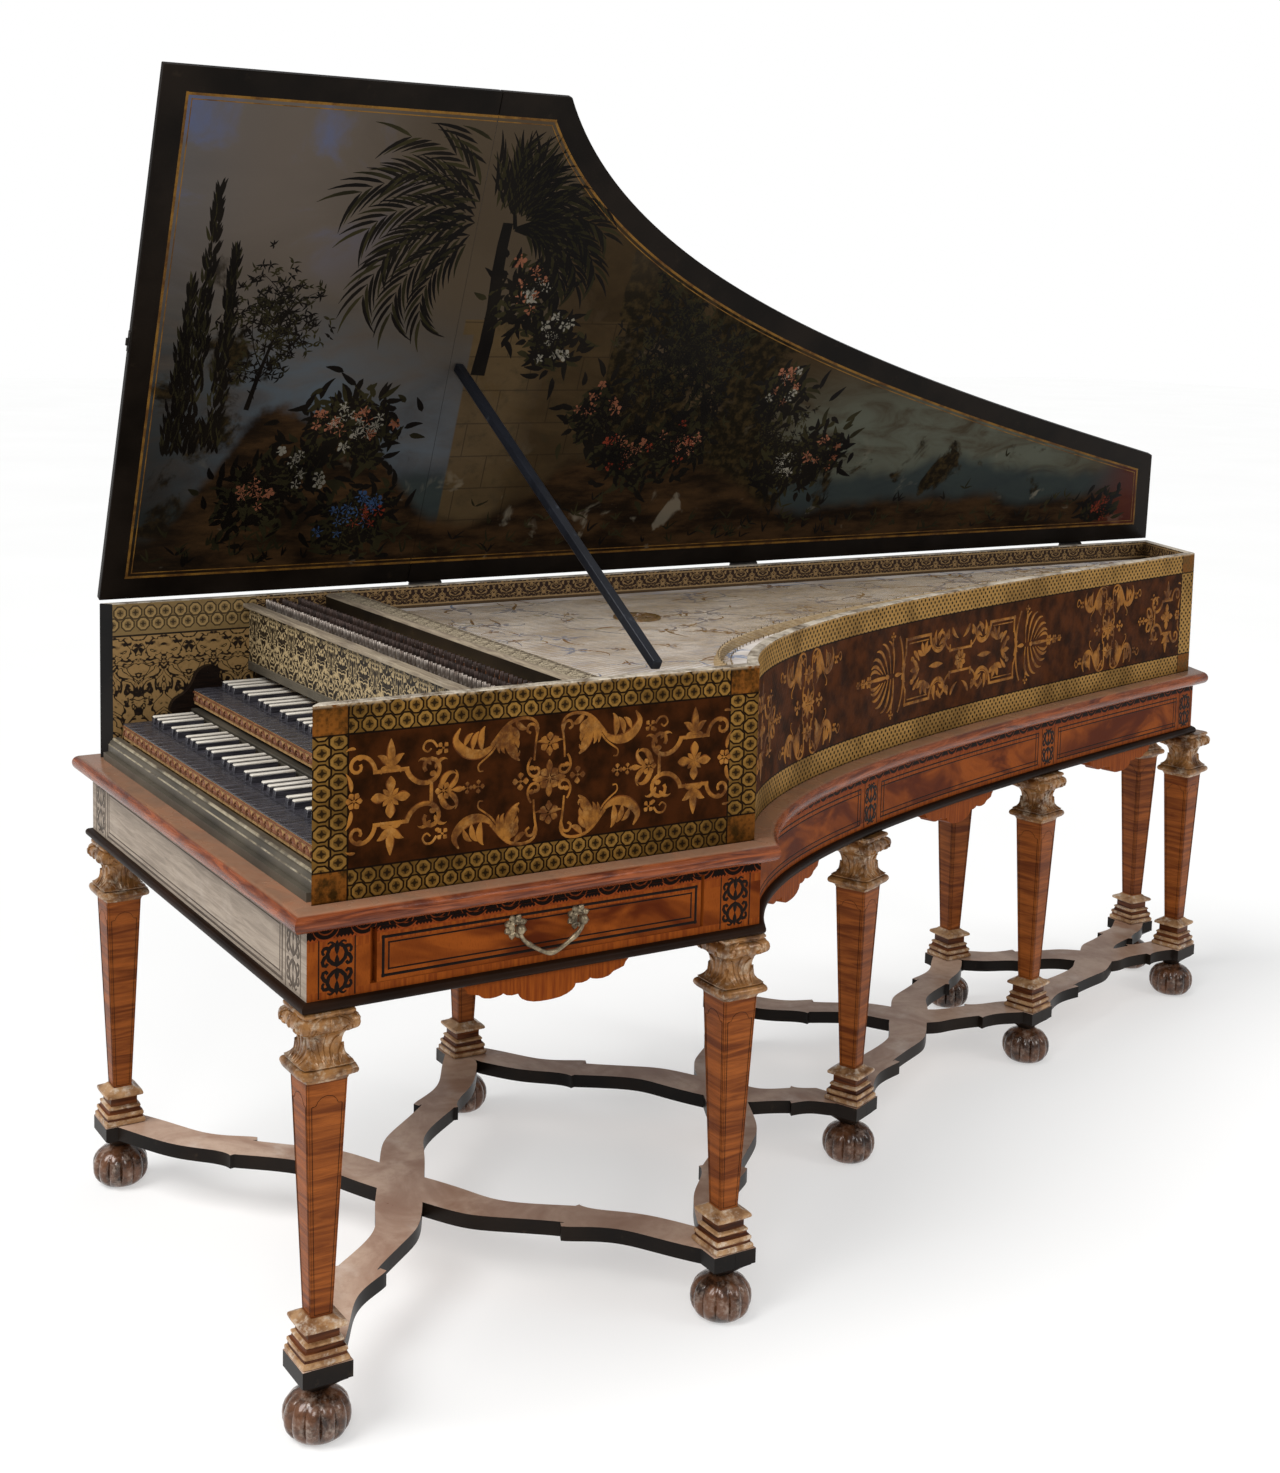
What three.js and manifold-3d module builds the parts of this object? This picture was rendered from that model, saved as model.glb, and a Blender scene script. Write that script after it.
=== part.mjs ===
// A double-manual harpsichord on its own ten-legged stand.
// Millimetres, +X towards the treble, +Y towards the tail, +Z up.
// It is laid out with the spine's outer face on x = 0 and the keyboard end on y = 0,
// and at the end stands centred on its origin.
import * as THREE from 'three';
import { mergeVertices } from 'three/addons/utils/BufferGeometryUtils.js';
import Module from 'manifold-3d';

const wasm = await Module();
wasm.setup();

// Clearances
const seat = 0.3;
const running = 1;
const overrun = 5;

// Case
const caseWidth = 880;
const cheekLength = 670;
const spineLength = 2349;
const tailCornerX = 207;
const tailSetback = 76;
const caseFloor = 709;
const caseHeight = 252;
const caseWall = 16;
const bottomThickness = 12;
const bentSteps = 30;
// Handles of the bentside's curve: share of the way from tail corner to cheek, across and along.
const bentHandleShares = [[0.548, 0.892], [0.297, 0.515]];

// Stand
const standBottom = 576;
const railThickness = 24;
const railProud = 10;
const mouldingDepth = 25;
const mouldingReach = 26.5;
const mouldingInset = 40;
const noseSteps = 6;
const baseMouldingHeight = 14;
const baseMouldingProud = 10;
const pendantDrop = 40;
const cheekPendantHalf = 125;
const bentPendantHalf = 120;

// Legs, feet and stretchers
const legInset = 20;
const bentLegInset = 8;
const tailLegInset = 10;
const spineLegInset = 30;
const capitalHeight = 93;
const capitalHalf = 40;
const shaftTopHalf = 28;
const shaftFootHalf = 14.5;
const plinthHeight = 59;
const plinthHalf = 32;
const stretcherBottom = 85;
const stretcherThickness = 23;
const padHalf = 35;
const armHalf = 28;
const hubAcross = 77;
const hubAlong = 62;
const padReach = 55;
const ballRadius = 43.5;
const footSides = 12;

// Drawer
const drawerStart = 84;
const drawerBackMargin = 94;
const drawerRise = 25;
const drawerHeight = 72;
const drawerDepth = 360;
const drawerFront = 14;
const drawerSide = 8;
const drawerFloor = 6;
const runnerWidth = 22;
const runnerThickness = 8;
const bailSpan = 95;
const bailDrop = 38;
const bailStandoff = 14;
const bailRadius = 3.2;
const bailSteps = 16;
const bailSides = 3;
const postWidth = 8;
const postHeight = 9;
const bailLevelShare = 0.6;
const drawerStopShare = 0.33;

// Keyboards
const naturalCount = 36;
const keyboardMargin = 29.6;
const keyGap = 0.9;
const keyThickness = 18;
const headDrop = 7;
const headLength = 39;
const sharpWidth = 10;
const sharpHeight = 12.5;
const lowerFront = 29;
const lowerRise = 59;
const lowerSharpLength = 70;
const lowerKeyLength = 397;
const lowerHeadLength = 112;
const lowerPivot = 215;
const upperFront = 147;
const upperRise = 47;
const upperSharpLength = 88;
const upperKeyLength = 255;
const upperHeadLength = 96;
const upperPivot = 285;
const balanceRailWidth = 10;
const lowerFrameThickness = 10;
const upperFrameThickness = 5;
const upperFrameGap = 9.5;
const upperBattenDrop = 9;
const upperBattenWidth = 18;
const couplerTravel = 6;
const endBlockWidth = 12;
const endBlockLength = 136;
const endBlockHeight = 69;
const slipDepth = 18;
const slipHeight = 22;
const slipSetback = 8;
const slipBeadShares = [[1, 1], [0.5, 1], [0.33, 0.8], [0, 0.5]];

// Jacks
const jackWidth = 4;
const jackDepth = 12;
const jackDip = 37;
const jackStrip = 4;
const upperJackPlace = 390;
const lowerJackPlace = 418;
const registerDip = 56;
const registerThickness = 8;
const registerEnd = 10;

// Inside the case
const nameboardPlace = 247;
const nameboardThickness = 12;
const nameboardGap = 23;
const nameboardCapHeight = 8;
const nameboardCapReach = 19;
const nameboardDip = 3;
const wrestplankDip = 53;
const wrestplankThickness = 45;
const wrestplankEnd = 378;
const nutPlace = 345;
const nutWidth = 8;
const nutHeight = 12;
const nutMargin = 14;
const bellyRailPlace = 434;
const bellyRailThickness = 18;
const soundboardDip = 39;
const soundboardThickness = 4;
const bridgeHeight = 12;
const bridgeWidth = 13;
const bridgeSteps = 20;
const jackrailPlace = 384;
const jackrailWidth = 46;
const jackrailDip = 4;
const jackrailHeight = 23;
const jackrailChamfer = 5;

// Lid, its flap and its stick
const lidThickness = 13;
const lidOpenDegrees = 68.1;
const lidSplit = 545;
const hingeStandoff = 4;
const hingeBarrel = 3.2;
const hingeLength = 62;
const hingeLeaf = 1.7;
const hingeLeafReach = 34;
const flapBarrel = 3;
const flapHingeLength = 90;
const barrelSides = 10;
const stickThickness = 18;
const stickTopAcross = 416;
const stickTopAlong = 560;
const stickFootAlong = 507;
const stickFootInset = 12;
const stickClearance = 2;

// Levels and lines that follow from the sizes
const caseTop = caseFloor + caseHeight;
const bottomTop = caseFloor + bottomThickness;
const railTop = caseFloor - mouldingDepth;
const stretcherTop = stretcherBottom + stretcherThickness;
const tailCornerY = spineLength - tailSetback;
const innerLeft = caseWall + seat;
const innerRight = caseWidth - caseWall - seat;
const drawerEnd = cheekLength - drawerBackMargin;
const drawerBottom = standBottom + drawerRise;
const lowerTop = caseFloor + lowerRise;
const upperTop = lowerTop + upperRise;
const upperFrameLevel = lowerTop + upperFrameGap;
const nameboardBottom = upperTop + nameboardGap;
const jackTop = caseTop - jackDip;
const registerLevel = caseTop - registerDip;
const wrestplankTop = caseTop - wrestplankDip;
const soundboardTop = caseTop - soundboardDip;

const finishes = {
  ebonised: { color: 0x17130f, roughness: 0.45 },
  painted: { color: 0x4a3216, roughness: 0.5 },
  walnut: { color: 0x8a4a1f, roughness: 0.4 },
  gilt: { color: 0x8f6a2c, roughness: 0.45, metalness: 0.35 },
  moulding: { color: 0x8a4a30, roughness: 0.3 },
  veneer: { color: 0x6d4a3a, roughness: 0.45 },
  soundboard: { color: 0x9a8b72, roughness: 0.7 },
  rawWood: { color: 0xa98a5e, roughness: 0.8 },
  keys: { color: 0x26242a, roughness: 0.35 },
  jack: { color: 0x7a4a2c, roughness: 0.6 },
  picture: { color: 0x2c2a24, roughness: 0.4 },
  stick: { color: 0x30364a, roughness: 0.35 },
  brass: { color: 0x9c7a3a, roughness: 0.35, metalness: 0.8 },
  iron: { color: 0x1c1a18, roughness: 0.5, metalness: 0.6 },
};

const model = new THREE.Group();

// Puts a named piece in the model or in a group of it.
function addPiece(name, geometry, finish, parent = model) {
  const mesh = new THREE.Mesh(geometry, new THREE.MeshStandardMaterial(finish));
  mesh.name = name;
  parent.add(mesh);
  return mesh;
}

// Closed body through rows of points: every row goes once round the section.
// Rows are joined one to the next, and the last to the first when the body is a ring.
function loft(rows, ring = false) {
  const around = rows[0].length;
  const positions = rows.flat().flatMap((point) => [point.x, point.y, point.z]);
  const index = [];
  const spans = ring ? rows.length : rows.length - 1;
  for (let row = 0; row < spans; row += 1) {
    const here = row * around;
    const next = ((row + 1) % rows.length) * around;
    for (let side = 0; side < around; side += 1) {
      const turn = (side + 1) % around;
      index.push(here + side, here + turn, next + turn);
      index.push(here + side, next + turn, next + side);
    }
  }
  if (!ring) {
    const last = (rows.length - 1) * around;
    for (let side = 1; side < around - 1; side += 1) {
      index.push(0, side + 1, side);
      index.push(last, last + side, last + side + 1);
    }
  }
  const geometry = new THREE.BufferGeometry();
  geometry.setAttribute('position', new THREE.Float32BufferAttribute(positions, 3));
  geometry.setIndex(index);
  return faceOutward(geometry);
}

// Turns every triangle round where the enclosed volume comes out negative.
function faceOutward(geometry) {
  const place = geometry.getAttribute('position');
  const index = geometry.getIndex().array;
  const [a, b, c] = [new THREE.Vector3(), new THREE.Vector3(), new THREE.Vector3()];
  let volume = 0;
  for (let corner = 0; corner < index.length; corner += 3) {
    a.fromBufferAttribute(place, index[corner]);
    b.fromBufferAttribute(place, index[corner + 1]);
    c.fromBufferAttribute(place, index[corner + 2]);
    volume += a.dot(b.cross(c));
  }
  if (volume < 0) {
    geometry.setIndex(Array.from(index).reverse());
  }
  geometry.computeVertexNormals();
  return geometry;
}

// Plan outline raised from one level to another.
function prism(points, low, high) {
  const shape = new THREE.Shape(points);
  const geometry = new THREE.ExtrudeGeometry(shape, { depth: high - low, bevelEnabled: false });
  return geometry.translate(0, 0, low);
}

// Section in y and z, carried along X.
function barAlongX(section, left, right) {
  const shape = new THREE.Shape(section);
  const geometry = new THREE.ExtrudeGeometry(shape, { depth: right - left, bevelEnabled: false });
  geometry.rotateX(Math.PI / 2);
  geometry.rotateZ(Math.PI / 2);
  return geometry.translate(left, 0, 0);
}

// Section in x and z, carried along Y.
function barAlongY(section, start, end) {
  const shape = new THREE.Shape(section);
  const geometry = new THREE.ExtrudeGeometry(shape, { depth: end - start, bevelEnabled: false });
  geometry.rotateX(Math.PI / 2);
  return geometry.translate(0, end, 0);
}

function block(left, right, front, back, low, high) {
  const geometry = new THREE.BoxGeometry(right - left, back - front, high - low);
  return geometry.translate((left + right) / 2, (front + back) / 2, (low + high) / 2);
}

function toSolid(geometry) {
  const bare = geometry.clone();
  bare.deleteAttribute('normal');
  bare.deleteAttribute('uv');
  const welded = mergeVertices(bare);
  return new wasm.Manifold(new wasm.Mesh({
    numProp: 3,
    vertProperties: new Float32Array(welded.getAttribute('position').array),
    triVerts: new Uint32Array(welded.getIndex().array),
  }));
}

function toGeometry(solid) {
  const mesh = solid.getMesh();
  const geometry = new THREE.BufferGeometry();
  geometry.setAttribute('position', new THREE.BufferAttribute(mesh.vertProperties, 3));
  geometry.setIndex(new THREE.BufferAttribute(mesh.triVerts, 1));
  geometry.computeVertexNormals();
  return geometry;
}

function join(...geometries) {
  return toGeometry(geometries.map(toSolid).reduce((whole, solid) => whole.add(solid)));
}

function cut(body, ...cutters) {
  return toGeometry(cutters.map(toSolid).reduce((rest, solid) => rest.subtract(solid), toSolid(body)));
}

// Plan of the case
const bentCurve = new THREE.CubicBezierCurve(
  new THREE.Vector2(caseWidth, cheekLength),
  ...bentHandleShares.map(([across, along]) => new THREE.Vector2(
    tailCornerX + across * (caseWidth - tailCornerX),
    tailCornerY + along * (cheekLength - tailCornerY),
  )),
  new THREE.Vector2(tailCornerX, tailCornerY),
);
const frontCorners = [new THREE.Vector2(0, 0), new THREE.Vector2(caseWidth, 0)];
const bentPoints = bentCurve.getPoints(bentSteps);
const outline = [...frontCorners, ...bentPoints, new THREE.Vector2(0, spineLength)];
// Places in the outline of the run of each side.
const cheekCorner = frontCorners.length;
const tailCorner = cheekCorner + bentSteps;
const sides = {
  front: [0, cheekCorner - 1],
  cheek: [cheekCorner - 1, cheekCorner],
  bent: [cheekCorner, tailCorner],
  tail: [tailCorner, outline.length - 1],
  spine: [outline.length - 1, outline.length],
};

// Outline moved outwards by a distance, with mitred corners. An open one has square ends.
function offsetOutline(points, distance, closed = true) {
  const count = points.length;
  const normalOf = (from, to) => {
    const along = to.clone().sub(from).normalize();
    return new THREE.Vector2(along.y, -along.x);
  };
  return points.map((point, place) => {
    const before = points[(place + count - 1) % count];
    const after = points[(place + 1) % count];
    const arriving = closed || place > 0 ? normalOf(before, point) : normalOf(point, after);
    const leaving = closed || place < count - 1 ? normalOf(point, after) : arriving;
    const mitre = arriving.clone().add(leaving).divideScalar(1 + arriving.dot(leaving));
    return point.clone().add(mitre.multiplyScalar(distance));
  });
}

// Case: four walls round the keyboards and the soundboard, open at the keyboard end.
const wallPath = [...outline.slice(sides.cheek[0]), outline[0]];
const wallInside = offsetOutline(wallPath, -caseWall, false);
const wallCorners = [0, 1, 1 + bentSteps, 2 + bentSteps, 3 + bentSteps];
['cheek', 'bentside', 'tail', 'spine'].forEach((name, side) => {
  const [from, to] = [wallCorners[side], wallCorners[side + 1] + 1];
  const plan = [...wallPath.slice(from, to), ...wallInside.slice(from, to).reverse()];
  const finish = name === 'spine' ? finishes.ebonised : finishes.painted;
  addPiece(name, prism(plan, caseFloor, caseTop), finish);
});
const caseInside = offsetOutline(wallPath, -caseWall - seat, false);
addPiece('case_bottom', prism(caseInside, caseFloor, bottomTop), finishes.rawWood);

// Soundboard and belly rail
const soundboardPlan = caseInside.filter((point, place) => place > 0 && place < caseInside.length - 1);
soundboardPlan.unshift(new THREE.Vector2(innerRight, bellyRailPlace));
soundboardPlan.push(new THREE.Vector2(innerLeft, bellyRailPlace));
addPiece(
  'soundboard',
  prism(soundboardPlan, soundboardTop - soundboardThickness, soundboardTop),
  finishes.soundboard,
);
addPiece('belly_rail', block(
  innerLeft, innerRight,
  bellyRailPlace, bellyRailPlace + bellyRailThickness,
  bottomTop, soundboardTop - soundboardThickness,
), finishes.rawWood);

// Bridge: a curved bar that stands on the soundboard.
const bridgeShares = [[0.79, 0.31], [0.5, 0.37], [0.36, 0.6], [0.14, 0.88]];
const bridgeCurve = new THREE.CubicBezierCurve(...bridgeShares.map(
  ([across, along]) => new THREE.Vector2(across * caseWidth, along * spineLength),
));
function bridge() {
  const path = bridgeCurve.getPoints(bridgeSteps);
  const broad = [-1, 1].map((side) => offsetOutline(path, side * bridgeWidth / 2, false));
  const crest = [1, -1].map((side) => offsetOutline(path, side * bridgeWidth / 4, false));
  return loft(path.map((point, place) => [
    new THREE.Vector3(broad[0][place].x, broad[0][place].y, soundboardTop),
    new THREE.Vector3(broad[1][place].x, broad[1][place].y, soundboardTop),
    new THREE.Vector3(crest[0][place].x, crest[0][place].y, soundboardTop + bridgeHeight),
    new THREE.Vector3(crest[1][place].x, crest[1][place].y, soundboardTop + bridgeHeight),
  ]));
}
addPiece('bridge', bridge(), finishes.walnut);

// Nameboard with its cap, wrestplank with the nut, and jackrail
const nameboardTop = caseTop - nameboardDip;
const nameboardBack = nameboardPlace + nameboardThickness;
addPiece('nameboard', barAlongX([
  new THREE.Vector2(nameboardPlace, nameboardBottom),
  new THREE.Vector2(nameboardBack, nameboardBottom),
  new THREE.Vector2(nameboardBack, nameboardTop),
  new THREE.Vector2(nameboardPlace - nameboardCapReach, nameboardTop),
  new THREE.Vector2(nameboardPlace - nameboardCapReach, nameboardTop - nameboardCapHeight),
  new THREE.Vector2(nameboardPlace, nameboardTop - nameboardCapHeight),
], innerLeft, innerRight), finishes.painted);
addPiece('wrestplank', join(
  block(
    innerLeft, innerRight, nameboardBack + seat, wrestplankEnd,
    wrestplankTop - wrestplankThickness, wrestplankTop,
  ),
  block(
    innerLeft + nutMargin, innerRight - nutMargin, nutPlace, nutPlace + nutWidth,
    wrestplankTop - nutHeight, wrestplankTop + nutHeight,
  ),
), finishes.rawWood);
const jackrailTop = caseTop - jackrailDip;
addPiece('jackrail', barAlongX([
  new THREE.Vector2(jackrailPlace, jackrailTop - jackrailHeight),
  new THREE.Vector2(jackrailPlace + jackrailWidth, jackrailTop - jackrailHeight),
  new THREE.Vector2(jackrailPlace + jackrailWidth, jackrailTop),
  new THREE.Vector2(jackrailPlace + jackrailChamfer, jackrailTop),
  new THREE.Vector2(jackrailPlace, jackrailTop - jackrailChamfer),
], innerLeft, innerRight), finishes.ebonised);

// Keyboards. Every key of a manual is joined to the others behind the nameboard.
const manualWidth = caseWidth - 2 * keyboardMargin;
const manualLeft = keyboardMargin;
const naturalPitch = manualWidth / naturalCount;
const octaveCount = 7;
// Places of the sharps: behind these naturals of an octave that starts on F.
const sharpSteps = [1, 2, 3, 5, 6];

function manual({ front, top, headsLength, sharpLength, keyLength }) {
  const left = manualLeft + keyGap / 2;
  const right = manualLeft + manualWidth - keyGap / 2;
  const headsEnd = front + headsLength;
  const comb = [new THREE.Vector2(left, headsEnd + overrun), new THREE.Vector2(left, front)];
  for (let key = 1; key < naturalCount; key += 1) {
    const middle = manualLeft + key * naturalPitch;
    comb.push(new THREE.Vector2(middle - keyGap / 2, front));
    comb.push(new THREE.Vector2(middle - keyGap / 2, headsEnd));
    comb.push(new THREE.Vector2(middle + keyGap / 2, headsEnd));
    comb.push(new THREE.Vector2(middle + keyGap / 2, front));
  }
  comb.push(new THREE.Vector2(right, front), new THREE.Vector2(right, headsEnd + overrun));
  const pieces = [
    prism(comb, top - keyThickness - headDrop, top),
    block(left, right, headsEnd, front + keyLength, top - keyThickness, top),
  ];
  for (let key = 1; key < naturalCount; key += 1) {
    if (sharpSteps.includes(key % octaveCount)) {
      const middle = manualLeft + key * naturalPitch;
      pieces.push(block(
        middle - sharpWidth / 2, middle + sharpWidth / 2,
        front + headLength, front + headLength + sharpLength,
        top - sharpHeight, top + sharpHeight,
      ));
    }
  }
  return join(...pieces);
}

addPiece('lower_keys', manual({
  front: lowerFront,
  top: lowerTop,
  headsLength: lowerHeadLength,
  sharpLength: lowerSharpLength,
  keyLength: lowerKeyLength,
}), finishes.keys);
addPiece('upper_keys', manual({
  front: upperFront,
  top: upperTop,
  headsLength: upperHeadLength,
  sharpLength: upperSharpLength,
  keyLength: upperKeyLength,
}), finishes.keys);

// Key frames. Each carries the balance rail that its keys rock on, and the upper one
// has a block with a scrolled top at each end of the keys.
const lowerFrameTop = bottomTop + lowerFrameThickness;
const frameLeft = innerLeft + running - seat;
const frameRight = innerRight - running + seat;
addPiece('lower_keyframe', join(
  block(
    frameLeft, frameRight, slipSetback + slipDepth + running, lowerFront + lowerKeyLength,
    bottomTop, lowerFrameTop,
  ),
  block(
    frameLeft, frameRight, lowerPivot - balanceRailWidth / 2, lowerPivot + balanceRailWidth / 2,
    lowerFrameTop - overrun, lowerTop - keyThickness - seat,
  ),
), finishes.rawWood);

const upperFrameTop = upperFrameLevel + upperFrameThickness;
const endBlockShares = [
  [0, 0], [1, 0], [1, 0.55], [0.72, 0.6], [0.62, 0.72], [0.66, 0.9], [0.58, 1],
  [0.46, 1], [0.36, 0.88], [0.3, 0.62], [0.2, 0.4], [0.06, 0.3],
];
const endBlockFront = nameboardPlace - couplerTravel - running - endBlockLength;
function endBlock(left) {
  return barAlongX(endBlockShares.map(([along, up]) => new THREE.Vector2(
    endBlockFront + along * endBlockLength,
    upperFrameLevel + up * (upperFrameThickness + endBlockHeight),
  )), left, left + endBlockWidth);
}
const upperKeysBack = upperFront + upperKeyLength;
const upperFrameFront = lowerFront + lowerHeadLength + running;
addPiece('upper_keyframe', join(
  block(
    frameLeft, frameRight, upperFrameFront, upperKeysBack,
    upperFrameLevel, upperFrameTop,
  ),
  block(
    frameLeft, frameRight, upperFrameFront, upperFrameFront + upperBattenWidth,
    upperFrameLevel - upperBattenDrop, upperFrameTop,
  ),
  block(
    frameLeft, frameRight, upperPivot - balanceRailWidth / 2, upperPivot + balanceRailWidth / 2,
    upperFrameTop - overrun, upperTop - keyThickness - seat,
  ),
  endBlock(frameLeft),
  endBlock(frameRight - endBlockWidth),
), finishes.rawWood);

// Key slip in front of the lower keys
addPiece('key_slip', barAlongX([
  new THREE.Vector2(slipSetback, bottomTop),
  new THREE.Vector2(slipSetback + slipDepth, bottomTop),
  ...slipBeadShares.map(([along, up]) => new THREE.Vector2(
    slipSetback + along * slipDepth, bottomTop + up * slipHeight,
  )),
], innerLeft, innerRight), finishes.gilt);

// Jacks: one row stands on the tails of each manual's keys.
const jackCount = 61;
const jackPitch = manualWidth / jackCount;
function jackRow(place, keyTop) {
  const foot = keyTop + seat;
  const left = manualLeft + (jackPitch - jackWidth) / 2;
  const comb = [new THREE.Vector2(left, foot)];
  for (let jack = jackCount - 1; jack >= 0; jack -= 1) {
    const side = left + jack * jackPitch;
    comb.push(new THREE.Vector2(side + jackWidth, jack === jackCount - 1 ? foot : foot + jackStrip));
    comb.push(new THREE.Vector2(side + jackWidth, jackTop));
    comb.push(new THREE.Vector2(side, jackTop));
    if (jack > 0) {
      comb.push(new THREE.Vector2(side, foot + jackStrip));
    }
  }
  return barAlongY(comb, place - jackDepth / 2, place + jackDepth / 2);
}
addPiece('jacks_lower', jackRow(lowerJackPlace, lowerTop), finishes.jack);
addPiece('jacks_upper', jackRow(upperJackPlace, upperTop), finishes.jack);

// Register: the guide that both rows of jacks slide in.
const registerSlot = jackDepth + 2 * seat;
addPiece('register', cut(
  block(
    innerLeft, innerRight, wrestplankEnd + seat, bellyRailPlace - seat,
    registerLevel, registerLevel + registerThickness,
  ),
  ...[upperJackPlace, lowerJackPlace].map((place) => block(
    innerLeft + registerEnd, innerRight - registerEnd,
    place - registerSlot / 2, place + registerSlot / 2,
    registerLevel - overrun, registerLevel + registerThickness + overrun,
  )),
), finishes.rawWood);

// Stand rails. A pendant with scalloped edges hangs under the cheek and under
// each bay of the bentside.
const railOutside = offsetOutline(outline, railProud);
const railInside = offsetOutline(outline, railProud - railThickness);
// Edge of one pendant from end to end: place along its half width, and share of its drop.
const pendantShares = [
  [-1, 0], [-0.93, 0.3], [-0.8, 0.42], [-0.74, 0.55], [-0.6, 0.58], [-0.52, 0.5], [-0.42, 0.62],
  [-0.34, 0.6], [-0.3, 0.8], [-0.16, 0.97], [0, 1], [0.16, 0.97], [0.3, 0.8], [0.34, 0.6],
  [0.42, 0.62], [0.52, 0.5], [0.6, 0.58], [0.74, 0.55], [0.8, 0.42], [0.93, 0.3], [1, 0],
];

function pointBetween(from, to, share) {
  return from.clone().lerp(to, share);
}

// Rail along one side of the stand, with pendants given by the distance of their middle.
function rail([from, to], pendants = []) {
  const stops = [];
  let travelled = 0;
  for (let place = from; place < to; place += 1) {
    const next = (place + 1) % outline.length;
    const length = outline[place % outline.length].distanceTo(outline[next]);
    stops.push({ place, share: 0, distance: travelled });
    pendants.forEach(({ middle, half }) => pendantShares.forEach(([along]) => {
      const distance = middle + along * half;
      if (distance > travelled && distance < travelled + length) {
        stops.push({ place, share: (distance - travelled) / length, distance });
      }
    }));
    travelled += length;
  }
  stops.sort((one, other) => one.distance - other.distance);
  stops.push({ place: to - 1, share: 1, distance: travelled });
  return loft(stops.map(({ place, share, distance }) => {
    const here = place % outline.length;
    const next = (place + 1) % outline.length;
    const outside = pointBetween(railOutside[here], railOutside[next], share);
    const inside = pointBetween(railInside[here], railInside[next], share);
    const low = standBottom - pendantDepth(pendants, distance);
    return [
      new THREE.Vector3(outside.x, outside.y, low),
      new THREE.Vector3(outside.x, outside.y, railTop),
      new THREE.Vector3(inside.x, inside.y, railTop),
      new THREE.Vector3(inside.x, inside.y, low),
    ];
  }));
}

// How far the lower edge hangs down at a distance along the rail.
function pendantDepth(pendants, distance) {
  const found = pendants.find(({ middle, half }) => Math.abs(distance - middle) < half);
  if (!found) {
    return 0;
  }
  const along = (distance - found.middle) / found.half;
  const after = pendantShares.findIndex(([place]) => place >= along);
  const [start, startDrop] = pendantShares[after - 1];
  const [end, endDrop] = pendantShares[after];
  const share = (along - start) / (end - start);
  return pendantDrop * (startDrop + share * (endDrop - startDrop));
}

// Legs stand under the rails. Along the bentside they turn with the curve.
const legShares = { bentFront: 0.45, bentBack: 0.767, spineMiddle: 0.525, spineBack: 0.765 };
function legAt(x, y, turn = 0) {
  return { place: new THREE.Vector2(x, y), turn };
}
function bentLeg(share) {
  const point = bentCurve.getPoint(share);
  const along = bentCurve.getTangent(share);
  const inward = new THREE.Vector2(-along.y, along.x).multiplyScalar(bentLegInset);
  return { place: point.add(inward), turn: Math.atan2(-along.x, along.y) };
}
const tailAlong = bentCurve.getTangent(1);
const legs = {
  cheek_front: legAt(caseWidth - legInset, legInset),
  cheek_back: legAt(caseWidth - legInset, cheekLength - legInset),
  bent_front: bentLeg(legShares.bentFront),
  bent_back: bentLeg(legShares.bentBack),
  tail: legAt(
    tailCornerX - tailLegInset, tailCornerY + tailLegInset,
    Math.atan2(-tailAlong.x, tailAlong.y),
  ),
  spine_front: legAt(spineLegInset, legInset),
  spine_second: legAt(spineLegInset, cheekLength - legInset),
  spine_middle: legAt(spineLegInset, legShares.spineMiddle * spineLength),
  spine_fourth: legAt(spineLegInset, legShares.spineBack * spineLength),
  spine_back: legAt(spineLegInset, spineLength - legInset),
};

// Distance along the bentside at a share of its curve's parameter.
function bentDistance(share) {
  let distance = 0;
  for (let step = 0; step < bentSteps; step += 1) {
    const reach = Math.min(Math.max(share * bentSteps - step, 0), 1);
    distance += reach * outline[cheekCorner + step].distanceTo(outline[cheekCorner + step + 1]);
  }
  return distance;
}
const bentStations = [0, legShares.bentFront, legShares.bentBack, 1].map(bentDistance);
const bentPendants = bentStations.slice(1).map((station, bay) => ({
  middle: (station + bentStations[bay]) / 2,
  half: bentPendantHalf,
}));

const drawerTop = drawerBottom + drawerHeight;
const railFace = caseWidth + railProud;
addPiece('rail_front', rail(sides.front), finishes.walnut);
addPiece('rail_cheek', cut(
  rail(sides.cheek, [{ middle: cheekLength / 2, half: cheekPendantHalf }]),
  block(
    railFace - railThickness - overrun, railFace + overrun,
    drawerStart, drawerEnd, drawerBottom - running, drawerTop + running,
  ),
), finishes.walnut);
addPiece('rail_bentside', rail(sides.bent, bentPendants), finishes.walnut);
addPiece('rail_tail', rail(sides.tail), finishes.walnut);
addPiece('rail_spine', rail(sides.spine), finishes.walnut);

// Mouldings that run all round the stand, from a section of distance out and level.
function moulding(section) {
  const paths = section.map(([distance]) => offsetOutline(outline, distance));
  return loft(outline.map((point, place) => section.map(([, level], line) => (
    new THREE.Vector3(paths[line][place].x, paths[line][place].y, level)
  ))), true);
}
const noseRadius = mouldingDepth / 2;
const noseMiddle = railProud + mouldingReach - noseRadius;
const noseSection = Array.from({ length: noseSteps + 1 }, (unused, step) => {
  const angle = Math.PI * (step / noseSteps - 1 / 2);
  return [noseMiddle + noseRadius * Math.cos(angle), railTop + noseRadius * (1 + Math.sin(angle))];
});
addPiece('top_moulding', moulding([
  [-mouldingInset, railTop],
  ...noseSection,
  [-mouldingInset, caseFloor],
]), finishes.moulding);
const baseInside = railProud + seat;
const baseMouldingShares = [[0.8, 0], [1, 0.3], [0.8, 0.8], [0.3, 1]];
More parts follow.
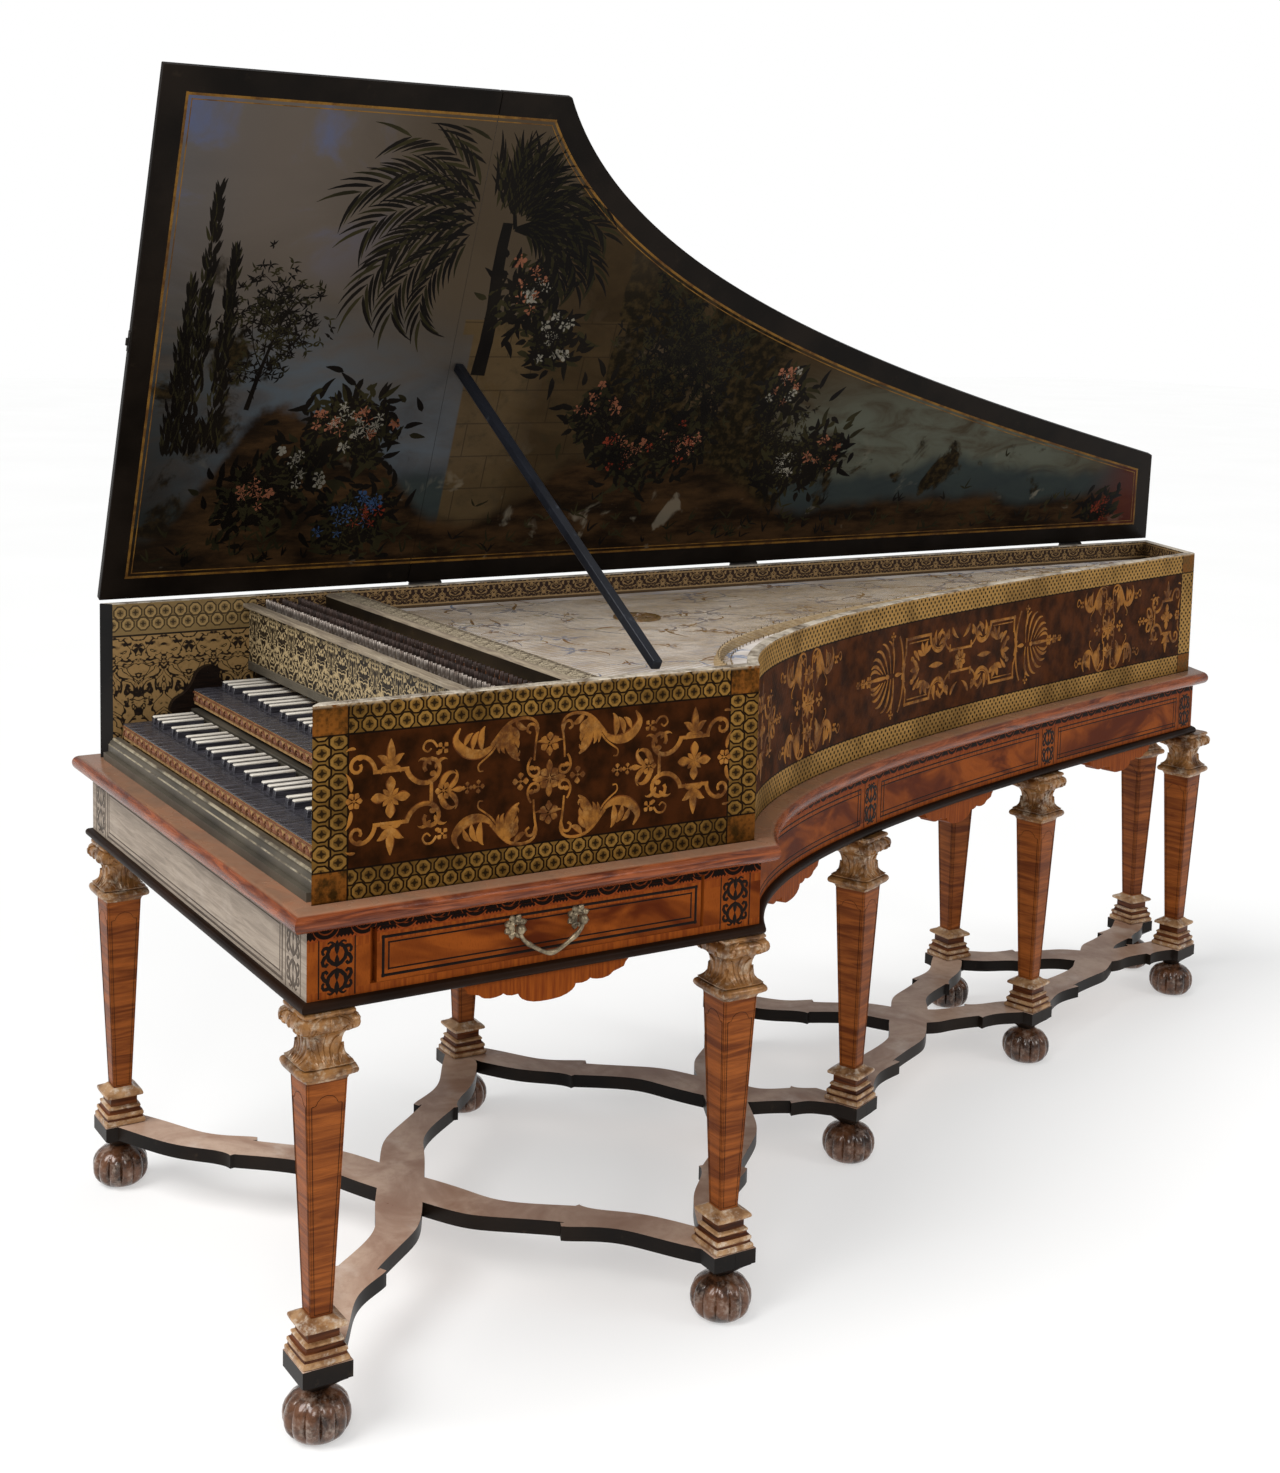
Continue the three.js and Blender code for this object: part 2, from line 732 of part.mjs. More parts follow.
addPiece('base_moulding', moulding([
  [baseInside, standBottom],
  ...baseMouldingShares.map(([out, up]) => [
    railProud + out * baseMouldingProud, standBottom + up * baseMouldingHeight,
  ]),
  [baseInside, standBottom + baseMouldingHeight],
]), finishes.ebonised);

// Legs: a square section that swells and narrows from plinth to capital.
// Each pair is a share of the height of the plinth or capital and a share of its half width.
const plinthShares = [[0, 1], [0.47, 1], [0.5, 0.88], [0.64, 0.8], [0.75, 0.97], [0.88, 1.02], [1, 0.94]];
const capitalShares = [
  [0, 0.93], [0.1, 0.95], [0.17, 0.9], [0.33, 0.68], [0.5, 0.56], [0.66, 0.6], [0.78, 0.9],
  [0.84, 1], [0.95, 1], [1, 0.92],
];
const capitalBottom = standBottom - capitalHeight;
const legSections = [
  ...plinthShares.map(([up, out]) => [stretcherTop + up * plinthHeight, out * plinthHalf]),
  [stretcherTop + plinthHeight, shaftFootHalf],
  [capitalBottom, shaftTopHalf],
  ...capitalShares.map(([up, out]) => [capitalBottom + up * capitalHeight, out * capitalHalf]),
];
function leg() {
  return loft(legSections.map(([level, half]) => [
    new THREE.Vector3(-half, -half, level),
    new THREE.Vector3(half, -half, level),
    new THREE.Vector3(half, half, level),
    new THREE.Vector3(-half, half, level),
  ]));
}

// Ball foot, turned, with a neck below the stretcher.
const footShares = [
  [0, 0], [0.52, 0], [0.8, 0.09], [0.96, 0.29], [1, 0.49], [0.91, 0.69], [0.69, 0.83],
  [0.44, 0.9], [0.44, 0.94], [0.66, 1], [0, 1],
];
function foot() {
  const profile = footShares.map(([out, up]) => new THREE.Vector2(out * ballRadius, up * stretcherBottom));
  const geometry = new THREE.LatheGeometry(profile, footSides);
  return geometry.rotateX(Math.PI / 2);
}

Object.entries(legs).forEach(([name, { place, turn }]) => {
  const standing = new THREE.Group();
  standing.position.set(place.x, place.y, 0);
  standing.rotation.z = turn;
  addPiece(`leg_${name}`, leg(), finishes.walnut, standing);
  addPiece(`foot_${name}`, foot(), finishes.gilt, standing);
  model.add(standing);
});

// Stretchers: flat crosses with stepped, curved arms, each between four legs.
// Line of one arm from the middle of a cross to the leg: share of the way across, share of
// the way along, and the arm's breadth there as a share of its usual one.
const armShares = [
  [0, 0, 1.25], [0.23, 0.154, 1.25], [0.334, 0.235, 1.07], [0.4165, 0.348, 0.95],
  [0.5055, 0.497, 0.98], [0.535, 0.53, 1], [0.545, 0.54, 1.36], [0.609, 0.622, 1.07],
  [0.679, 0.7285, 1.02], [0.788, 0.832, 1.1], [1, 1, 1],
];
const hubShares = [
  [1, -0.1], [0.45, -1], [-0.45, -1], [-1, -0.1], [-1, 0.1], [-0.45, 1], [0.45, 1], [1, 0.1],
];

// The middle is given as shares of the way from the spine legs to the outer legs, and
// from the front legs to the back legs.
function stretcher({ middleShares, corners, shared }) {
  const [outerFront, outerBack, spineBack, spineFront] = corners.map(({ place }) => place);
  const spineMean = pointBetween(spineFront, spineBack, 0.5);
  const outerMean = pointBetween(outerFront, outerBack, 0.5);
  const frontMean = pointBetween(spineFront, outerFront, 0.5);
  const backMean = pointBetween(spineBack, outerBack, 0.5);
  const centre = new THREE.Vector2(
    spineMean.x + middleShares[0] * (outerMean.x - spineMean.x),
    frontMean.y + middleShares[1] * (backMean.y - frontMean.y),
  );
  const body = [prism(
    hubShares.map(([across, along]) => new THREE.Vector2(
      centre.x + across * hubAcross, centre.y + along * hubAlong,
    )),
    stretcherBottom,
    stretcherTop,
  )];
  const beyond = [];
  corners.forEach(({ place, turn }, corner) => {
    const reach = place.clone().sub(centre);
    const nearLeg = (across, along) => place.clone().add(
      new THREE.Vector2(across, along * Math.sign(reach.y)).rotateAround(new THREE.Vector2(), turn),
    );
    const square = (half, near, far) => prism(
      [nearLeg(-half, near), nearLeg(half, near), nearLeg(half, far), nearLeg(-half, far)],
      stretcherBottom,
      stretcherTop,
    );
    const sideways = new THREE.Vector2(reach.y, -reach.x).setLength(armHalf);
    const edge = (side) => armShares.map(([across, along, breadth]) => new THREE.Vector2(
      centre.x + across * reach.x + side * breadth * sideways.x,
      centre.y + along * reach.y + side * breadth * sideways.y,
    ));
    body.push(prism([...edge(1), ...edge(-1).reverse()], stretcherBottom, stretcherTop));
    body.push(square(padHalf, -padReach, padHalf));
    // A pad stops halfway under a leg that it shares with the next stretcher.
    if (shared[corner]) {
      beyond.push(square(padReach + padHalf, -seat / 2, padReach));
    }
  });
  return cut(join(...body), ...beyond.map((cutter) => stretched(cutter)));
}

// A cutter made taller than the stretcher, so that it passes right through.
function stretched(cutter) {
  const middle = (stretcherBottom + stretcherTop) / 2;
  return cutter.clone().translate(0, 0, -middle).scale(1, 1, 2).translate(0, 0, middle);
}

const stretcherPlan = {
  front: {
    middleShares: [0.521, 0.483],
    corners: ['cheek_front', 'cheek_back', 'spine_second', 'spine_front'],
    shared: [false, true, true, false],
  },
  second: {
    middleShares: [0.557, 0.586],
    corners: ['cheek_back', 'bent_front', 'spine_middle', 'spine_second'],
    shared: [true, true, true, true],
  },
  third: {
    middleShares: [0.603, 0.518],
    corners: ['bent_front', 'bent_back', 'spine_fourth', 'spine_middle'],
    shared: [true, true, true, true],
  },
  back: {
    middleShares: [0.6545, 0.563],
    corners: ['bent_back', 'tail', 'spine_back', 'spine_fourth'],
    shared: [true, false, false, true],
  },
};
Object.entries(stretcherPlan).forEach(([name, { middleShares, corners, shared }]) => {
  const body = stretcher({ middleShares, corners: corners.map((corner) => legs[corner]), shared });
  addPiece(`stretcher_${name}`, body, finishes.veneer);
});

// Drawer in the cheek rail, on two runners that reach across the stand
const drawerLeft = railFace - drawerDepth;
const drawerMiddle = (drawerStart + drawerEnd) / 2;
const bailAxisX = railFace + bailStandoff;
const bailAxisZ = drawerBottom + drawerHeight * bailLevelShare;
const posts = [-1, 1].map((side) => block(
  railFace - overrun, bailAxisX + bailRadius,
  drawerMiddle + side * bailSpan / 2 - postWidth / 2, drawerMiddle + side * bailSpan / 2 + postWidth / 2,
  bailAxisZ - postHeight / 2, bailAxisZ + postHeight / 2,
));
addPiece('drawer', join(
  cut(
    block(drawerLeft, railFace, drawerStart + running, drawerEnd - running, drawerBottom, drawerTop),
    block(
      drawerLeft + drawerSide, railFace - drawerFront,
      drawerStart + running + drawerSide, drawerEnd - running - drawerSide,
      drawerBottom + drawerFloor, drawerTop + overrun,
    ),
  ),
  ...posts,
), finishes.walnut);

// The runners join at the drawer's back, where a bar stops it.
const runnerTop = drawerBottom - seat;
const runnerLeft = railThickness - railProud + seat;
const runnerRight = caseWidth - railThickness + railProud - seat;
function runner(front) {
  return block(runnerLeft, runnerRight, front, front + runnerWidth, runnerTop - runnerThickness, runnerTop);
}
addPiece('drawer_runners', join(
  runner(drawerStart),
  runner(drawerEnd - runnerWidth),
  block(
    drawerLeft - running - runnerWidth, drawerLeft - running, drawerStart, drawerEnd,
    runnerTop - runnerThickness, drawerBottom + drawerHeight * drawerStopShare,
  ),
), finishes.rawWood);

// Bail: a bow that hangs from the two posts on the drawer's face.
function bail() {
  const half = bailSpan / 2 - postWidth / 2 - seat - bailRadius;
  const bowShares = [[1, 0], [1, -0.2], [0.87, -0.62], [0.52, -0.9], [0, -1]];
  const side = bowShares.map(([along, down]) => new THREE.Vector3(
    bailAxisX, drawerMiddle + along * half, bailAxisZ + down * bailDrop,
  ));
  const back = side.slice(0, -1).reverse().map((point) => (
    new THREE.Vector3(point.x, 2 * drawerMiddle - point.y, point.z)
  ));
  const bow = new THREE.CatmullRomCurve3([...side, ...back]);
  const ring = new THREE.Shape();
  ring.absarc(0, 0, bailRadius, 0, 2 * Math.PI);
  return new THREE.ExtrudeGeometry(ring, { steps: bailSteps, curveSegments: bailSides, extrudePath: bow });
}
addPiece('drawer_bail', bail(), finishes.brass);

// Lid in two leaves, laid out closed: x across from the hinge line, z above the case's top
const lidGroup = new THREE.Group();
lidGroup.position.set(-hingeStandoff, 0, caseTop);
lidGroup.rotation.y = -THREE.MathUtils.degToRad(lidOpenDegrees);
model.add(lidGroup);
const lidTop = seat + lidThickness;
const lidPlan = outline.map((point) => new THREE.Vector2(point.x + hingeStandoff, point.y));
const mainPlan = [
  new THREE.Vector2(hingeStandoff, lidSplit + seat),
  new THREE.Vector2(caseWidth + hingeStandoff, lidSplit + seat),
  ...lidPlan.slice(cheekCorner),
];
addPiece('lid_main', prism(mainPlan, seat, lidTop), finishes.picture, lidGroup);
addPiece(
  'lid_flap',
  block(hingeStandoff, caseWidth + hingeStandoff, 0, lidSplit - seat, seat, lidTop),
  finishes.picture,
  lidGroup,
);

// Hinges of the lid: a leaf over the lid's edge and back, and the barrel on the hinge line
function barrelSection(x, z, radius) {
  return Array.from({ length: barrelSides }, (unused, side) => {
    const angle = 2 * Math.PI * (side / barrelSides);
    return new THREE.Vector2(x + radius * Math.cos(angle), z + radius * Math.sin(angle));
  });
}
const leafOutside = hingeStandoff - seat - hingeLeaf;
const hingeShares = { middle: 0.524, back: 0.89 };
const lidHingeStarts = {
  front: lidSplit + hingeStandoff,
  middle: hingeShares.middle * spineLength,
  back: hingeShares.back * spineLength,
};
Object.entries(lidHingeStarts).forEach(([name, start]) => {
  addPiece(`lid_hinge_${name}`, join(
    barAlongY(barrelSection(0, 0, hingeBarrel), start, start + hingeLength),
    barAlongY([
      new THREE.Vector2(leafOutside, 0),
      new THREE.Vector2(hingeStandoff - seat, 0),
      new THREE.Vector2(hingeStandoff - seat, lidTop + seat),
      new THREE.Vector2(hingeStandoff + hingeLeafReach, lidTop + seat),
      new THREE.Vector2(hingeStandoff + hingeLeafReach, lidTop + seat + hingeLeaf),
      new THREE.Vector2(leafOutside, lidTop + seat + hingeLeaf),
    ], start, start + hingeLength),
  ), finishes.iron, lidGroup);
});

// Hinge of the flap, on the lid's back, so that the flap folds over onto the main leaf
const flapAxisZ = lidTop + flapBarrel + seat;
const flapHingeLeft = hingeStandoff + (caseWidth - flapHingeLength) / 2;
addPiece('flap_hinge', join(
  barAlongX(
    barrelSection(lidSplit, flapAxisZ, flapBarrel),
    flapHingeLeft, flapHingeLeft + flapHingeLength,
  ),
  block(
    flapHingeLeft, flapHingeLeft + flapHingeLength, lidSplit + seat, lidSplit + hingeLeafReach,
    lidTop + seat, lidTop + seat + hingeLeaf,
  ),
), finishes.iron, lidGroup);

// Stick: a square rod from the cheek's top edge up to the lid
const openAngle = THREE.MathUtils.degToRad(lidOpenDegrees);
const stickTop = new THREE.Vector3(
  -hingeStandoff + stickTopAcross * Math.cos(openAngle) + stickClearance * Math.sin(openAngle),
  stickTopAlong,
  caseTop + stickTopAcross * Math.sin(openAngle) - stickClearance * Math.cos(openAngle),
);
const stickFoot = new THREE.Vector3(
  caseWidth - stickFootInset, stickFootAlong, caseTop + stickThickness / 2,
);
const stickRun = stickTop.clone().sub(stickFoot);
const stick = new THREE.Group();
stick.position.copy(stickFoot);
stick.quaternion.setFromUnitVectors(new THREE.Vector3(0, 0, 1), stickRun.clone().normalize());
model.add(stick);
addPiece('lid_stick', block(
  -stickThickness / 2, stickThickness / 2, -stickThickness / 2, stickThickness / 2, 0, stickRun.length(),
), finishes.stick, stick);

// The whole stands on its bottom centre.
const extent = new THREE.Box3().setFromObject(model);
const middle = extent.getCenter(new THREE.Vector3());
model.position.set(-middle.x, -middle.y, -extent.min.z);

export default model;
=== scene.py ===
"""Looks of a double-manual harpsichord on its stand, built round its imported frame.

Lengths are metres. Pieces are laid out in the case frame: x across from the spine, y from the
keyboard end towards the tail, z up from the floor. Every piece is moved to the part's own
frame when its mesh is made.
"""

import logging
import math
from dataclasses import dataclass, field
from enum import Enum
from typing import Callable, Optional, Sequence, Union

import bmesh
import bpy
import numpy as np
from mathutils import Matrix, Vector
from mathutils.geometry import delaunay_2d_cdt


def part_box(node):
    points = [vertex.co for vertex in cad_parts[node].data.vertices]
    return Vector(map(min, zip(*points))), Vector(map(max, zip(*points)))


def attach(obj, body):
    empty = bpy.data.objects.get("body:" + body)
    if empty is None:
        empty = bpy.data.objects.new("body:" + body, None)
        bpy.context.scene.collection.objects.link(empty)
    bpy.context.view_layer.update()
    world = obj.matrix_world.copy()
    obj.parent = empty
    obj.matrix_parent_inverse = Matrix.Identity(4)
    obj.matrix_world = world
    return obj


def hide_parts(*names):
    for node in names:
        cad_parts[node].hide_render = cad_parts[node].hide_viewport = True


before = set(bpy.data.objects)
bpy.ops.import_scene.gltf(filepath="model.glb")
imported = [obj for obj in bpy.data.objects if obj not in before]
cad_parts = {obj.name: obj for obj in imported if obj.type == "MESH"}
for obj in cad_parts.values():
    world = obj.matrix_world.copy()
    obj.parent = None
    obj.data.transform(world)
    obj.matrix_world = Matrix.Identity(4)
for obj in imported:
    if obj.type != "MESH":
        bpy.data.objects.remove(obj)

LOG = logging.getLogger("harpsichord")
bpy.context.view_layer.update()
TURN = 2 * math.pi
TINY = 1e-6
LIFT = 0.0004


def linear(code: str) -> tuple[float, float, float]:
    """Linear colour of a screen colour code.

    Args:
        code: six hexadecimal digits, two each for red, green and blue.

    Returns:
        Red, green and blue, from 0 to 1, in linear light.
    """
    parts = [int(code[place:place + 2], 16) / 255 for place in (0, 2, 4)]
    return tuple(((part + 0.055) / 1.055) ** 2.4 if part > 0.04045 else part / 12.92 for part in parts)


# Plane geometry

def mitres(path: np.ndarray, closed: bool = False) -> np.ndarray:
    """Outward unit offsets of a plan line.

    The offset at a point is the sum of the two neighbouring edges' right-hand normals over
    one plus their dot product, so that offset edges stay parallel.

    Args:
        path: n×2 points, in the order of travel.
        closed: whether the last point joins the first.

    Returns:
        n×2 vectors.
    """
    ahead = np.roll(path, -1, axis=0) - path
    if not closed:
        ahead[-1] = ahead[-2]
    ahead = ahead / np.linalg.norm(ahead, axis=1, keepdims=True)
    behind = np.roll(ahead, 1, axis=0)
    if not closed:
        behind[0] = ahead[0]
    first = np.stack([behind[:, 1], -behind[:, 0]], axis=1)
    second = np.stack([ahead[:, 1], -ahead[:, 0]], axis=1)
    return (first + second) / (1 + np.sum(first * second, axis=1, keepdims=True))


def towards(heading: float) -> np.ndarray:
    """Unit vector of a heading in degrees."""
    return np.array([math.cos(math.radians(heading)), math.sin(math.radians(heading))])


def spin(turn: float) -> np.ndarray:
    """Matrix that turns plane row vectors by an angle in radians."""
    return np.array([[math.cos(turn), math.sin(turn)], [-math.sin(turn), math.cos(turn)]])


def travelled(path: np.ndarray, closed: bool = False) -> np.ndarray:
    """Distance along a line at each of its points, and once more at the end if it is closed.

    Args:
        path: n×2 points of the line.
        closed: whether the last point joins the first.

    Returns:
        The distances, n of them or one more.
    """
    line = np.vstack([path, path[:1]]) if closed else path
    steps = np.linalg.norm(np.diff(line, axis=0), axis=1)
    return np.concatenate([[0.0], np.cumsum(steps)])


def rounded(corners: Sequence, radius: float, steps: int = 4) -> np.ndarray:
    """Closed outline with each corner replaced by a quadratic curve.

    The curve leaves one edge and joins the next at the radius from the corner, or at 0.45 of
    the edge where that is shorter.

    Args:
        corners: n corners of two numbers.
        radius: distance from the corner to the curve's ends.
        steps: points of each curve.

    Returns:
        (n·steps)×2 points.
    """
    middle = np.asarray(corners, float)
    before = np.roll(middle, 1, axis=0) - middle
    after = np.roll(middle, -1, axis=0) - middle
    reach = [np.linalg.norm(side, axis=1, keepdims=True) for side in (before, after)]
    start = middle + before / reach[0] * np.minimum(radius, 0.45 * reach[0])
    end = middle + after / reach[1] * np.minimum(radius, 0.45 * reach[1])
    share = np.linspace(0, 1, steps)[None, :, None]
    curve = (1 - share) ** 2 * start[:, None] + 2 * share * (1 - share) * middle[:, None]
    return (curve + share ** 2 * end[:, None]).reshape(-1, 2)


def curl(start: Sequence, heading: float, length: float, bend: float = 0.0, wind: float = 0.0,
         count: int = 14) -> np.ndarray:
    """Plane line whose heading turns as it goes.

    The heading is heading + bend·t + wind·t³ in degrees, with t from 0 to 1 along the length,
    and the points are its running sum.

    Args:
        start: first point.
        heading: direction at the start, in degrees.
        length: length of the line.
        bend: even turning over the whole length, in degrees.
        wind: turning that gathers towards the end, in degrees.
        count: number of points.

    Returns:
        count×2 points.
    """
    share = (np.arange(count - 1) + 0.5) / (count - 1)
    angle = np.radians(heading + bend * share + wind * share ** 3)
    steps = np.stack([np.cos(angle), np.sin(angle)], axis=1) * (length / (count - 1))
    return np.vstack([[0.0, 0.0], np.cumsum(steps, axis=0)]) + np.asarray(start, float)


def through(points: Sequence, count: int = 24) -> np.ndarray:
    """Smooth plane line through points: each span is the cubic of its ends' central slopes.

    Args:
        points: pairs that it passes.
        count: number of points.

    Returns:
        count×2 points.
    """
    given = np.asarray(points, float)
    slopes = np.gradient(given, axis=0)
    place = np.linspace(0, len(given) - 1, count)
    span = np.minimum(place.astype(int), len(given) - 2)
    part = (place - span)[:, None]
    start, end, first, last = given[span], given[span + 1], slopes[span], slopes[span + 1]
    return ((2 * part ** 3 - 3 * part ** 2 + 1) * start + (part ** 3 - 2 * part ** 2 + part) * first
            + (3 * part ** 2 - 2 * part ** 3) * end + (part ** 3 - part ** 2) * last)


def swell(most: float, count: int = 14, peak: float = 0.35, tip: float = 0.12) -> np.ndarray:
    """Half widths of a leaf-like stroke: a sine hump with its peak moved, over a thin tip."""
    share = np.linspace(0, 1, count) ** (math.log(0.5) / math.log(peak))
    return most * (tip + (1 - tip) * np.sin(np.pi * share))


def taper(start: float, end: float, count: int = 14) -> np.ndarray:
    """Half widths that run evenly from one value to another."""
    return np.linspace(start, end, count)


# Meshes

@dataclass
class Skin:
    """Faces gathered before they become a mesh.

    points holds a place per point; corners lists the points of the faces one face after the
    other; sizes holds each face's number of corners; uv holds two numbers per corner; slots
    holds each face's place in the piece's list of finishes.
    """

    points: np.ndarray
    corners: np.ndarray
    sizes: np.ndarray
    uv: np.ndarray
    slots: np.ndarray

    @classmethod
    def sheet(cls, points: np.ndarray, uv: Optional[np.ndarray] = None, wrap_rows: bool = False,
              wrap_cols: bool = False, slot: Union[int, np.ndarray] = 0) -> "Skin":
        """Quads over a grid of points.

        Args:
            points: rows×cols×3 places.
            uv: a pair per point, with one more row or column where that way is wrapped.
            wrap_rows: whether the last row joins the first.
            wrap_cols: whether the last column joins the first.
            slot: one finish for all, or one per column of quads.

        Returns:
            The sheet.
        """
        rows, cols = points.shape[:2]
        row, col = np.meshgrid(
            np.arange(rows if wrap_rows else rows - 1),
            np.arange(cols if wrap_cols else cols - 1), indexing="ij")
        next_row, next_col = (row + 1) % rows, (col + 1) % cols
        quads = np.stack([row * cols + col, next_row * cols + col,
                          next_row * cols + next_col, row * cols + next_col], axis=-1)
        if uv is None:
            pairs = np.zeros((quads.size, 2))
        else:
            pairs = np.stack([uv[row, col], uv[row + 1, col], uv[row + 1, col + 1], uv[row, col + 1]],
                             axis=2).reshape(-1, 2)
        slots = np.broadcast_to(np.asarray(slot), quads.shape[:2]).reshape(-1)
        return cls(points.reshape(-1, 3), quads.reshape(-1), np.full(slots.size, 4), pairs, slots)

    @classmethod
    def face(cls, ring: np.ndarray, uv: Optional[np.ndarray] = None, slot: int = 0) -> "Skin":
        """One flat face through a ring of points.

        Args:
            ring: n×3 places, once round.
            uv: n×2 numbers of the map, or none.
            slot: the face's finish.

        Returns:
            The face.
        """
        count = len(ring)
        pairs = np.zeros((count, 2)) if uv is None else uv
        return cls(ring, np.arange(count), np.array([count]), pairs, np.array([slot]))

    @classmethod
    def joined(cls, skins: Sequence["Skin"]) -> "Skin":
        """All the faces of several skins, in order.

        Args:
            skins: the skins to join.

        Returns:
            One skin.
        """
        starts = np.cumsum([0] + [len(skin.points) for skin in skins[:-1]])
        return cls(
            np.concatenate([skin.points for skin in skins]),
            np.concatenate([skin.corners + start for skin, start in zip(skins, starts)]),
            np.concatenate([skin.sizes for skin in skins]),
            np.concatenate([skin.uv for skin in skins]),
            np.concatenate([skin.slots for skin in skins]))

    def placed(self, move: Callable[[np.ndarray], np.ndarray]) -> "Skin":
        """The same faces with every point moved by a function of the whole array."""
        return Skin(move(self.points), self.corners, self.sizes, self.uv, self.slots)


def loft(rings: np.ndarray, slot: Union[int, np.ndarray] = 0) -> Skin:
    """Closed body through rings of points, mapped by the way round each ring and its level.

    Args:
        rings: rows×around×3 places, each row once round the section.
        slot: finish of the sides, one for all or one per row of quads.

    Returns:
        The body, with a face on its first ring and one on its last.
    """
    around = np.concatenate([rings, rings[:, :1]], axis=1)
    steps = np.linalg.norm(np.diff(around, axis=1), axis=2)
    across = np.concatenate([np.zeros((len(rings), 1)), np.cumsum(steps, axis=1)], axis=1)
    ring_uv = np.stack([across, np.broadcast_to(rings[:, :1, 2], across.shape)], axis=-1)
    slots = np.asarray(slot)
    sides = Skin.sheet(rings, ring_uv, wrap_cols=True, slot=slots[:, None] if slots.ndim else slots)
    ends = [Skin.face(rings[end], rings[end][:, :2], int(slots.reshape(-1)[end])) for end in (0, -1)]
    return Skin.joined([sides] + ends)


def bodies(places: np.ndarray, pairs: np.ndarray, slot: int = 0) -> Skin:
    """Many closed bodies at once, each a grid of quads with a face on its first and last row.

    Args:
        places: count×rows×around×3 points.
        pairs: count×rows×around×2 numbers of the map.
        slot: finish of all the faces.

    Returns:
        The bodies.
    """
    count, rows, around = places.shape[:3]
    row, col = np.meshgrid(np.arange(rows - 1), np.arange(around), indexing="ij")
    after = (col + 1) % around
    quads = np.stack([row * around + col, (row + 1) * around + col,
                      (row + 1) * around + after, row * around + after], axis=-1)
    rim = np.arange(around)
    corners = np.concatenate([quads.reshape(-1), rim, (rows - 1) * around + rim])
    sizes = np.concatenate([np.full((rows - 1) * around, 4), [around, around]])
    shifted = (corners[None] + rows * around * np.arange(count)[:, None]).reshape(-1)
    return Skin(places.reshape(-1, 3), shifted, np.tile(sizes, count), pairs.reshape(-1, 2)[shifted],
                np.full(len(sizes) * count, slot))


def sweep(path: np.ndarray, section: np.ndarray, closed: bool = False, start: float = 0.0,
          slot: Union[int, np.ndarray] = 0, offsets: Optional[np.ndarray] = None) -> Skin:
    """A closed section of distance out and level, carried along a plan line.

    Args:
        path: n×2 points of the line.
        section: m×2 pairs of distance out and level, once round.
        closed: whether the line closes on itself.
        start: distance along at the line's first point.
        slot: finish, one for all or one per side of the section.
        offsets: outward vectors of the line where they aren't its own mitres.

    Returns:
        The body, with its distance along and its way round the section as its map.
    """
    out = mitres(path, closed) if offsets is None else offsets
    plan = path[:, None, :] + section[None, :, :1] * out[:, None, :]
    level = np.broadcast_to(section[None, :, 1:], plan.shape[:2] + (1,))
    rows = np.concatenate([plan, level], axis=2)
    along = travelled(path, closed) + start
    around = travelled(section, closed=True)
    uv = np.stack(np.meshgrid(along, around, indexing="ij"), axis=-1)
    body = Skin.sheet(rows, uv, wrap_rows=closed, wrap_cols=True, slot=slot)
    if closed:
        return body
    finish = int(np.asarray(slot).reshape(-1)[0])
    return Skin.joined([body, Skin.face(rows[0], section, finish), Skin.face(rows[-1], section, finish)])


def plate(outline: np.ndarray, low: float, high: float, slots: tuple[int, int, int] = (0, 0, 0)) -> Skin:
    """Flat body between two levels, from its plan outline; slots are top, side and underside.

    Args:
        outline: n×2 plan points, once round.
        low: level of the underside.
        high: level of the top.
        slots: finishes of top, side and underside.

    Returns:
        The plate, mapped by its plan and its edge.
    """
    levels = [np.column_stack([outline, np.full(len(outline), level)]) for level in (low, high)]
    along = travelled(outline, closed=True)
    uv = np.stack([np.stack([along, np.full_like(along, level)], axis=-1) for level in (low, high)])
    side = Skin.sheet(np.stack(levels), uv, wrap_cols=True, slot=slots[1])
    return Skin.joined([
        side, Skin.face(levels[1], outline, slots[0]), Skin.face(levels[0], outline, slots[2])])


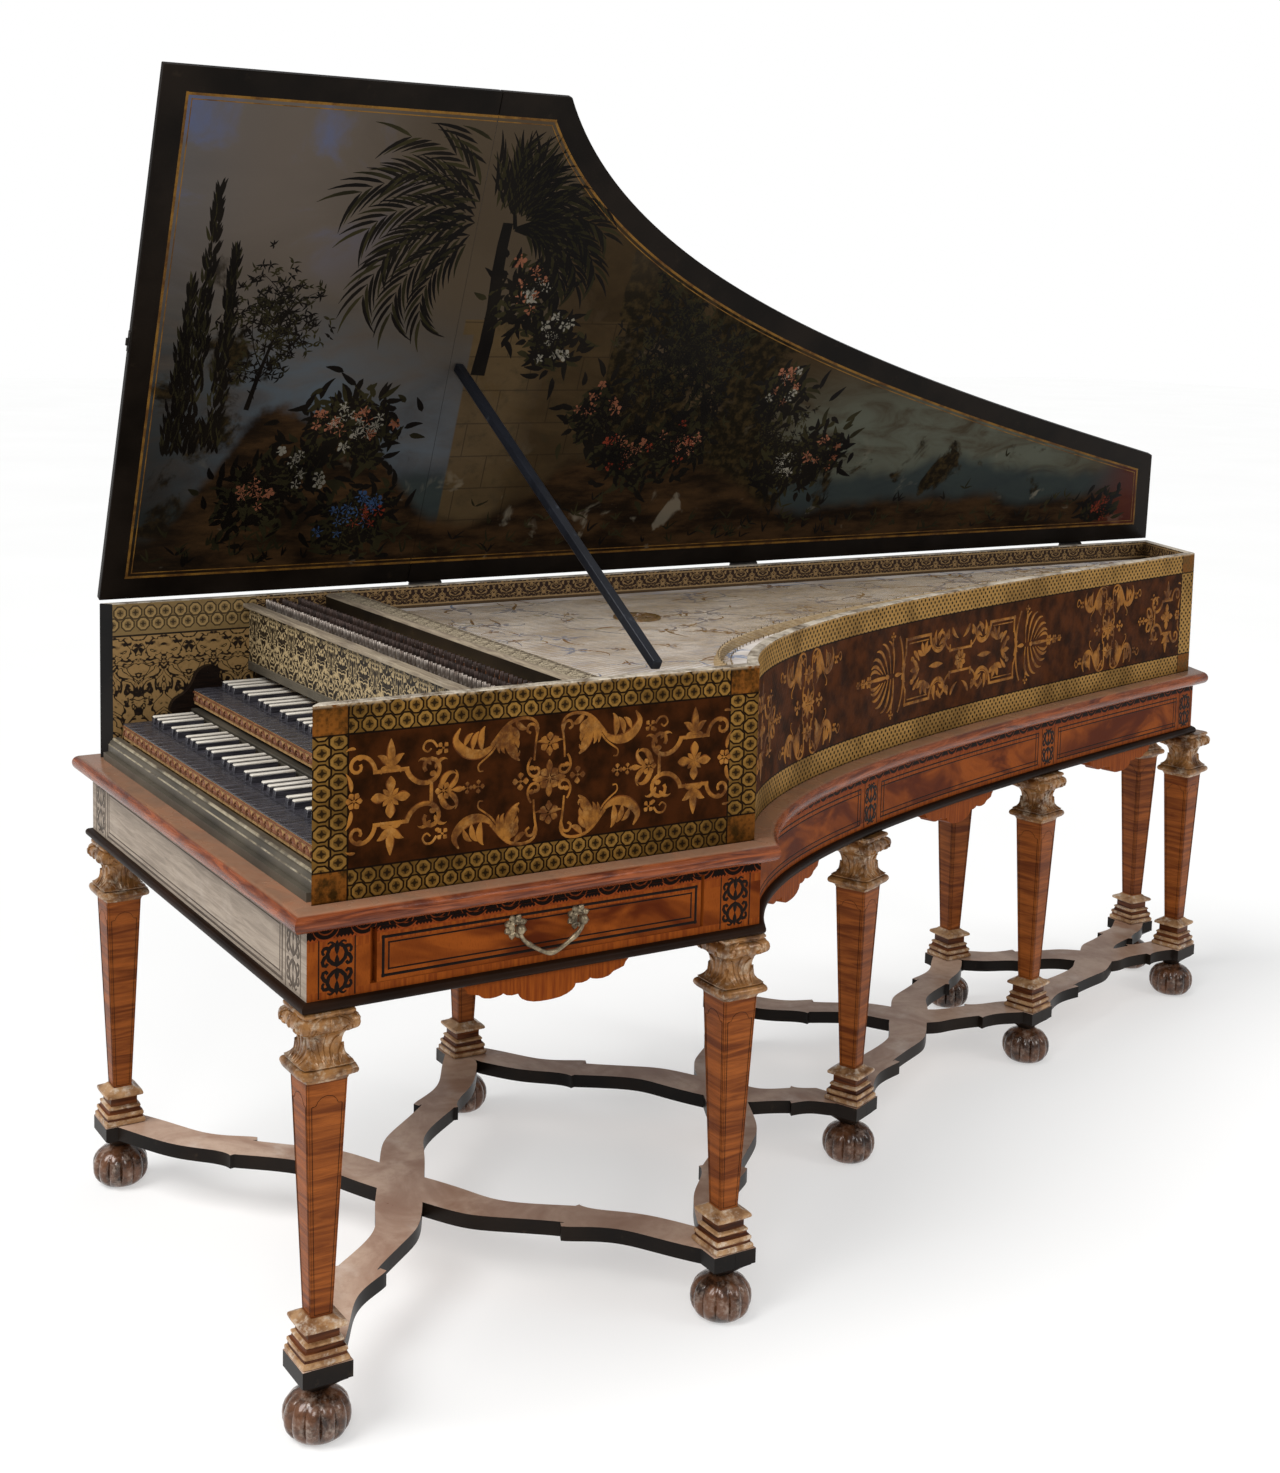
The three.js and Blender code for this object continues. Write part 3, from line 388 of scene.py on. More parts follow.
def chamfered_boxes(low: np.ndarray, high: np.ndarray, cut: float, slot: int = 0) -> Skin:
    """Many boxes with cut edges, all at once.

    Every corner of a box has three points, one on each of its faces, drawn in from the
    edges by the cut. The faces, edge strips and corner triangles join them.

    Args:
        low: n×3 lowest corners.
        high: n×3 highest corners.
        cut: width of the cut edges.
        slot: finish of all the faces.

    Returns:
        The boxes.
    """
    signs = np.array([[x, y, z] for x in (-1, 1) for y in (-1, 1) for z in (-1, 1)])
    place = {tuple(sign): index * 3 for index, sign in enumerate(signs)}
    unit = np.repeat(signs, 3, axis=0).astype(float)
    inset = np.where(np.tile(np.eye(3), (8, 1)) > 0, 0.0, 1.0) * unit
    half = (high - low) / 2
    points = (low + high)[:, None] / 2 + unit[None] * half[:, None] - cut * inset[None]
    faces = []
    for axis in range(3):
        one, two = [(axis + 1) % 3, (axis + 2) % 3]
        for sign in (-1, 1):
            ring = []
            for first, second in ((-1, -1), (1, -1), (1, 1), (-1, 1)):
                corner = [0, 0, 0]
                corner[axis], corner[one], corner[two] = sign, first, second
                ring.append(place[tuple(corner)] + axis)
            faces.append(ring)
            for other in (-1, 1):
                strip = []
                for end, owner in ((-1, one), (-1, two), (1, two), (1, one)):
                    corner = [0, 0, 0]
                    corner[axis], corner[one], corner[two] = end, sign, other
                    strip.append(place[tuple(corner)] + owner)
                faces.append(strip)
    faces += [[index * 3, index * 3 + 1, index * 3 + 2] for index in range(8)]
    corners = np.concatenate([np.array(ring) for ring in faces])
    sizes = np.array([len(ring) for ring in faces])
    count = len(points)
    shifted = (corners[None] + 24 * np.arange(count)[:, None]).reshape(-1)
    flat = points.reshape(-1, 3)
    chosen = flat[shifted]
    uv = np.column_stack([chosen[:, 0] + chosen[:, 2], chosen[:, 1] + chosen[:, 2]])
    return Skin(flat, shifted, np.tile(sizes, count), uv, np.full(len(sizes) * count, slot))


def rods(starts: np.ndarray, ends: np.ndarray, radius: Union[float, np.ndarray], sides: int = 6,
         slot: int = 0, profile: Sequence = ((0, 1), (1, 1))) -> Skin:
    """Many straight round rods at once.

    Each rod's rings lie square to its axis, at the profile's shares of its length and with
    the profile's shares of its radius.

    Args:
        starts: n×3 first ends.
        ends: n×3 second ends.
        radius: radius, one for all or one each.
        sides: sides of a ring.
        slot: finish.
        profile: pairs of share along and share of the radius.

    Returns:
        The rods, closed at both ends.
    """
    axis = ends - starts
    length = np.linalg.norm(axis, axis=1, keepdims=True)
    axis = axis / length
    helper = np.where(np.abs(axis[:, 2:]) > 0.9, [[1.0, 0, 0]], [[0, 0, 1.0]])
    one = np.cross(axis, helper)
    one /= np.linalg.norm(one, axis=1, keepdims=True)
    two = np.cross(axis, one)
    angle = np.arange(sides) / sides * TURN
    round_way = one[:, None] * np.cos(angle)[None, :, None] + two[:, None] * np.sin(angle)[None, :, None]
    shape = np.asarray(profile, float)
    size = np.broadcast_to(np.asarray(radius, float).reshape(-1, 1, 1, 1), (len(starts), 1, 1, 1))
    rings = (starts[:, None, None] + (axis * length)[:, None, None] * shape[None, :, :1, None]
             + round_way[:, None] * shape[None, :, 1:, None] * size)
    return bodies(rings, rings[..., :2], slot)


@dataclass
class Strokes:
    """Painted, inlaid or carved strokes, each a line with a half width at every point.

    count is the number of points of each stroke.
    """

    count: int = 14
    lines: list[np.ndarray] = field(default_factory=list)
    halves: list[np.ndarray] = field(default_factory=list)

    def add(self, line: np.ndarray, halves: Union[float, np.ndarray]) -> "Strokes":
        """Adds one stroke, resampled to the set's number of points.

        Args:
            line: n×2 points.
            halves: half width, one for all or several spread along the line.

        Returns:
            The same set.
        """
        share, wanted = np.linspace(0, 1, len(line)), np.linspace(0, 1, self.count)
        given = np.atleast_1d(np.asarray(halves, float))
        widths = np.interp(share, np.linspace(0, 1, len(given)), given)
        self.lines.append(np.column_stack([np.interp(wanted, share, line[:, axis]) for axis in (0, 1)]))
        self.halves.append(np.interp(wanted, share, widths))
        return self

    def polyline(self, points: Sequence, half: float) -> "Strokes":
        """Adds a straight stroke for each side of an open line, with square corners.

        Args:
            points: pairs, from end to end.
            half: half width.

        Returns:
            The same set.
        """
        chain = np.asarray(points, float)
        for start, end in zip(chain[:-1], chain[1:]):
            reach = (end - start) / max(np.linalg.norm(end - start), TINY) * half
            line = np.linspace(start - reach, end + reach, self.count)
            self.add(line, half)
        return self

    def leaf(self, start: Sequence, heading: float, length: float, half: float, bend: float = 0.0,
             wind: float = 0.0, peak: float = 0.35) -> "Strokes":
        """Adds one curling leaf."""
        return self.add(curl(start, heading, length, bend, wind, self.count),
                        swell(half, self.count, peak))

    def flower(self, centre: Sequence, reach: float, petals: int, turn: float = 0.0,
               fat: float = 0.3) -> "Strokes":
        """Adds a rosette of petals and its round eye.

        Args:
            centre: middle, as a pair.
            reach: distance from the middle to the petals' tips.
            petals: number of petals.
            turn: heading of the first petal, in degrees.
            fat: a petal's half width as a share of the reach.

        Returns:
            The same set.
        """
        middle = np.asarray(centre, float)
        for petal in range(petals):
            heading = turn + 360 * petal / petals
            self.leaf(middle + towards(heading) * reach * 0.22, heading, reach * 0.78, reach * fat, peak=0.6)
        return self.dot(middle, reach * 0.2)

    def dot(self, centre: Sequence, radius: float) -> "Strokes":
        """Adds a round dot: a short stroke with half widths along a circle.

        Args:
            centre: middle, as a pair.
            radius: the dot's radius.

        Returns:
            The same set.
        """
        share = np.linspace(-0.985, 0.985, self.count)
        line = np.asarray(centre, float) + np.column_stack([share * radius, np.zeros(self.count)])
        return self.add(line, radius * np.sqrt(1 - share ** 2))

    def mirrored(self, axis: int, middle: float) -> "Strokes":
        """Adds the mirror image of every stroke across a line of one coordinate.

        Args:
            axis: which of the two numbers is mirrored.
            middle: its value on the line of the mirror.

        Returns:
            The same set.
        """
        flipped = []
        for line in self.lines:
            image = line.copy()
            image[:, axis] = 2 * middle - image[:, axis]
            flipped.append(image)
        self.lines += flipped
        self.halves += [half.copy() for half in self.halves]
        return self

    def merged(self, other: "Strokes", shift: Sequence = (0.0, 0.0), scale: float = 1.0) -> "Strokes":
        """Adds another set's strokes, scaled and then shifted.

        Args:
            other: the set to take strokes from.
            shift: a pair added to their points.
            scale: factor of their points and half widths.

        Returns:
            The same set.
        """
        self.lines += [line * scale + np.asarray(shift, float) for line in other.lines]
        self.halves += [half * scale for half in other.halves]
        return self

    def skin(self, face: Callable[[np.ndarray, np.ndarray], np.ndarray], lift: float = LIFT,
             sink: float = 0.0006, slot: int = 0, dome: float = 1.0, thin: bool = False) -> Skin:
        """Closed relief of every stroke on a face.

        The section has five points: both edges sunk below the face, two shoulders at the
        lift and a ridge at the lift times the dome.

        Args:
            face: gives places from pairs on the face and heights above it.
            lift: height of the shoulders above the face.
            sink: depth of the edges below it.
            slot: finish.
            dome: height of the ridge as a share of the lift.
            thin: whether the section has only its edges and its ridge.

        Returns:
            The relief, mapped by its pairs on the face.
        """
        lines, halves = np.stack(self.lines), np.stack(self.halves)
        ahead = np.gradient(lines, axis=1)
        ahead /= np.maximum(np.linalg.norm(ahead, axis=2, keepdims=True), TINY)
        across = np.stack([-ahead[..., 1], ahead[..., 0]], axis=-1)
        shares = np.array([-1, -0.62, 0, 0.62, 1])
        heights = np.array([-sink, lift, lift * dome, lift, -sink])
        if thin:
            shares, heights = shares[::2], heights[::2]
        pairs = lines[:, :, None] + across[:, :, None] * (halves[..., None] * shares)[..., None]
        most = halves.max(axis=1)
        extra = lift * (0.7 * (1 - most / most.max()) + 0.04 * (np.arange(len(most)) % 7))
        raised = np.where(heights > 0, heights + extra[:, None, None], heights)
        places = face(pairs, np.broadcast_to(raised, pairs.shape[:3]))
        return bodies(places, pairs, slot)


def flat_face(axis: int, place: float, way: float = 1.0, centre: Sequence = (0.0, 0.0)) -> Callable:
    """Function from places on a flat face, and heights above it, to points.

    Args:
        axis: axis that the face looks along.
        place: the face's place on that axis.
        way: 1 or -1, the way that it looks.
        centre: where the places count from.

    Returns:
        The function.
    """
    def mapped(pairs: np.ndarray, heights: np.ndarray) -> np.ndarray:
        """Puts the height in its place among the pair's two numbers.

        Args:
            pairs: places on the face.
            heights: a height above it for each.

        Returns:
            The points.
        """
        parts = [pairs[..., 0] + centre[0], pairs[..., 1] + centre[1]]
        parts.insert(axis, place + way * heights)
        return np.stack(parts, axis=-1)
    return mapped


def node_skin(name: str, shrink: float = 0.0) -> Skin:
    """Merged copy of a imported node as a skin, mapped from the side that each face looks to.

    Args:
        name: the node.
        shrink: distance that faces are drawn in, against flicker under a piece laid on them.

    Returns:
        The skin, in the case frame, with coplanar triangles joined.
    """
    work = bmesh.new()
    work.from_mesh(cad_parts[name].data)
    bmesh.ops.remove_doubles(work, verts=work.verts, dist=1e-5)
    bmesh.ops.dissolve_limit(work, angle_limit=math.radians(1), verts=work.verts, edges=work.edges)
    bmesh.ops.recalc_face_normals(work, faces=work.faces)
    if shrink:
        for vertex in work.verts:
            vertex.co -= vertex.normal * shrink
    work.verts.index_update()
    points = np.array([vertex.co[:] for vertex in work.verts]) - PLAN.origin
    rings = [[vertex.index for vertex in face.verts] for face in work.faces]
    normals = np.abs(np.array([face.normal[:] for face in work.faces]))
    work.free()
    corners = np.concatenate([np.array(ring) for ring in rings])
    sizes = np.array([len(ring) for ring in rings])
    facing = np.repeat(np.argmax(normals, axis=1), sizes)
    chosen = points[corners]
    first = np.where(facing == 0, chosen[:, 1], chosen[:, 0])
    second = np.where(facing == 2, chosen[:, 1], chosen[:, 2])
    return Skin(points, corners, sizes, np.column_stack([first, second]), np.zeros(len(sizes), int))


def shown(name: str, data: bpy.types.ID) -> bpy.types.Object:
    """Makes an object and links it to the scene.

    Args:
        name: the object's name.
        data: its mesh, lamp or camera.

    Returns:
        The object.
    """
    thing = bpy.data.objects.new(name, data)
    bpy.context.scene.collection.objects.link(thing)
    return thing


def make_piece(name: str, skin: Skin, finishes: Sequence["Finish"], body: str = "root",
               replaces: Sequence[str] = (), slot: str = "", smooth: float = 35.0,
               bevel: float = 0.0) -> bpy.types.Object:
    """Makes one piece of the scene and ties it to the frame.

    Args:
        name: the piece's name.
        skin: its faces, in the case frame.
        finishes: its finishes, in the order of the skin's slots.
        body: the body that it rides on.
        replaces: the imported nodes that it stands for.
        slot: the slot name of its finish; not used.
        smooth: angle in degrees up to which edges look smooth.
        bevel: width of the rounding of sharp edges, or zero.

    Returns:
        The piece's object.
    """
    mesh = bpy.data.meshes.new(name)
    mesh.vertices.add(len(skin.points))
    mesh.vertices.foreach_set("co", (skin.points + PLAN.origin).astype(np.float32).reshape(-1))
    mesh.loops.add(len(skin.corners))
    mesh.loops.foreach_set("vertex_index", skin.corners.astype(np.int32))
    mesh.polygons.add(len(skin.sizes))
    starts = np.concatenate([[0], np.cumsum(skin.sizes)[:-1]])
    mesh.polygons.foreach_set("loop_start", starts.astype(np.int32))
    mesh.polygons.foreach_set("material_index", skin.slots.astype(np.int32))
    layer = mesh.uv_layers.new(name="face_map")
    layer.data.foreach_set("uv", skin.uv.astype(np.float32).reshape(-1))
    mesh.update(calc_edges=True)
    mesh.validate()
    work = bmesh.new()
    work.from_mesh(mesh)
    bmesh.ops.remove_doubles(work, verts=work.verts, dist=2e-6)
    bmesh.ops.dissolve_degenerate(work, dist=1e-6, edges=work.edges)
    bmesh.ops.recalc_face_normals(work, faces=work.faces)
    work.to_mesh(mesh)
    work.free()
    mesh.polygons.foreach_set("use_smooth", np.ones(len(mesh.polygons), bool))
    mesh.set_sharp_from_angle(angle=math.radians(smooth))
    for finish in finishes:
        mesh.materials.append(finish.material())
    piece = shown(name, mesh)
    if bevel:
        rounding = piece.modifiers.new("rounded_edges", "BEVEL")
        rounding.width = bevel
        rounding.segments = 2
        rounding.limit_method = "ANGLE"
        rounding.angle_limit = math.radians(40)
        rounding.harden_normals = False
    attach(piece, body)
    if replaces:
        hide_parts(*replaces)
    LOG.info("%s: %d faces on %s", name, len(mesh.polygons), body)
    return piece


# Finishes

def operator(kind: str, flipped: bool = False) -> Callable:
    """Makes one of Wire's operators from a Math node's operation.

    Args:
        kind: the operation.
        flipped: whether the other number comes first, as in 1 - mask.

    Returns:
        The operator.
    """
    def apply(self: "Wire", other: "Number") -> "Wire":
        """Adds the Math node."""
        return self.tree.maths(kind, *((other, self) if flipped else (self, other)))
    return apply


class Wire:
    """A number on its way between shader nodes, with the usual arithmetic."""

    def __init__(self, tree: "Tree", socket: bpy.types.NodeSocket) -> None:
        """Wraps one output socket of a tree."""
        self.tree = tree
        self.socket = socket

    __add__ = __radd__ = operator("ADD")
    __sub__, __rsub__ = operator("SUBTRACT"), operator("SUBTRACT", True)
    __mul__ = __rmul__ = operator("MULTIPLY")
    __truediv__, __rtruediv__ = operator("DIVIDE"), operator("DIVIDE", True)
    __mod__, __rmod__ = operator("FLOORED_MODULO"), operator("FLOORED_MODULO", True)
    __lt__, __gt__ = operator("LESS_THAN"), operator("GREATER_THAN")
    least, most = operator("MINIMUM"), operator("MAXIMUM")

    def __abs__(self) -> "Wire":
        """The number without its sign."""
        return self.tree.maths("ABSOLUTE", self)

    def cosine(self) -> "Wire":
        """The cosine of an angle in radians."""
        return self.tree.maths("COSINE", self)

    def step(self, low: float, high: float) -> "Wire":
        """Smooth rise from 0 at low to 1 at high, or a fall where low is the larger.

        Args:
            low: value where the rise starts.
            high: value where it ends.

        Returns:
            The rise as a wire.
        """
        node = self.tree.node("ShaderNodeMapRange", {"interpolation_type": "SMOOTHSTEP"}, {
            0: self, 1: min(low, high), 2: max(low, high),
            3: 0.0 if low < high else 1.0, 4: 1.0 if low < high else 0.0})
        return Wire(self.tree, node.outputs[0])

    def near(self, place: float, half: float, soft: float = 0.0006) -> "Wire":
        """1 within half of a place and 0 beyond, with a soft edge."""
        return abs(self - place).step(half + soft, half)


Number = Union[Wire, float]
Colour = Union[Wire, Sequence[float], str]


class Tree:
    """The nodes of one material."""

    def __init__(self, name: str) -> None:
        """Makes an empty node tree.

        Args:
            name: the material's name.
        """
        self.stuff = bpy.data.materials.new(name)
        self.stuff.use_nodes = True
        self.stuff.node_tree.nodes.clear()

    def node(self, kind: str, settings: dict, sockets: dict) -> bpy.types.Node:
        """Adds a node.

        Args:
            kind: the node's type.
            settings: properties set first.
            sockets: inputs by name or place: a wire is linked, anything else is set.

        Returns:
            The node.
        """
        node = self.stuff.node_tree.nodes.new(kind)
        for name, value in settings.items():
            setattr(node, name, value)
        for key, value in sockets.items():
            socket = node.inputs[key]
            if isinstance(value, Wire):
                self.stuff.node_tree.links.new(value.socket, socket)
            elif isinstance(value, (int, float)):
                socket.default_value = value
            else:
                wide = len(socket.default_value)
                socket.default_value = tuple(value) + (1.0,) * (wide - len(value))
        return node

    def maths(self, operation: str, *values: Number) -> Wire:
        """One Math node."""
        node = self.node("ShaderNodeMath", {"operation": operation}, dict(enumerate(values)))
        return Wire(self, node.outputs[0])

    def mix(self, share: Number, first: Colour, second: Colour) -> Wire:
        """Colour between two colours.

        Args:
            share: share of the second colour.
            first: colour at 0, as a wire, three numbers or a screen colour code.
            second: colour at 1.

        Returns:
            The mixed colour.
        """
        ends = [linear(end) if isinstance(end, str) else end for end in (first, second)]
        node = self.node("ShaderNodeMix", {"data_type": "RGBA"}, {0: share, 6: ends[0], 7: ends[1]})
        return Wire(self, node.outputs[2])

    def place(self) -> Wire:
        """Object coordinates, in metres."""
        return Wire(self, self.node("ShaderNodeTexCoord", {}, {}).outputs["Object"])

    def face_map(self) -> Wire:
        """The piece's own map, in metres."""
        return Wire(self, self.node("ShaderNodeUVMap", {"uv_map": "face_map"}, {}).outputs[0])

    def axes(self, vector: Wire) -> tuple[Wire, Wire, Wire]:
        """A vector's three numbers."""
        node = self.node("ShaderNodeSeparateXYZ", {}, {0: vector})
        return Wire(self, node.outputs[0]), Wire(self, node.outputs[1]), Wire(self, node.outputs[2])

    def vector(self, first: Number, second: Number, third: Number = 0.0) -> Wire:
        """A vector of three numbers."""
        node = self.node("ShaderNodeCombineXYZ", {}, {0: first, 1: second, 2: third})
        return Wire(self, node.outputs[0])

    def stretched(self, vector: Wire, factors: Sequence[float]) -> Wire:
        """A vector times a factor for each axis."""
        node = self.node("ShaderNodeVectorMath", {"operation": "MULTIPLY"}, {0: vector, 1: factors})
        return Wire(self, node.outputs[0])

    def noise(self, vector: Wire, scale: float, detail: float = 3.0, rough: float = 0.55,
              warp: float = 0.0) -> Wire:
        """Fractal noise, from 0 to 1.

        Args:
            vector: place to take it at.
            scale: lumps to the metre.
            detail: number of finer octaves.
            rough: strength of the finer octaves.
            warp: how far the noise pushes its own place.

        Returns:
            The noise as a wire.
        """
        node = self.node("ShaderNodeTexNoise", {}, {
            "Vector": vector, "Scale": scale, "Detail": detail, "Roughness": rough, "Distortion": warp})
        return Wire(self, node.outputs[0])

    def bump(self, height: Wire, depth: float) -> Wire:
        """A normal raised by a height, with its depth in metres."""
        node = self.node("ShaderNodeBump", {}, {"Strength": 1.0, "Distance": depth, "Height": height})
        return Wire(self, node.outputs[0])

    def finish(self, **sockets: Union[Number, Colour]) -> bpy.types.Material:
        """Closes the tree with its surface, whose sockets are named with _ for a space.

        Args:
            sockets: wires, numbers or colours by socket name.

        Returns:
            The material.
        """
        given = {name.replace("_", " "): value for name, value in sockets.items()}
        surface = self.node("ShaderNodeBsdfPrincipled", {}, given)
        out = self.node("ShaderNodeOutputMaterial", {}, {})
        self.stuff.node_tree.links.new(surface.outputs[0], out.inputs[0])
        return self.stuff


MADE: dict[str, bpy.types.Material] = {}


@dataclass(frozen=True)
class Finish:
    """A finish with a name; each kind builds its own nodes."""

    name: str

    def material(self) -> bpy.types.Material:
        """The finish's material, made once.

        Returns:
            The material.
        """
        if self.name not in MADE:
            MADE[self.name] = self.build(Tree(self.name))
        return MADE[self.name]

    def build(self, tree: Tree) -> bpy.types.Material:
        """Builds the nodes."""
        raise NotImplementedError


class Grain(Enum):
    """Ways that wood's grain can run."""

    ACROSS = (1.0, 14.0, 14.0)
    ALONG = (14.0, 1.0, 14.0)
    UPRIGHT = (14.0, 14.0, 1.0)
    LEVEL = (1.0, 1.0, 14.0)
    MAP_FIRST = (1.0, 12.0, 0.0)


@dataclass(frozen=True)
class Wood(Finish):
    """Grained wood: broad figure, fine streaks and pores, under varnish or bare, with an optional pale band
    above a level that is partly wear and partly a painted highlight.
    """

    dark: str
    light: str
    grain: Grain = Grain.ALONG
    figure: float = 5.0
    streak: float = 0.35
    rough: float = 0.4
    coat: float = 0.3
    # wear is the colour of rubbed spots, and also of the painted highlight above the highlight level.
    wear: str = "b9ab93"
    worn: float = 0.0
    # Level above which the wood turns pale, as wear and a painted highlight along a rounded top; 0 for none.
    wear_and_highlight_level: float = 0.0

    def build(self, tree: Tree) -> bpy.types.Material:
        """Mixes two tones by stretched noise, darkens by streaks, lightens where worn and paints a pale
        highlight, partly wear, above a level.

        Args:
            tree: the material's nodes, empty so far.

        Returns:
            The material.
        """
        vector = tree.face_map() if self.grain is Grain.MAP_FIRST else tree.place()
        lengthwise = tree.stretched(vector, self.grain.value)
        figure = tree.noise(lengthwise, self.figure, 4, 0.6, 1.2)
        streaks = tree.noise(lengthwise, self.figure * 9, 3, 0.6)
        pores = tree.noise(tree.stretched(vector, [max(value * 4, 1.0) for value in self.grain.value]),
                           self.figure * 22, 2, 0.6)
        colour = tree.mix(figure.step(0.3, 0.7), self.dark, self.light)
        colour = tree.mix(streaks.step(0.42, 0.7) * self.streak, colour, self.dark)
        colour = tree.mix(pores.step(0.6, 0.72) * 0.25, colour, [part * 0.4 for part in linear(self.dark)])
        if self.worn:
            rubbed = tree.noise(vector, 9, 5, 0.65).step(0.62 - self.worn * 0.2, 0.8)
            colour = tree.mix(rubbed * self.worn, colour, self.wear)
        # Painted highlight, partly wear: above the level the wood is mixed towards the pale wear colour,
        # standing in for light on the moulding's top.
        if self.wear_and_highlight_level:
            high = tree.axes(tree.place())[2].step(self.wear_and_highlight_level, self.wear_and_highlight_level + 0.0020)
            colour = tree.mix(high * (streaks * 0.4 + 0.45), colour, self.wear)
        height = streaks * 0.6 + pores * 0.4
        return tree.finish(
            Base_Color=colour, Roughness=figure * 0.15 + (self.rough - 0.07),
            Normal=tree.bump(height, 0.0002), Specular_IOR_Level=0.04 + self.coat * 0.5,
            Coat_Weight=self.coat * 0.5, Coat_Roughness=0.16)


@dataclass(frozen=True)
class Painted(Finish):
    """Old paint: a slightly uneven coat with rubbed spots and fine brush marks."""

    base: str
    other: str
    wear: str = "8c7d68"
    worn: float = 0.15
    rough: float = 0.42
    coat: float = 0.05
    gloss: float = 0.12

    def build(self, tree: Tree) -> bpy.types.Material:
        """Mixes two near tones by noise and lightens rubbed spots.

        Args:
            tree: the material's nodes, empty so far.

        Returns:
            The material.
        """
        vector = tree.place()
        cloud = tree.noise(vector, 7, 4)
        marks = tree.noise(tree.stretched(vector, (60, 8, 60)), 6, 3)
        colour = tree.mix(cloud.step(0.3, 0.7), self.base, self.other)
        rubbed = tree.noise(vector, 38, 5, 0.7).step(0.6, 0.78)
        colour = tree.mix(rubbed * self.worn, colour, self.wear)
        return tree.finish(
            Base_Color=colour, Roughness=cloud * 0.2 + (self.rough - 0.1), Specular_IOR_Level=self.gloss,
            Normal=tree.bump(marks * 0.7 + rubbed, 0.00015), Coat_Weight=self.coat, Coat_Roughness=0.2)


@dataclass(frozen=True)
class Gilding(Finish):
    """Worn leaf over a warm ground, with pale dust on its high parts."""

    gold: str = "a8792f"
    deep: str = "5c3a17"
    dust: str = "cdbd9c"
    dusty: float = 0.35
    metal: float = 0.3
    rough: float = 0.42
    coat: float = 0.0

    def build(self, tree: Tree) -> bpy.types.Material:
        """Mixes ground, gold and dust by three noises.

        Args:
            tree: the material's nodes, empty so far.

        Returns:
            The material.
        """
        vector = tree.place()
        worn = tree.noise(vector, 26, 5, 0.65)
        fine = tree.noise(vector, 170, 4, 0.6)
        colour = tree.mix(worn.step(0.35, 0.62), self.deep, self.gold)
        pale = (tree.noise(vector, 55, 5, 0.7) * 0.7 + fine * 0.3).step(0.48, 0.68)
        colour = tree.mix(pale * self.dusty, colour, self.dust)
        return tree.finish(
            Base_Color=colour, Metallic=self.metal, Roughness=worn * 0.25 + (self.rough - 0.12),
            Specular_IOR_Level=0.08 + self.metal * 0.6, Normal=tree.bump(fine + worn, 0.0003),
            Coat_Weight=self.coat, Coat_Roughness=0.14)


@dataclass(frozen=True)
class Metal(Finish):
    """Plain metal with tarnish."""

    bright: str
    tarnish: str
    rough: float = 0.3
    metal: float = 0.85

    def build(self, tree: Tree) -> bpy.types.Material:
        """Mixes bright and tarnished metal by noise.

        Args:
            tree: the material's nodes, empty so far.

        Returns:
            The material.
        """
        vector = tree.place()
        cloud = tree.noise(vector, 60, 5, 0.65)
        fine = tree.noise(vector, 700, 2)
        colour = tree.mix(cloud.step(0.35, 0.7), self.bright, self.tarnish)
        return tree.finish(Base_Color=colour, Metallic=self.metal,
                           Roughness=cloud * 0.3 + (self.rough - 0.1), Normal=tree.bump(fine, 0.00008))


def folded(along: Wire, pitch: float) -> Wire:
    """Distance along from the nearest whole pitch, so that a pattern mirrors and repeats."""
    return abs((along + pitch / 2) % pitch - pitch / 2)


def scrollwork(tree: Tree, along: Number, level: Number, pitch: float, scale: float,
               width: float = 0.05) -> Wire:
    """Curling lines that mirror at each pitch: a noise of the folded place, near its mean.

    Args:
        tree: the material's nodes.
        along: place along the band.
        level: place across it.
        pitch: length of one mirrored pair.
        scale: curls to the metre.
        width: how far from the mean a line still shows.

    Returns:
        1 on the lines and 0 off them.
    """
    vector = tree.vector(folded(along, pitch), level, 0.37)
    curls = tree.noise(vector, scale, 1.5, 0.5, 2.2)
    lines = abs(curls - 0.5).step(width, width * 0.45)
    blots = tree.noise(vector, scale * 1.7, 1, 0.5, 1.0).step(0.63, 0.68)
    return lines.most(blots)


def diaper(along: Wire, across: Wire, pitch: float = 0.0255,
           rows: tuple[float, float] = (0.0105, 0.0295)) -> tuple[Wire, Wire]:
    """Two offset rows of eight-sided rings with a four-petalled flower in each.

    Args:
        along: distance along the band.
        across: distance across the band from its outer edge.
        pitch: distance from ring to ring.
        rows: middle of each row.

    Returns:
        How gold and how dark the place is, each from 0 to 1.
    """
    reach = []
    for row, shift in ((rows[0], 0.0), (rows[1], pitch / 2)):
        one = abs((along + shift) % pitch - pitch / 2)
        two = abs(across - row)
        reach.append((one, two, one.most(two).most((one + two) * 0.72)))
    first, second = reach
    near = first[2] < second[2]
    radius = first[2].least(second[2])
    one = first[0] * near + second[0] * (1 - near)
    two = first[1] * near + second[1] * (1 - near)
    ring = radius.near(0.0074, 0.0014, 0.0008)
    cell = radius.step(0.0098, 0.0090) * 0.45
    outside = radius.step(0.0112, 0.0120) * 0.6
    petals = (one * two).step(0.0000050, 0.0000020) * radius.step(0.0056, 0.0048)
    groove = radius.near(0.0104, 0.0006, 0.0006)
    return ring.most(cell).most(outside), petals.most(groove)


def lattice(along: Wire, across: Wire, pitch: float = 0.0133) -> tuple[Wire, Wire]:
    """Rows of dark spots set lozengewise on gold, as how gold and how dark the place is.

    Args:
        along: place along the band.
        across: place across it.
        pitch: distance from one spot to the next.

    Returns:
        How gold and how dark the place is, each from 0 to 1.
    """
    turns = TURN / pitch
    waves = (along * turns).cosine() * (across * turns).cosine()
    return waves.step(0.55, 0.15), waves.step(0.28, 0.62)


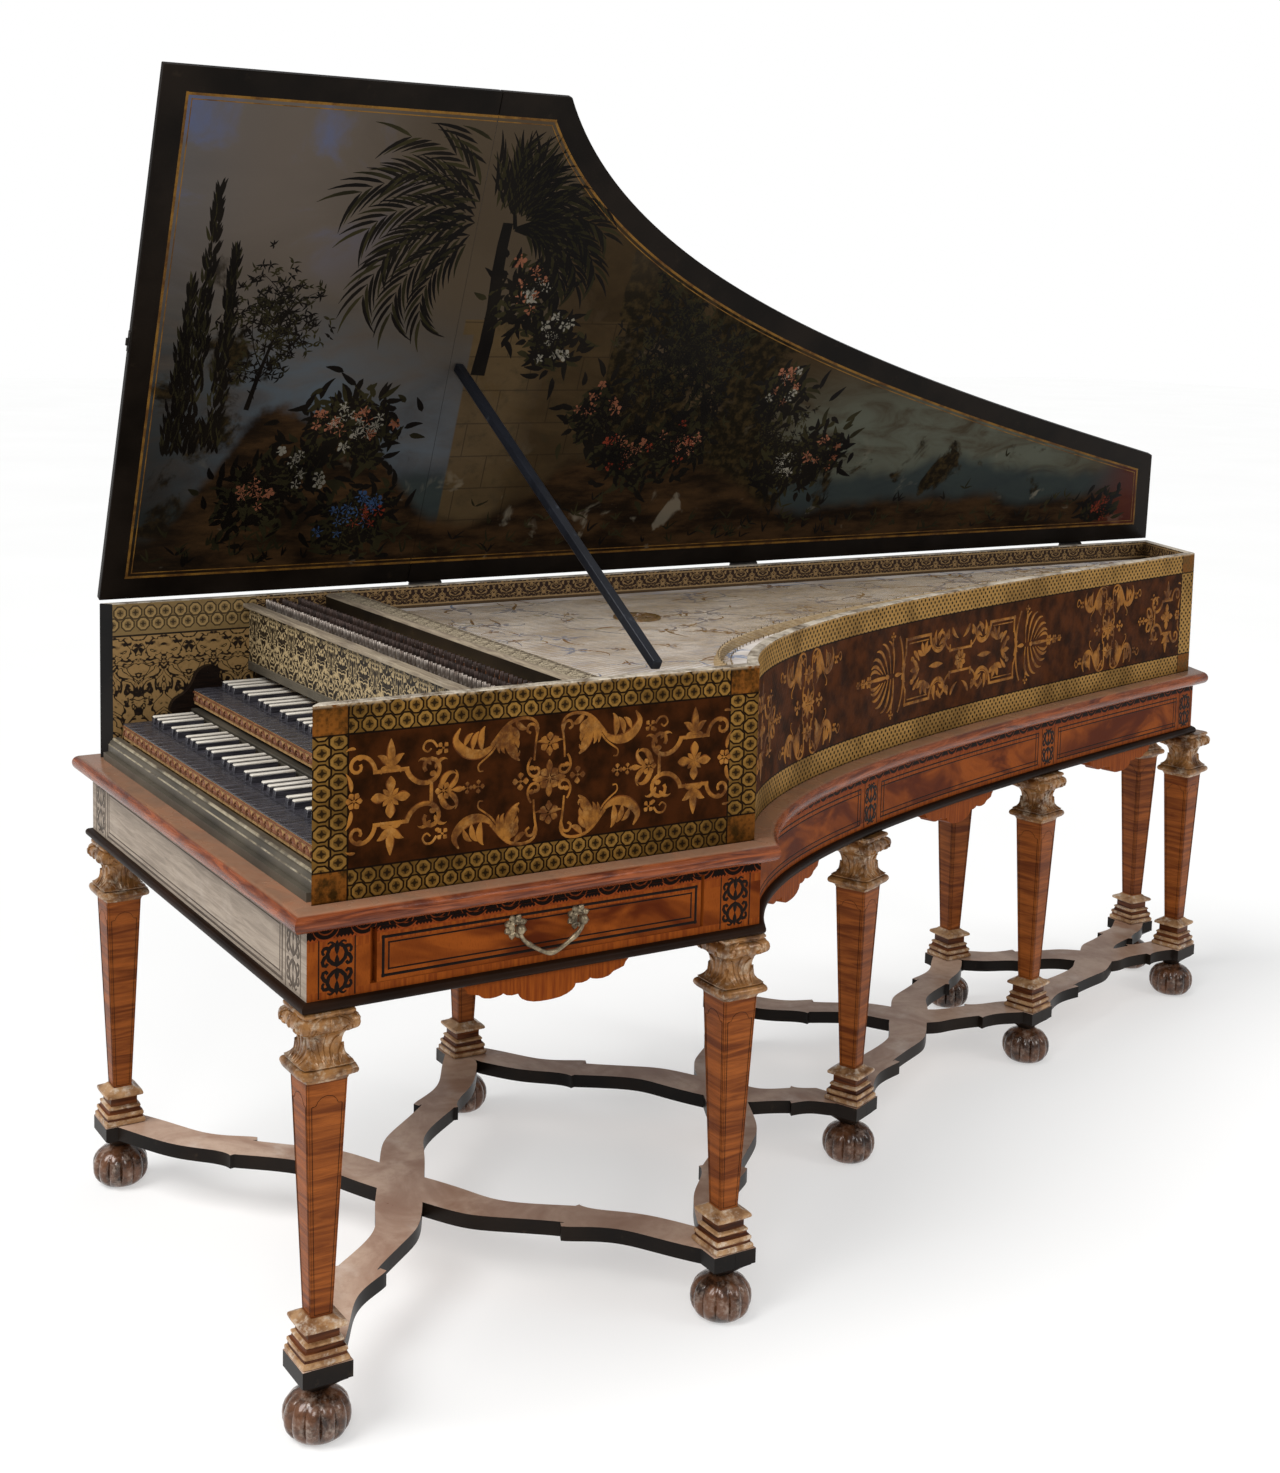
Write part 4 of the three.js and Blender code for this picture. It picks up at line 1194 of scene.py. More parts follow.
@dataclass(frozen=True)
class BandedWall(Finish):
    """Painted outer wall: brown field in a gold diaper border with orange corner squares."""

    length: float = 1.0
    fine: bool = False
    height: float = 0.252
    band: float = 0.040
    end: float = 0.048
    field: str = "1d0c02"
    field_light: str = "381a06"
    ground: str = "332008"
    gold: str = "8a6630"
    square: str = "744417"
    line: str = "0d0704"

    def build(self, tree: Tree) -> bpy.types.Material:
        """Lays field, bands, corner squares and lines over one another by masks.

        Args:
            tree: the material's nodes, empty so far.

        Returns:
            The material.
        """
        along, level, _ = tree.axes(tree.face_map())
        place = tree.place()
        low = level.least(self.height - level)
        side = along.least(self.length - along)
        in_band = low.step(self.band, self.band - 0.0006)
        in_end = side.step(self.end, self.end - 0.0006)
        first = along * (1 - in_end) + level * in_end
        second = low * (1 - in_end) + side * (self.band / self.end) * in_end
        first = first + (tree.noise(place, 45, 2) - 0.5) * 0.0026
        second = second + (tree.noise(place, 38, 2, 0.4) - 0.5) * 0.0026
        gold, dark = lattice(first, second) if self.fine else diaper(first, second)
        faded = tree.noise(place, 6.5, 4, 0.6).step(0.42, 0.66)
        spots = tree.noise(place, 150, 4, 0.6)
        gold = gold * (1 - faded * 0.62) * (spots * 0.9 + 0.35)
        colour = tree.mix(tree.noise(place, 30, 4).step(0.3, 0.7), self.field, self.field_light)
        border = tree.mix(spots.step(0.3, 0.7), self.ground,
                          [part * 0.55 for part in linear(self.ground)])
        border = tree.mix(gold, border, self.gold)
        border = tree.mix(dark * 0.85, border, self.line)
        colour = tree.mix(in_band.most(in_end), colour, border)
        checks = ((along * 500).cosine() * (level * 500).cosine()).step(0.3, 0.8)
        cloudy = tree.noise(place, 60, 4, 0.65).step(0.35, 0.65)
        orange = tree.mix(cloudy, self.square, self.ground)
        orange = tree.mix(checks * 0.3, orange, self.line)
        orange = tree.mix(faded * 0.4, orange, self.ground)
        colour = tree.mix(in_band * in_end, colour, orange)
        lines = low.near(self.band, 0.0009).most(side.near(self.end, 0.0009))
        colour = tree.mix(lines * 0.9, colour, self.line)
        worn = level.step(self.height - 0.006, self.height) * tree.noise(place, 60, 4, 0.7).step(0.42, 0.55)
        foot = level.step(0.004, 0.0)
        colour = tree.mix(worn * 0.8, colour, "b7a184")
        colour = tree.mix(foot * 0.7, colour, self.line)
        height = gold * 0.5 + spots * 0.5
        return tree.finish(Base_Color=colour, Roughness=faded * 0.12 + 0.44, Specular_IOR_Level=0.02,
                           Normal=tree.bump(height, 0.00025))


@dataclass(frozen=True)
class WornEdge(Finish):
    """Top edge of the walls: dark paint rubbed through to pale wood along its arris."""

    paint: str = "574633"
    bare: str = "c6bba9"

    def build(self, tree: Tree) -> bpy.types.Material:
        """Mixes paint and bare wood by two noises.

        Args:
            tree: the material's nodes, empty so far.

        Returns:
            The material.
        """
        place = tree.place()
        rubbed = tree.noise(place, 16, 5, 0.7) * 0.6 + tree.noise(place, 90, 4, 0.7) * 0.4
        colour = tree.mix(rubbed.step(0.36, 0.60), self.paint, self.bare)
        return tree.finish(Base_Color=colour, Roughness=rubbed * 0.2 + 0.42,
                           Normal=tree.bump(rubbed, 0.0004), Coat_Weight=0.1, Coat_Roughness=0.3)


@dataclass(frozen=True)
class InnerWall(Finish):
    """Inner face of a wall: gold with black scrolls by the keys, dark with pale loops beyond.

    The map's second number runs down the inner face from the top edge.
    """

    split: float = 0.247
    length: float = 2.349
    backward: bool = False
    top: float = 0.268

    def build(self, tree: Tree) -> bpy.types.Material:
        """Chooses one of two patterns by the distance from the keyboard end.

        Args:
            tree: the material's nodes, empty so far.

        Returns:
            The material.
        """
        first, second, _ = tree.axes(tree.face_map())
        along = self.length - first if self.backward else first
        down = second - self.top
        place = tree.place()
        spots = tree.noise(place, 160, 3, 0.6)
        band, groove = diaper(along, down, rows=(0.0145, 0.0335))
        scroll = scrollwork(tree, along, down, 0.086, 30, 0.055)
        well = tree.mix(scroll, "907247", "150c06")
        upper = tree.mix(groove.most(1 - band) * 0.9, "957a4d", "1d130a")
        key_side = tree.mix(down.step(0.052, 0.050), well, upper)
        key_side = tree.mix(down.near(0.052, 0.0012), key_side, "16100a")
        loops = scrollwork(tree, along, down, 0.052, 58, 0.05)
        beyond = tree.mix(loops, "26160d", "8d7048")
        beyond = tree.mix(down.step(0.031, 0.034), beyond, "45341f")
        beyond = tree.mix(down.near(0.0035, 0.001).most(down.near(0.0315, 0.001)), beyond, "917650")
        colour = tree.mix(along.step(self.split, self.split + 0.001), key_side, beyond)
        colour = tree.mix(spots.step(0.5, 0.75) * 0.4, colour, "4a3320")
        return tree.finish(Base_Color=colour, Roughness=spots * 0.2 + 0.4, Normal=tree.bump(spots, 0.0002),
                           Specular_IOR_Level=0.2)


@dataclass(frozen=True)
class Panelled(Finish):
    """Veneered rail: figured walnut panels, crossbanded borders and a lambrequin frieze on top.

    The map is distance along and level. The frieze's dark lobes hang from the moulding, each
    with an orange rim outside and an orange loop inside, and spiky dark leaves fill the gaps.
    """

    light: str = "8a4515"
    dark: str = "4f1f08"
    band: str = "6b2f0f"
    black: str = "150b07"
    rim: str = "8a3f18"
    top: float = 0.684
    drop: float = 0.0195
    pitch: float = 0.050

    def build(self, tree: Tree) -> bpy.types.Material:
        """Figures the wood by two warped noises and draws the frieze from the map.

        Args:
            tree: the material's nodes, empty so far.

        Returns:
            The material.
        """
        along, level, _ = tree.axes(tree.face_map())
        vector = tree.vector(along, level, 0.0)
        clouds = tree.noise(tree.stretched(vector, (1, 1.8, 1)), 6, 3, 0.55, 1.3)
        rings = ((clouds * 60.0).cosine() * 0.5 + 0.5) * tree.noise(vector, 18, 3).step(0.35, 0.65)
        pores = tree.noise(tree.stretched(vector, (6, 1, 1)), 130, 3, 0.6)
        colour = tree.mix(clouds.step(0.34, 0.66), self.dark, self.light)
        colour = tree.mix(rings * 0.22, colour, self.dark)
        colour = tree.mix(pores.step(0.5, 0.7) * 0.3, colour, self.dark)
        stripes = tree.noise(tree.stretched(vector, (16, 1, 1)), 14, 3, 0.6)
        border = tree.mix(stripes.step(0.3, 0.7), self.band, self.light)
        edge = (level - 0.590).least(self.top - self.drop - 0.001 - level)
        colour = tree.mix(edge.step(0.0102, 0.0098), colour, border)
        down = self.top - level
        share = abs(along % self.pitch - self.pitch / 2) / (self.pitch / 2)
        outer = self.arch(tree, share, 0.70, self.drop * 0.86)
        inner = self.arch(tree, share, 0.46, self.drop * 0.56)
        rim = (down - outer).near(0.0013, 0.0008, 0.0005) * share.step(0.98, 0.90)
        loop = (down - inner).near(0.0, 0.0007, 0.0005) * share.step(0.47, 0.44)
        spikes = (share * 31.0).cosine() * 0.0012 + self.drop * 0.78
        below = (down - spikes).step(0.0, 0.0008) * (down - outer).step(0.0012, 0.0018)
        light = rim.most(loop * 0.8).most(below)
        cloth = tree.mix(tree.noise(vector, 90, 3).step(0.3, 0.7), self.rim, self.band)
        strip = tree.mix(light, self.black, cloth)
        colour = tree.mix(down.step(self.drop, self.drop - 0.0004), colour, strip)
        return tree.finish(Base_Color=colour, Roughness=clouds * 0.12 + 0.34, Specular_IOR_Level=0.03,
                           Normal=tree.bump(pores, 0.0001))

    @staticmethod
    def arch(tree: Tree, share: Wire, half: float, depth: float) -> Wire:
        """Half-round lobe: depth times the root of one less the square of share over half."""
        wide = share / half
        return tree.maths("SQRT", (1 - wide * wide).most(0.0)) * depth


@dataclass(frozen=True)
class Landscape(Finish):
    """Old picture of a dark evening landscape: storm clouds over hills and brown ground.

    The map's first number runs up the picture and the second along it.
    """

    def build(self, tree: Tree) -> bpy.types.Material:
        """Lays sky, hills, woods, ruin, ground and varnish by masks of height and length.

        Args:
            tree: the material's nodes, empty so far.

        Returns:
            The material.
        """
        up, along, _ = tree.axes(tree.face_map())
        vector = tree.vector(along, up, 0.0)
        clouds = tree.noise(tree.stretched(vector, (1, 1.6, 1)), 3.4, 6, 0.58, 0.7)
        wisps = tree.noise(tree.stretched(vector, (1, 2.4, 1)), 9, 5, 0.6, 0.9)
        sky = tree.mix(clouds.step(0.36, 0.64), "2b2827", "474039")
        sky = tree.mix(along.step(0.60, 0.15) * up.step(0.45, 0.7) * 0.7, sky, "565250")
        sky = tree.mix(along.step(0.72, 1.05) * 0.8, sky, tree.mix(wisps, "271c0e", "40311a"))
        sky = tree.mix(along.near(0.42, 0.22, 0.20) * up.step(0.28, 0.5) * 0.5, sky, "5b4f42")
        slate = along.step(0.75, 0.25) * up.step(0.62, 0.35)
        sky = tree.mix(slate * wisps.step(0.25, 0.7) * 0.8, sky, "343a3c")
        blue = clouds.step(0.49, 0.62) * along.step(0.50, 0.22) * up.step(0.50, 0.74)
        sky = tree.mix(blue * 0.6, sky, "475374")
        sky = tree.mix(along.near(0.42, 0.10, 0.26) * up.near(0.34, 0.05, 0.18) * wisps * 0.7, sky,
                       "55606a")
        glow = along.near(1.70, 0.24, 0.38) * up.near(0.25, 0.04, 0.15)
        sky = tree.mix(glow * wisps.step(0.2, 0.62) * 0.7, sky, "54594f")
        warm = along.near(0.66, 0.12, 0.30) * up.near(0.66, 0.14, 0.28)
        sky = tree.mix(warm * 0.65, sky, "3a2f20")
        hills = tree.noise(tree.vector(along, 0.0, 2.0), 3.2, 4, 0.55) * 0.22 + 0.095
        picture = tree.mix((hills - up).step(-0.02, 0.02), sky, tree.mix(wisps, "23272a", "333a36"))
        wood = tree.noise(vector, 7.5, 6, 0.62, 0.4)
        thicket = (wood + along.near(1.02, 0.14, 0.22) * 0.22 + along.near(0.11, 0.02, 0.10) * 0.15
                   + along.near(0.82, 0.05, 0.2) * 0.12 - up * 0.22).step(0.54, 0.62)
        leaves = tree.mix(tree.noise(vector, 52, 4, 0.65).step(0.42, 0.68), "15110a", "302615")
        picture = tree.mix(thicket * up.step(0.75, 0.5), picture, leaves)
        ragged = (tree.noise(vector, 22, 4, 0.6) - 0.5) * 0.03
        stone = along.near(0.715, 0.135, 0.004) * (up + ragged).step(0.485, 0.475)
        pillar = (along + ragged).near(0.790, 0.062, 0.004) * (up + ragged).step(0.80, 0.77)
        ledge = along.near(0.715, 0.155, 0.004) * up.near(0.487, 0.012, 0.003)
        course = abs(up % 0.062 - 0.031).step(0.029, 0.031)
        joint = abs((along + (up / 0.062 % 2.0).step(0.98, 1.02) * 0.05) % 0.10 - 0.05).step(0.0485, 0.0495)
        lit = along.step(0.74, 0.66) * 0.4 + wisps * 0.5
        block = tree.mix(lit, "231a10", "57462d")
        block = tree.mix(course.most(joint) * 0.6, block, "1b150e")
        block = tree.mix(tree.noise(vector, 34, 5, 0.65).step(0.5, 0.7) * 0.5, block, "2b2619")
        picture = tree.mix(pillar * 0.8, picture, tree.mix(wisps, "241b10", "3a2d1c"))
        picture = tree.mix(stone.most(ledge) * 0.9, picture, block)
        ground = tree.mix(tree.noise(tree.stretched(vector, (1, 3, 1)), 8, 6, 0.65).step(0.35, 0.68),
                          "17100a", "392817")
        rise = tree.noise(tree.vector(along, 0.0, 5.0), 4.5, 4, 0.5) * 0.14 + 0.05
        bank = along.near(0.32, 0.06, 0.20) * 0.20 + along.near(0.98, 0.10, 0.24) * 0.10
        rise = rise + bank * (tree.noise(vector, 14, 4, 0.6) * 0.5 + 0.75)
        picture = tree.mix((rise - up).step(-0.02, 0.015), picture, ground)
        rocks = tree.noise(vector, 12, 4, 0.55, 0.5).step(0.62, 0.70) * up.step(0.30, 0.12)
        picture = tree.mix(rocks * 0.5, picture, "7d7565")
        picture = tree.mix(along.step(2.10, 2.24) * 0.7, picture, "4a2018")
        edge = along.step(0.20, 0.045) * up.step(0.5, 0.2) * 0.6
        picture = tree.mix(edge, picture, "14100c")
        cracks = tree.noise(vector, 210, 3, 0.6)
        return tree.finish(Base_Color=picture, Roughness=cracks * 0.1 + 0.40, Specular_IOR_Level=0.02,
                           Normal=tree.bump(cracks, 0.0001))


@dataclass(frozen=True)
class PaleFloor(Finish):
    """Pale studio floor that glows a little, so that shadows on it stay light."""

    def build(self, tree: Tree) -> bpy.types.Material:
        """Lays a faint cloudiness over near white.

        Args:
            tree: the material's nodes, empty so far.

        Returns:
            The material.
        """
        cloud = tree.noise(tree.place(), 0.8, 3)
        return tree.finish(Base_Color=tree.mix(cloud, "b9b9b8", "c0c0bf"), Roughness=0.85,
                           Specular_IOR_Level=0.1, Emission_Color=tree.mix(cloud, "f4f4f3", "f8f8f8"),
                           Emission_Strength=0.5)


@dataclass(frozen=True)
class Speckled(Finish):
    """Fine mirrored scrolls of gold on dark, as on the nameboard or the jackrail's top."""

    ground: str = "1b140d"
    gold: str = "b09a72"
    pitch: float = 0.08
    scale: float = 46.0
    flat: bool = False
    width: float = 0.07

    def build(self, tree: Tree) -> bpy.types.Material:
        """Draws the scrolls from object coordinates; a flat face uses the place along.

        Args:
            tree: the material's nodes, empty so far.

        Returns:
            The material.
        """
        place = tree.place()
        across, along, level = tree.axes(place)
        second = along if self.flat else level
        lines = scrollwork(tree, across, second, self.pitch, self.scale, self.width)
        spots = tree.noise(place, 220, 3, 0.6)
        colour = tree.mix(lines, self.ground, self.gold)
        colour = tree.mix(spots.step(0.45, 0.75) * 0.35, colour, "6b5a42")
        return tree.finish(Base_Color=colour, Roughness=spots * 0.2 + 0.4, Normal=tree.bump(spots, 0.0002),
                           Specular_IOR_Level=0.25)


@dataclass(frozen=True)
class FadedPicture(Finish):
    """Soundboard: grey spruce with washed-out blue, white and brown painted patches."""

    def build(self, tree: Tree) -> bpy.types.Material:
        """Lays three stretched colour washes over grain lines.

        Args:
            tree: the material's nodes, empty so far.

        Returns:
            The material.
        """
        place = tree.place()
        grain = tree.noise(tree.stretched(place, (60, 1.2, 1)), 7, 3, 0.6)
        long_way = tree.stretched(place, (2.0, 0.8, 1))
        wash = tree.noise(long_way, 6, 5, 0.62, 0.8)
        blue = tree.noise(tree.stretched(place, (1.6, 0.9, 1)), 11, 4, 0.6, 1.4)
        pale = tree.noise(tree.stretched(place, (1.5, 0.8, 2)), 8.3, 5, 0.65, 0.6)
        colour = tree.mix(wash.step(0.34, 0.66), "b8ab9f", "e8e1da")
        colour = tree.mix(blue.step(0.54, 0.66) * 0.5, colour, "a5a9b8")
        colour = tree.mix(pale.step(0.52, 0.66) * 0.6, colour, "f0ebe6")
        colour = tree.mix(tree.noise(place, 24, 5, 0.65).step(0.6, 0.72) * 0.5, colour, "a08c78")
        colour = tree.mix(grain.step(0.5, 0.72) * 0.3, colour, "b3a494")
        return tree.finish(Base_Color=colour, Roughness=wash * 0.15 + 0.45, Normal=tree.bump(grain, 0.0001),
                           Coat_Weight=0.12, Coat_Roughness=0.3)


EBONISED = Painted("case_black_paint", "0c0b0b", "191614", worn=0.1, rough=0.34)
# Top moulding: pale above 0.7064, as wear and a painted highlight along its half-round top.
RED_TOP = Wood("top_moulding_wood", "4a1c0a", "944c24", Grain.LEVEL, 9, 0.25, 0.26, 0.3, "94765f", 0.2,
               wear_and_highlight_level=0.7064)
SHAFT_WOOD = Wood("leg_shaft_wood", "5e2d11", "975322", Grain.LEVEL, 5, 0.3, 0.36, 0.06)
RECESS_WOOD = Wood("plinth_recess_wood", "32170b", "6a3a1c", Grain.LEVEL, 8, 0.3, 0.36, 0.1)
# Front rail veneer: its faded grey-brown, made paler as painted glare on the lit front face.
FADED_AND_GLARE = Wood("front_veneer_faded_and_glare", "85786b", "a69889", Grain.MAP_FIRST, 9, 0.25, 0.5, 0.04, "bdb1a5", 0.4)
STRETCHER_WOOD = Wood("stretcher_veneer", "9a7863", "c4a994", Grain.LEVEL, 7, 0.25, 0.30, 0.25, "e6dace",
                      worn=0.5)
RAW = Wood("plain_softwood", "8d7146", "b3976a", Grain.ALONG, 6, 0.4, 0.7, 0.0)
GILT = Gilding("gilt_carving", "96693a", "58371a", "dccfb8", 0.45, 0.3, 0.34, 0.25)
BALL_GILT = Gilding("ball_gilding", "63402a", "24140b", "c6b4a5", 0.34, 0.1, 0.26, 0.7)
BRASS = Metal("old_brass", "9b8b70", "4c4234", 0.35, 0.7)
IRON = Metal("old_iron", "2b2724", "17130f", 0.45, 0.6)
STEEL = Metal("pin_steel", "a79c92", "6a5c53", 0.3, 0.7)
WIRE = Metal("brass_wire", "c0a060", "8a6c38", 0.3, 0.9)
BRIDGE = Wood("bridge_beech", "a08867", "c4ad89", Grain.ALONG, 10, 0.3, 0.5, 0.15)
PLANK = Wood("register_oak", "4a2a18", "6d4228", Grain.ACROSS, 14, 0.4, 0.5, 0.2)
PALE_PLANK = Wood("wrestplank_pale_veneer", "9d8e7e", "d8cec2", Grain.ACROSS, 14, 0.3, 0.5, 0.0)
JACK = Wood("jack_pearwood", "6d3f25", "955f3b", Grain.UPRIGHT, 20, 0.3, 0.5, 0.1)
STICK = Painted("stick_blue_paint", "0f1014", "1b1d23", wear="6b727c", worn=0.3, rough=0.3)
EBONY = Wood("ebony_keys", "232226", "4b494f", Grain.ALONG, 24, 0.3, 0.26, 0.3)
BONE = Wood("bone_tops", "c6beb0", "e3ddd2", Grain.ALONG, 18, 0.15, 0.35, 0.3)
KEY_WOOD = Wood("key_lever_wood", "8f6d45", "b08d60", Grain.ALONG, 12, 0.3, 0.6, 0.05)
OLIVE = Painted("olive_paint", "3d3932", "5a5347", "968c7a", 0.35, 0.4)
OLIVE_GOLD = Gilding("olive_gilt_bead", "9c9078", "50483c", "c9c0ab", 0.4, 0.1, 0.4)
BLOCK_WOOD = Wood("key_end_block_wood", "100c0a", "241913", Grain.ALONG, 16, 0.5, 0.38, 0.05, worn=0.12)
SCORE = Painted("key_scored_line", "050507", "0b0b0e", worn=0.0)
CAP_PALE = Wood("pale_cap_wood", "75685a", "a3957f", Grain.ACROSS, 12, 0.35, 0.42, 0.05, "cbbfab", 0.4)
RAIL_DARK = Painted("jackrail_dark_paint", "17130f", "2a221a", "5c4a34", 0.3, 0.4, 0.2)
SPECKLED = Speckled("nameboard_pattern")
FLOWERED = Speckled("jackrail_flowers", "5c5143", "b8aa90", 0.04, 70.0, True)
PAINTED_BOARD = FadedPicture("soundboard_paint")
FLOWER_WHITE = Painted("faded_white_paint", "b8b2a6", "cfcabf", "8f846c", 0.5, 0.55, 0.0)
FLOWER_BLUE = Painted("faded_blue_paint", "6c7891", "8790a2", "a0957c", 0.5, 0.55, 0.0)
FLOWER_BROWN = Painted("faded_brown_paint", "6a4a2e", "84603e", "9a8a6c", 0.5, 0.55, 0.0)
LID_PICTURE = Landscape("lid_landscape")
LID_BLACK = Painted("lid_black_border", "0d0906", "1a140f", "43372a", 0.15, 0.36, 0.0, 0.06)
LID_LINE = Gilding("lid_ochre_line", "74521f", "4b3014", "8a6f42", 0.2, 0.0, 0.5)
BOUGH = Painted("picture_dark_boughs", "070504", "120e09", "241d12", 0.2, 0.4, 0.0, 0.05)
COIL = Metal("pin_coil_wire", "8f7a52", "4a3b24", 0.4, 0.6)
PIN_DARK = Metal("pin_dark_iron", "4a3a34", "221813", 0.4, 0.5)
LEAFAGE = Painted("picture_leafage", "17150c", "2a2616", "403a22", 0.2, 0.4, 0.0, 0.03)
ROSE = Painted("picture_rose_paint", "583322", "7f513c", "a0765f", 0.4, 0.4, 0.0, 0.03)
SCARLET = Painted("picture_red_paint", "4f180e", "6f2e1d", "8a4c38", 0.3, 0.4, 0.0, 0.03)
PALE_PAINT = Painted("picture_pale_paint", "57534a", "7d786c", "9d978a", 0.4, 0.4, 0.0, 0.03)
BLUE_PAINT = Painted("picture_blue_paint", "1f2d45", "304665", "4c6386", 0.4, 0.4, 0.0, 0.03)
# Paler blue paint: a painted highlight on the stick's faces that look towards the cheek.
STICK_PAINTED_HIGHLIGHT = Painted("stick_painted_highlight", "6c7890", "94a2ba", "c2cad6", 0.5, 0.3)
BASE_BLACK = Painted("base_moulding_paint", "150c07", "24150c", "5a3a24", 0.2, 0.4, 0.0, 0.05)
BLOCK_BLACK = Painted("block_black_paint", "0f0b09", "1e1610", "5a4a38", 0.25, 0.36, 0.0)
PLINTH_GILT = Gilding("plinth_gilding", "b08a62", "76502f", "e6dccb", 0.6, 0.2, 0.36, 0.2)
CHEEK_PAINT = BandedWall("cheek_painted_face", 0.670)
BENT_PAINT = BandedWall("bentside_painted_face", 1.7723, True, field="251206", field_light="47240d",
                        ground="5c4323", gold="a37d44")
TAIL_PAINT = BandedWall("tail_painted_face", 0.2206, True, ground="5c4323", gold="a37d44")
RUBBED = WornEdge("wall_top_edge")
SPINE_INNER = InnerWall("spine_inner_face", 0.247, 2.349, True)
CHEEK_INNER = InnerWall("cheek_inner_face", 0.247, 0.670)
BENT_INNER = InnerWall("bentside_inner_face", -1.0, 1.7723)
GOLD_LEAF = Gilding("painted_gold_scrolls", "8f5d23", "4e2a0b", "b98d52", 0.28, 0.0, 0.55)
GOLD_SHADE = Gilding("painted_scroll_shade", "67370f", "3a1d07", "80501f", 0.2, 0.0, 0.6)
INLAY = Painted("black_inlay", "0f0805", "190f09", "4a2a17", 0.2, 0.4, 0.0, 0.06)
# Front rail inlay: faded, and made pale as painted glare on the lit front face.
FADED_AND_GLARE_INLAY = Painted("front_inlay_faded_and_glare", "443a31", "5d5146", "80736a", 0.35, 0.4, 0.0, 0.06)
PANEL = Panelled("walnut_rail_veneer")
ARCADE = Wood("key_front_wood", "57321f", "80543a", Grain.ACROSS, 16, 0.3, 0.45, 0.2)


# The instrument

@dataclass
class Plan:
    """Sizes of the case in its own frame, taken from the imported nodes."""

    origin: np.ndarray
    width: float = 0.880
    cheek: float = 0.670
    length: float = 2.349
    tail_x: float = 0.207
    tail_y: float = 2.273
    floor: float = 0.709
    top: float = 0.961
    wall: float = 0.016
    stand: float = 0.576
    rail_top: float = 0.684
    proud: float = 0.010

    def bent(self, count: int = 61) -> np.ndarray:
        """Points of the bentside's outer line, from the cheek to the tail corner.

        The line is a cubic curve whose two handles lie at shares of the way from the tail
        corner to the cheek.

        Args:
            count: number of points.

        Returns:
            count×2 points.
        """
        start, end = np.array([self.width, self.cheek]), np.array([self.tail_x, self.tail_y])
        shares = [(0.548, 0.892), (0.297, 0.515)]
        handles = [end + (start - end) * share for share in np.array(shares)]
        share = np.linspace(0, 1, count)[:, None]
        return ((1 - share) ** 3 * start + 3 * share * (1 - share) ** 2 * handles[0]
                + 3 * share ** 2 * (1 - share) * handles[1] + share ** 3 * end)

    def stations(self) -> list[float]:
        """Distances along the bentside of its ends and of the two legs under it."""
        line = self.bent()
        return list(np.interp([0, 0.45, 0.767, 1], np.linspace(0, 1, len(line)), travelled(line)))

    def outline(self) -> np.ndarray:
        """Whole outer line: spine front, cheek front, cheek, bentside, tail, spine back."""
        return np.vstack([[[0.0, 0.0], [self.width, 0.0]], self.bent(), [[0.0, self.length]]])


class Side(Enum):
    """Sides of the case as pairs of places in its outline."""

    FRONT = (0, 1)
    CHEEK = (1, 2)
    BENTSIDE = (2, 62)
    TAIL = (62, 63)
    SPINE = (63, 64)


class WallLine:
    """One side of the case's plan, and the way from places on its face to points in space."""

    def __init__(self, side: Side) -> None:
        """Cuts the side from the whole outline, with the mitres of its corners.

        Args:
            side: the side of the case.
        """
        outline = PLAN.outline()
        out = mitres(outline, closed=True)
        first, last = side.value
        places = np.arange(first, last + 1) % len(outline)
        self.path, self.out = outline[places], out[places]
        if side is not Side.BENTSIDE:
            share = np.linspace(0, 1, 9)[:, None]
            self.path = self.path[0] * (1 - share) + self.path[-1] * share
            self.out = self.out[0] * (1 - share) + self.out[-1] * share
        self.along = travelled(self.path)
        flat = mitres(self.path)
        self.normal = flat / np.linalg.norm(flat, axis=1, keepdims=True)

    @property
    def length(self) -> float:
        """Length of the side's outer line."""
        return float(self.along[-1])

    def face(self, level: float, out: float = 0.0, inward: bool = False) -> Callable:
        """Function from places on the side, and heights above it, to points.

        Args:
            level: level of the face's lower edge.
            out: distance of the face outside the case's outer line.
            inward: whether the face looks into the case.

        Returns:
            The function; places are distance along and distance up.
        """
        def mapped(pairs: np.ndarray, heights: np.ndarray) -> np.ndarray:
            """Carries places to the wall's line and moves them out by the height.

            Args:
                pairs: distance along the side and level.
                heights: a height above the wall for each.

            Returns:
                The points.
            """
            along = np.clip(pairs[..., 0], 0, self.length)
            base = [np.interp(along, self.along, self.path[:, axis]) for axis in (0, 1)]
            normal = [np.interp(along, self.along, self.normal[:, axis]) for axis in (0, 1)]
            reach = out - heights if inward else out + heights
            return np.stack([base[0] + normal[0] * reach, base[1] + normal[1] * reach,
                             level + pairs[..., 1]], axis=-1)
        return mapped


low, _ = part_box("spine")
PLAN = Plan(np.array([low.x, low.y, 0.0]))


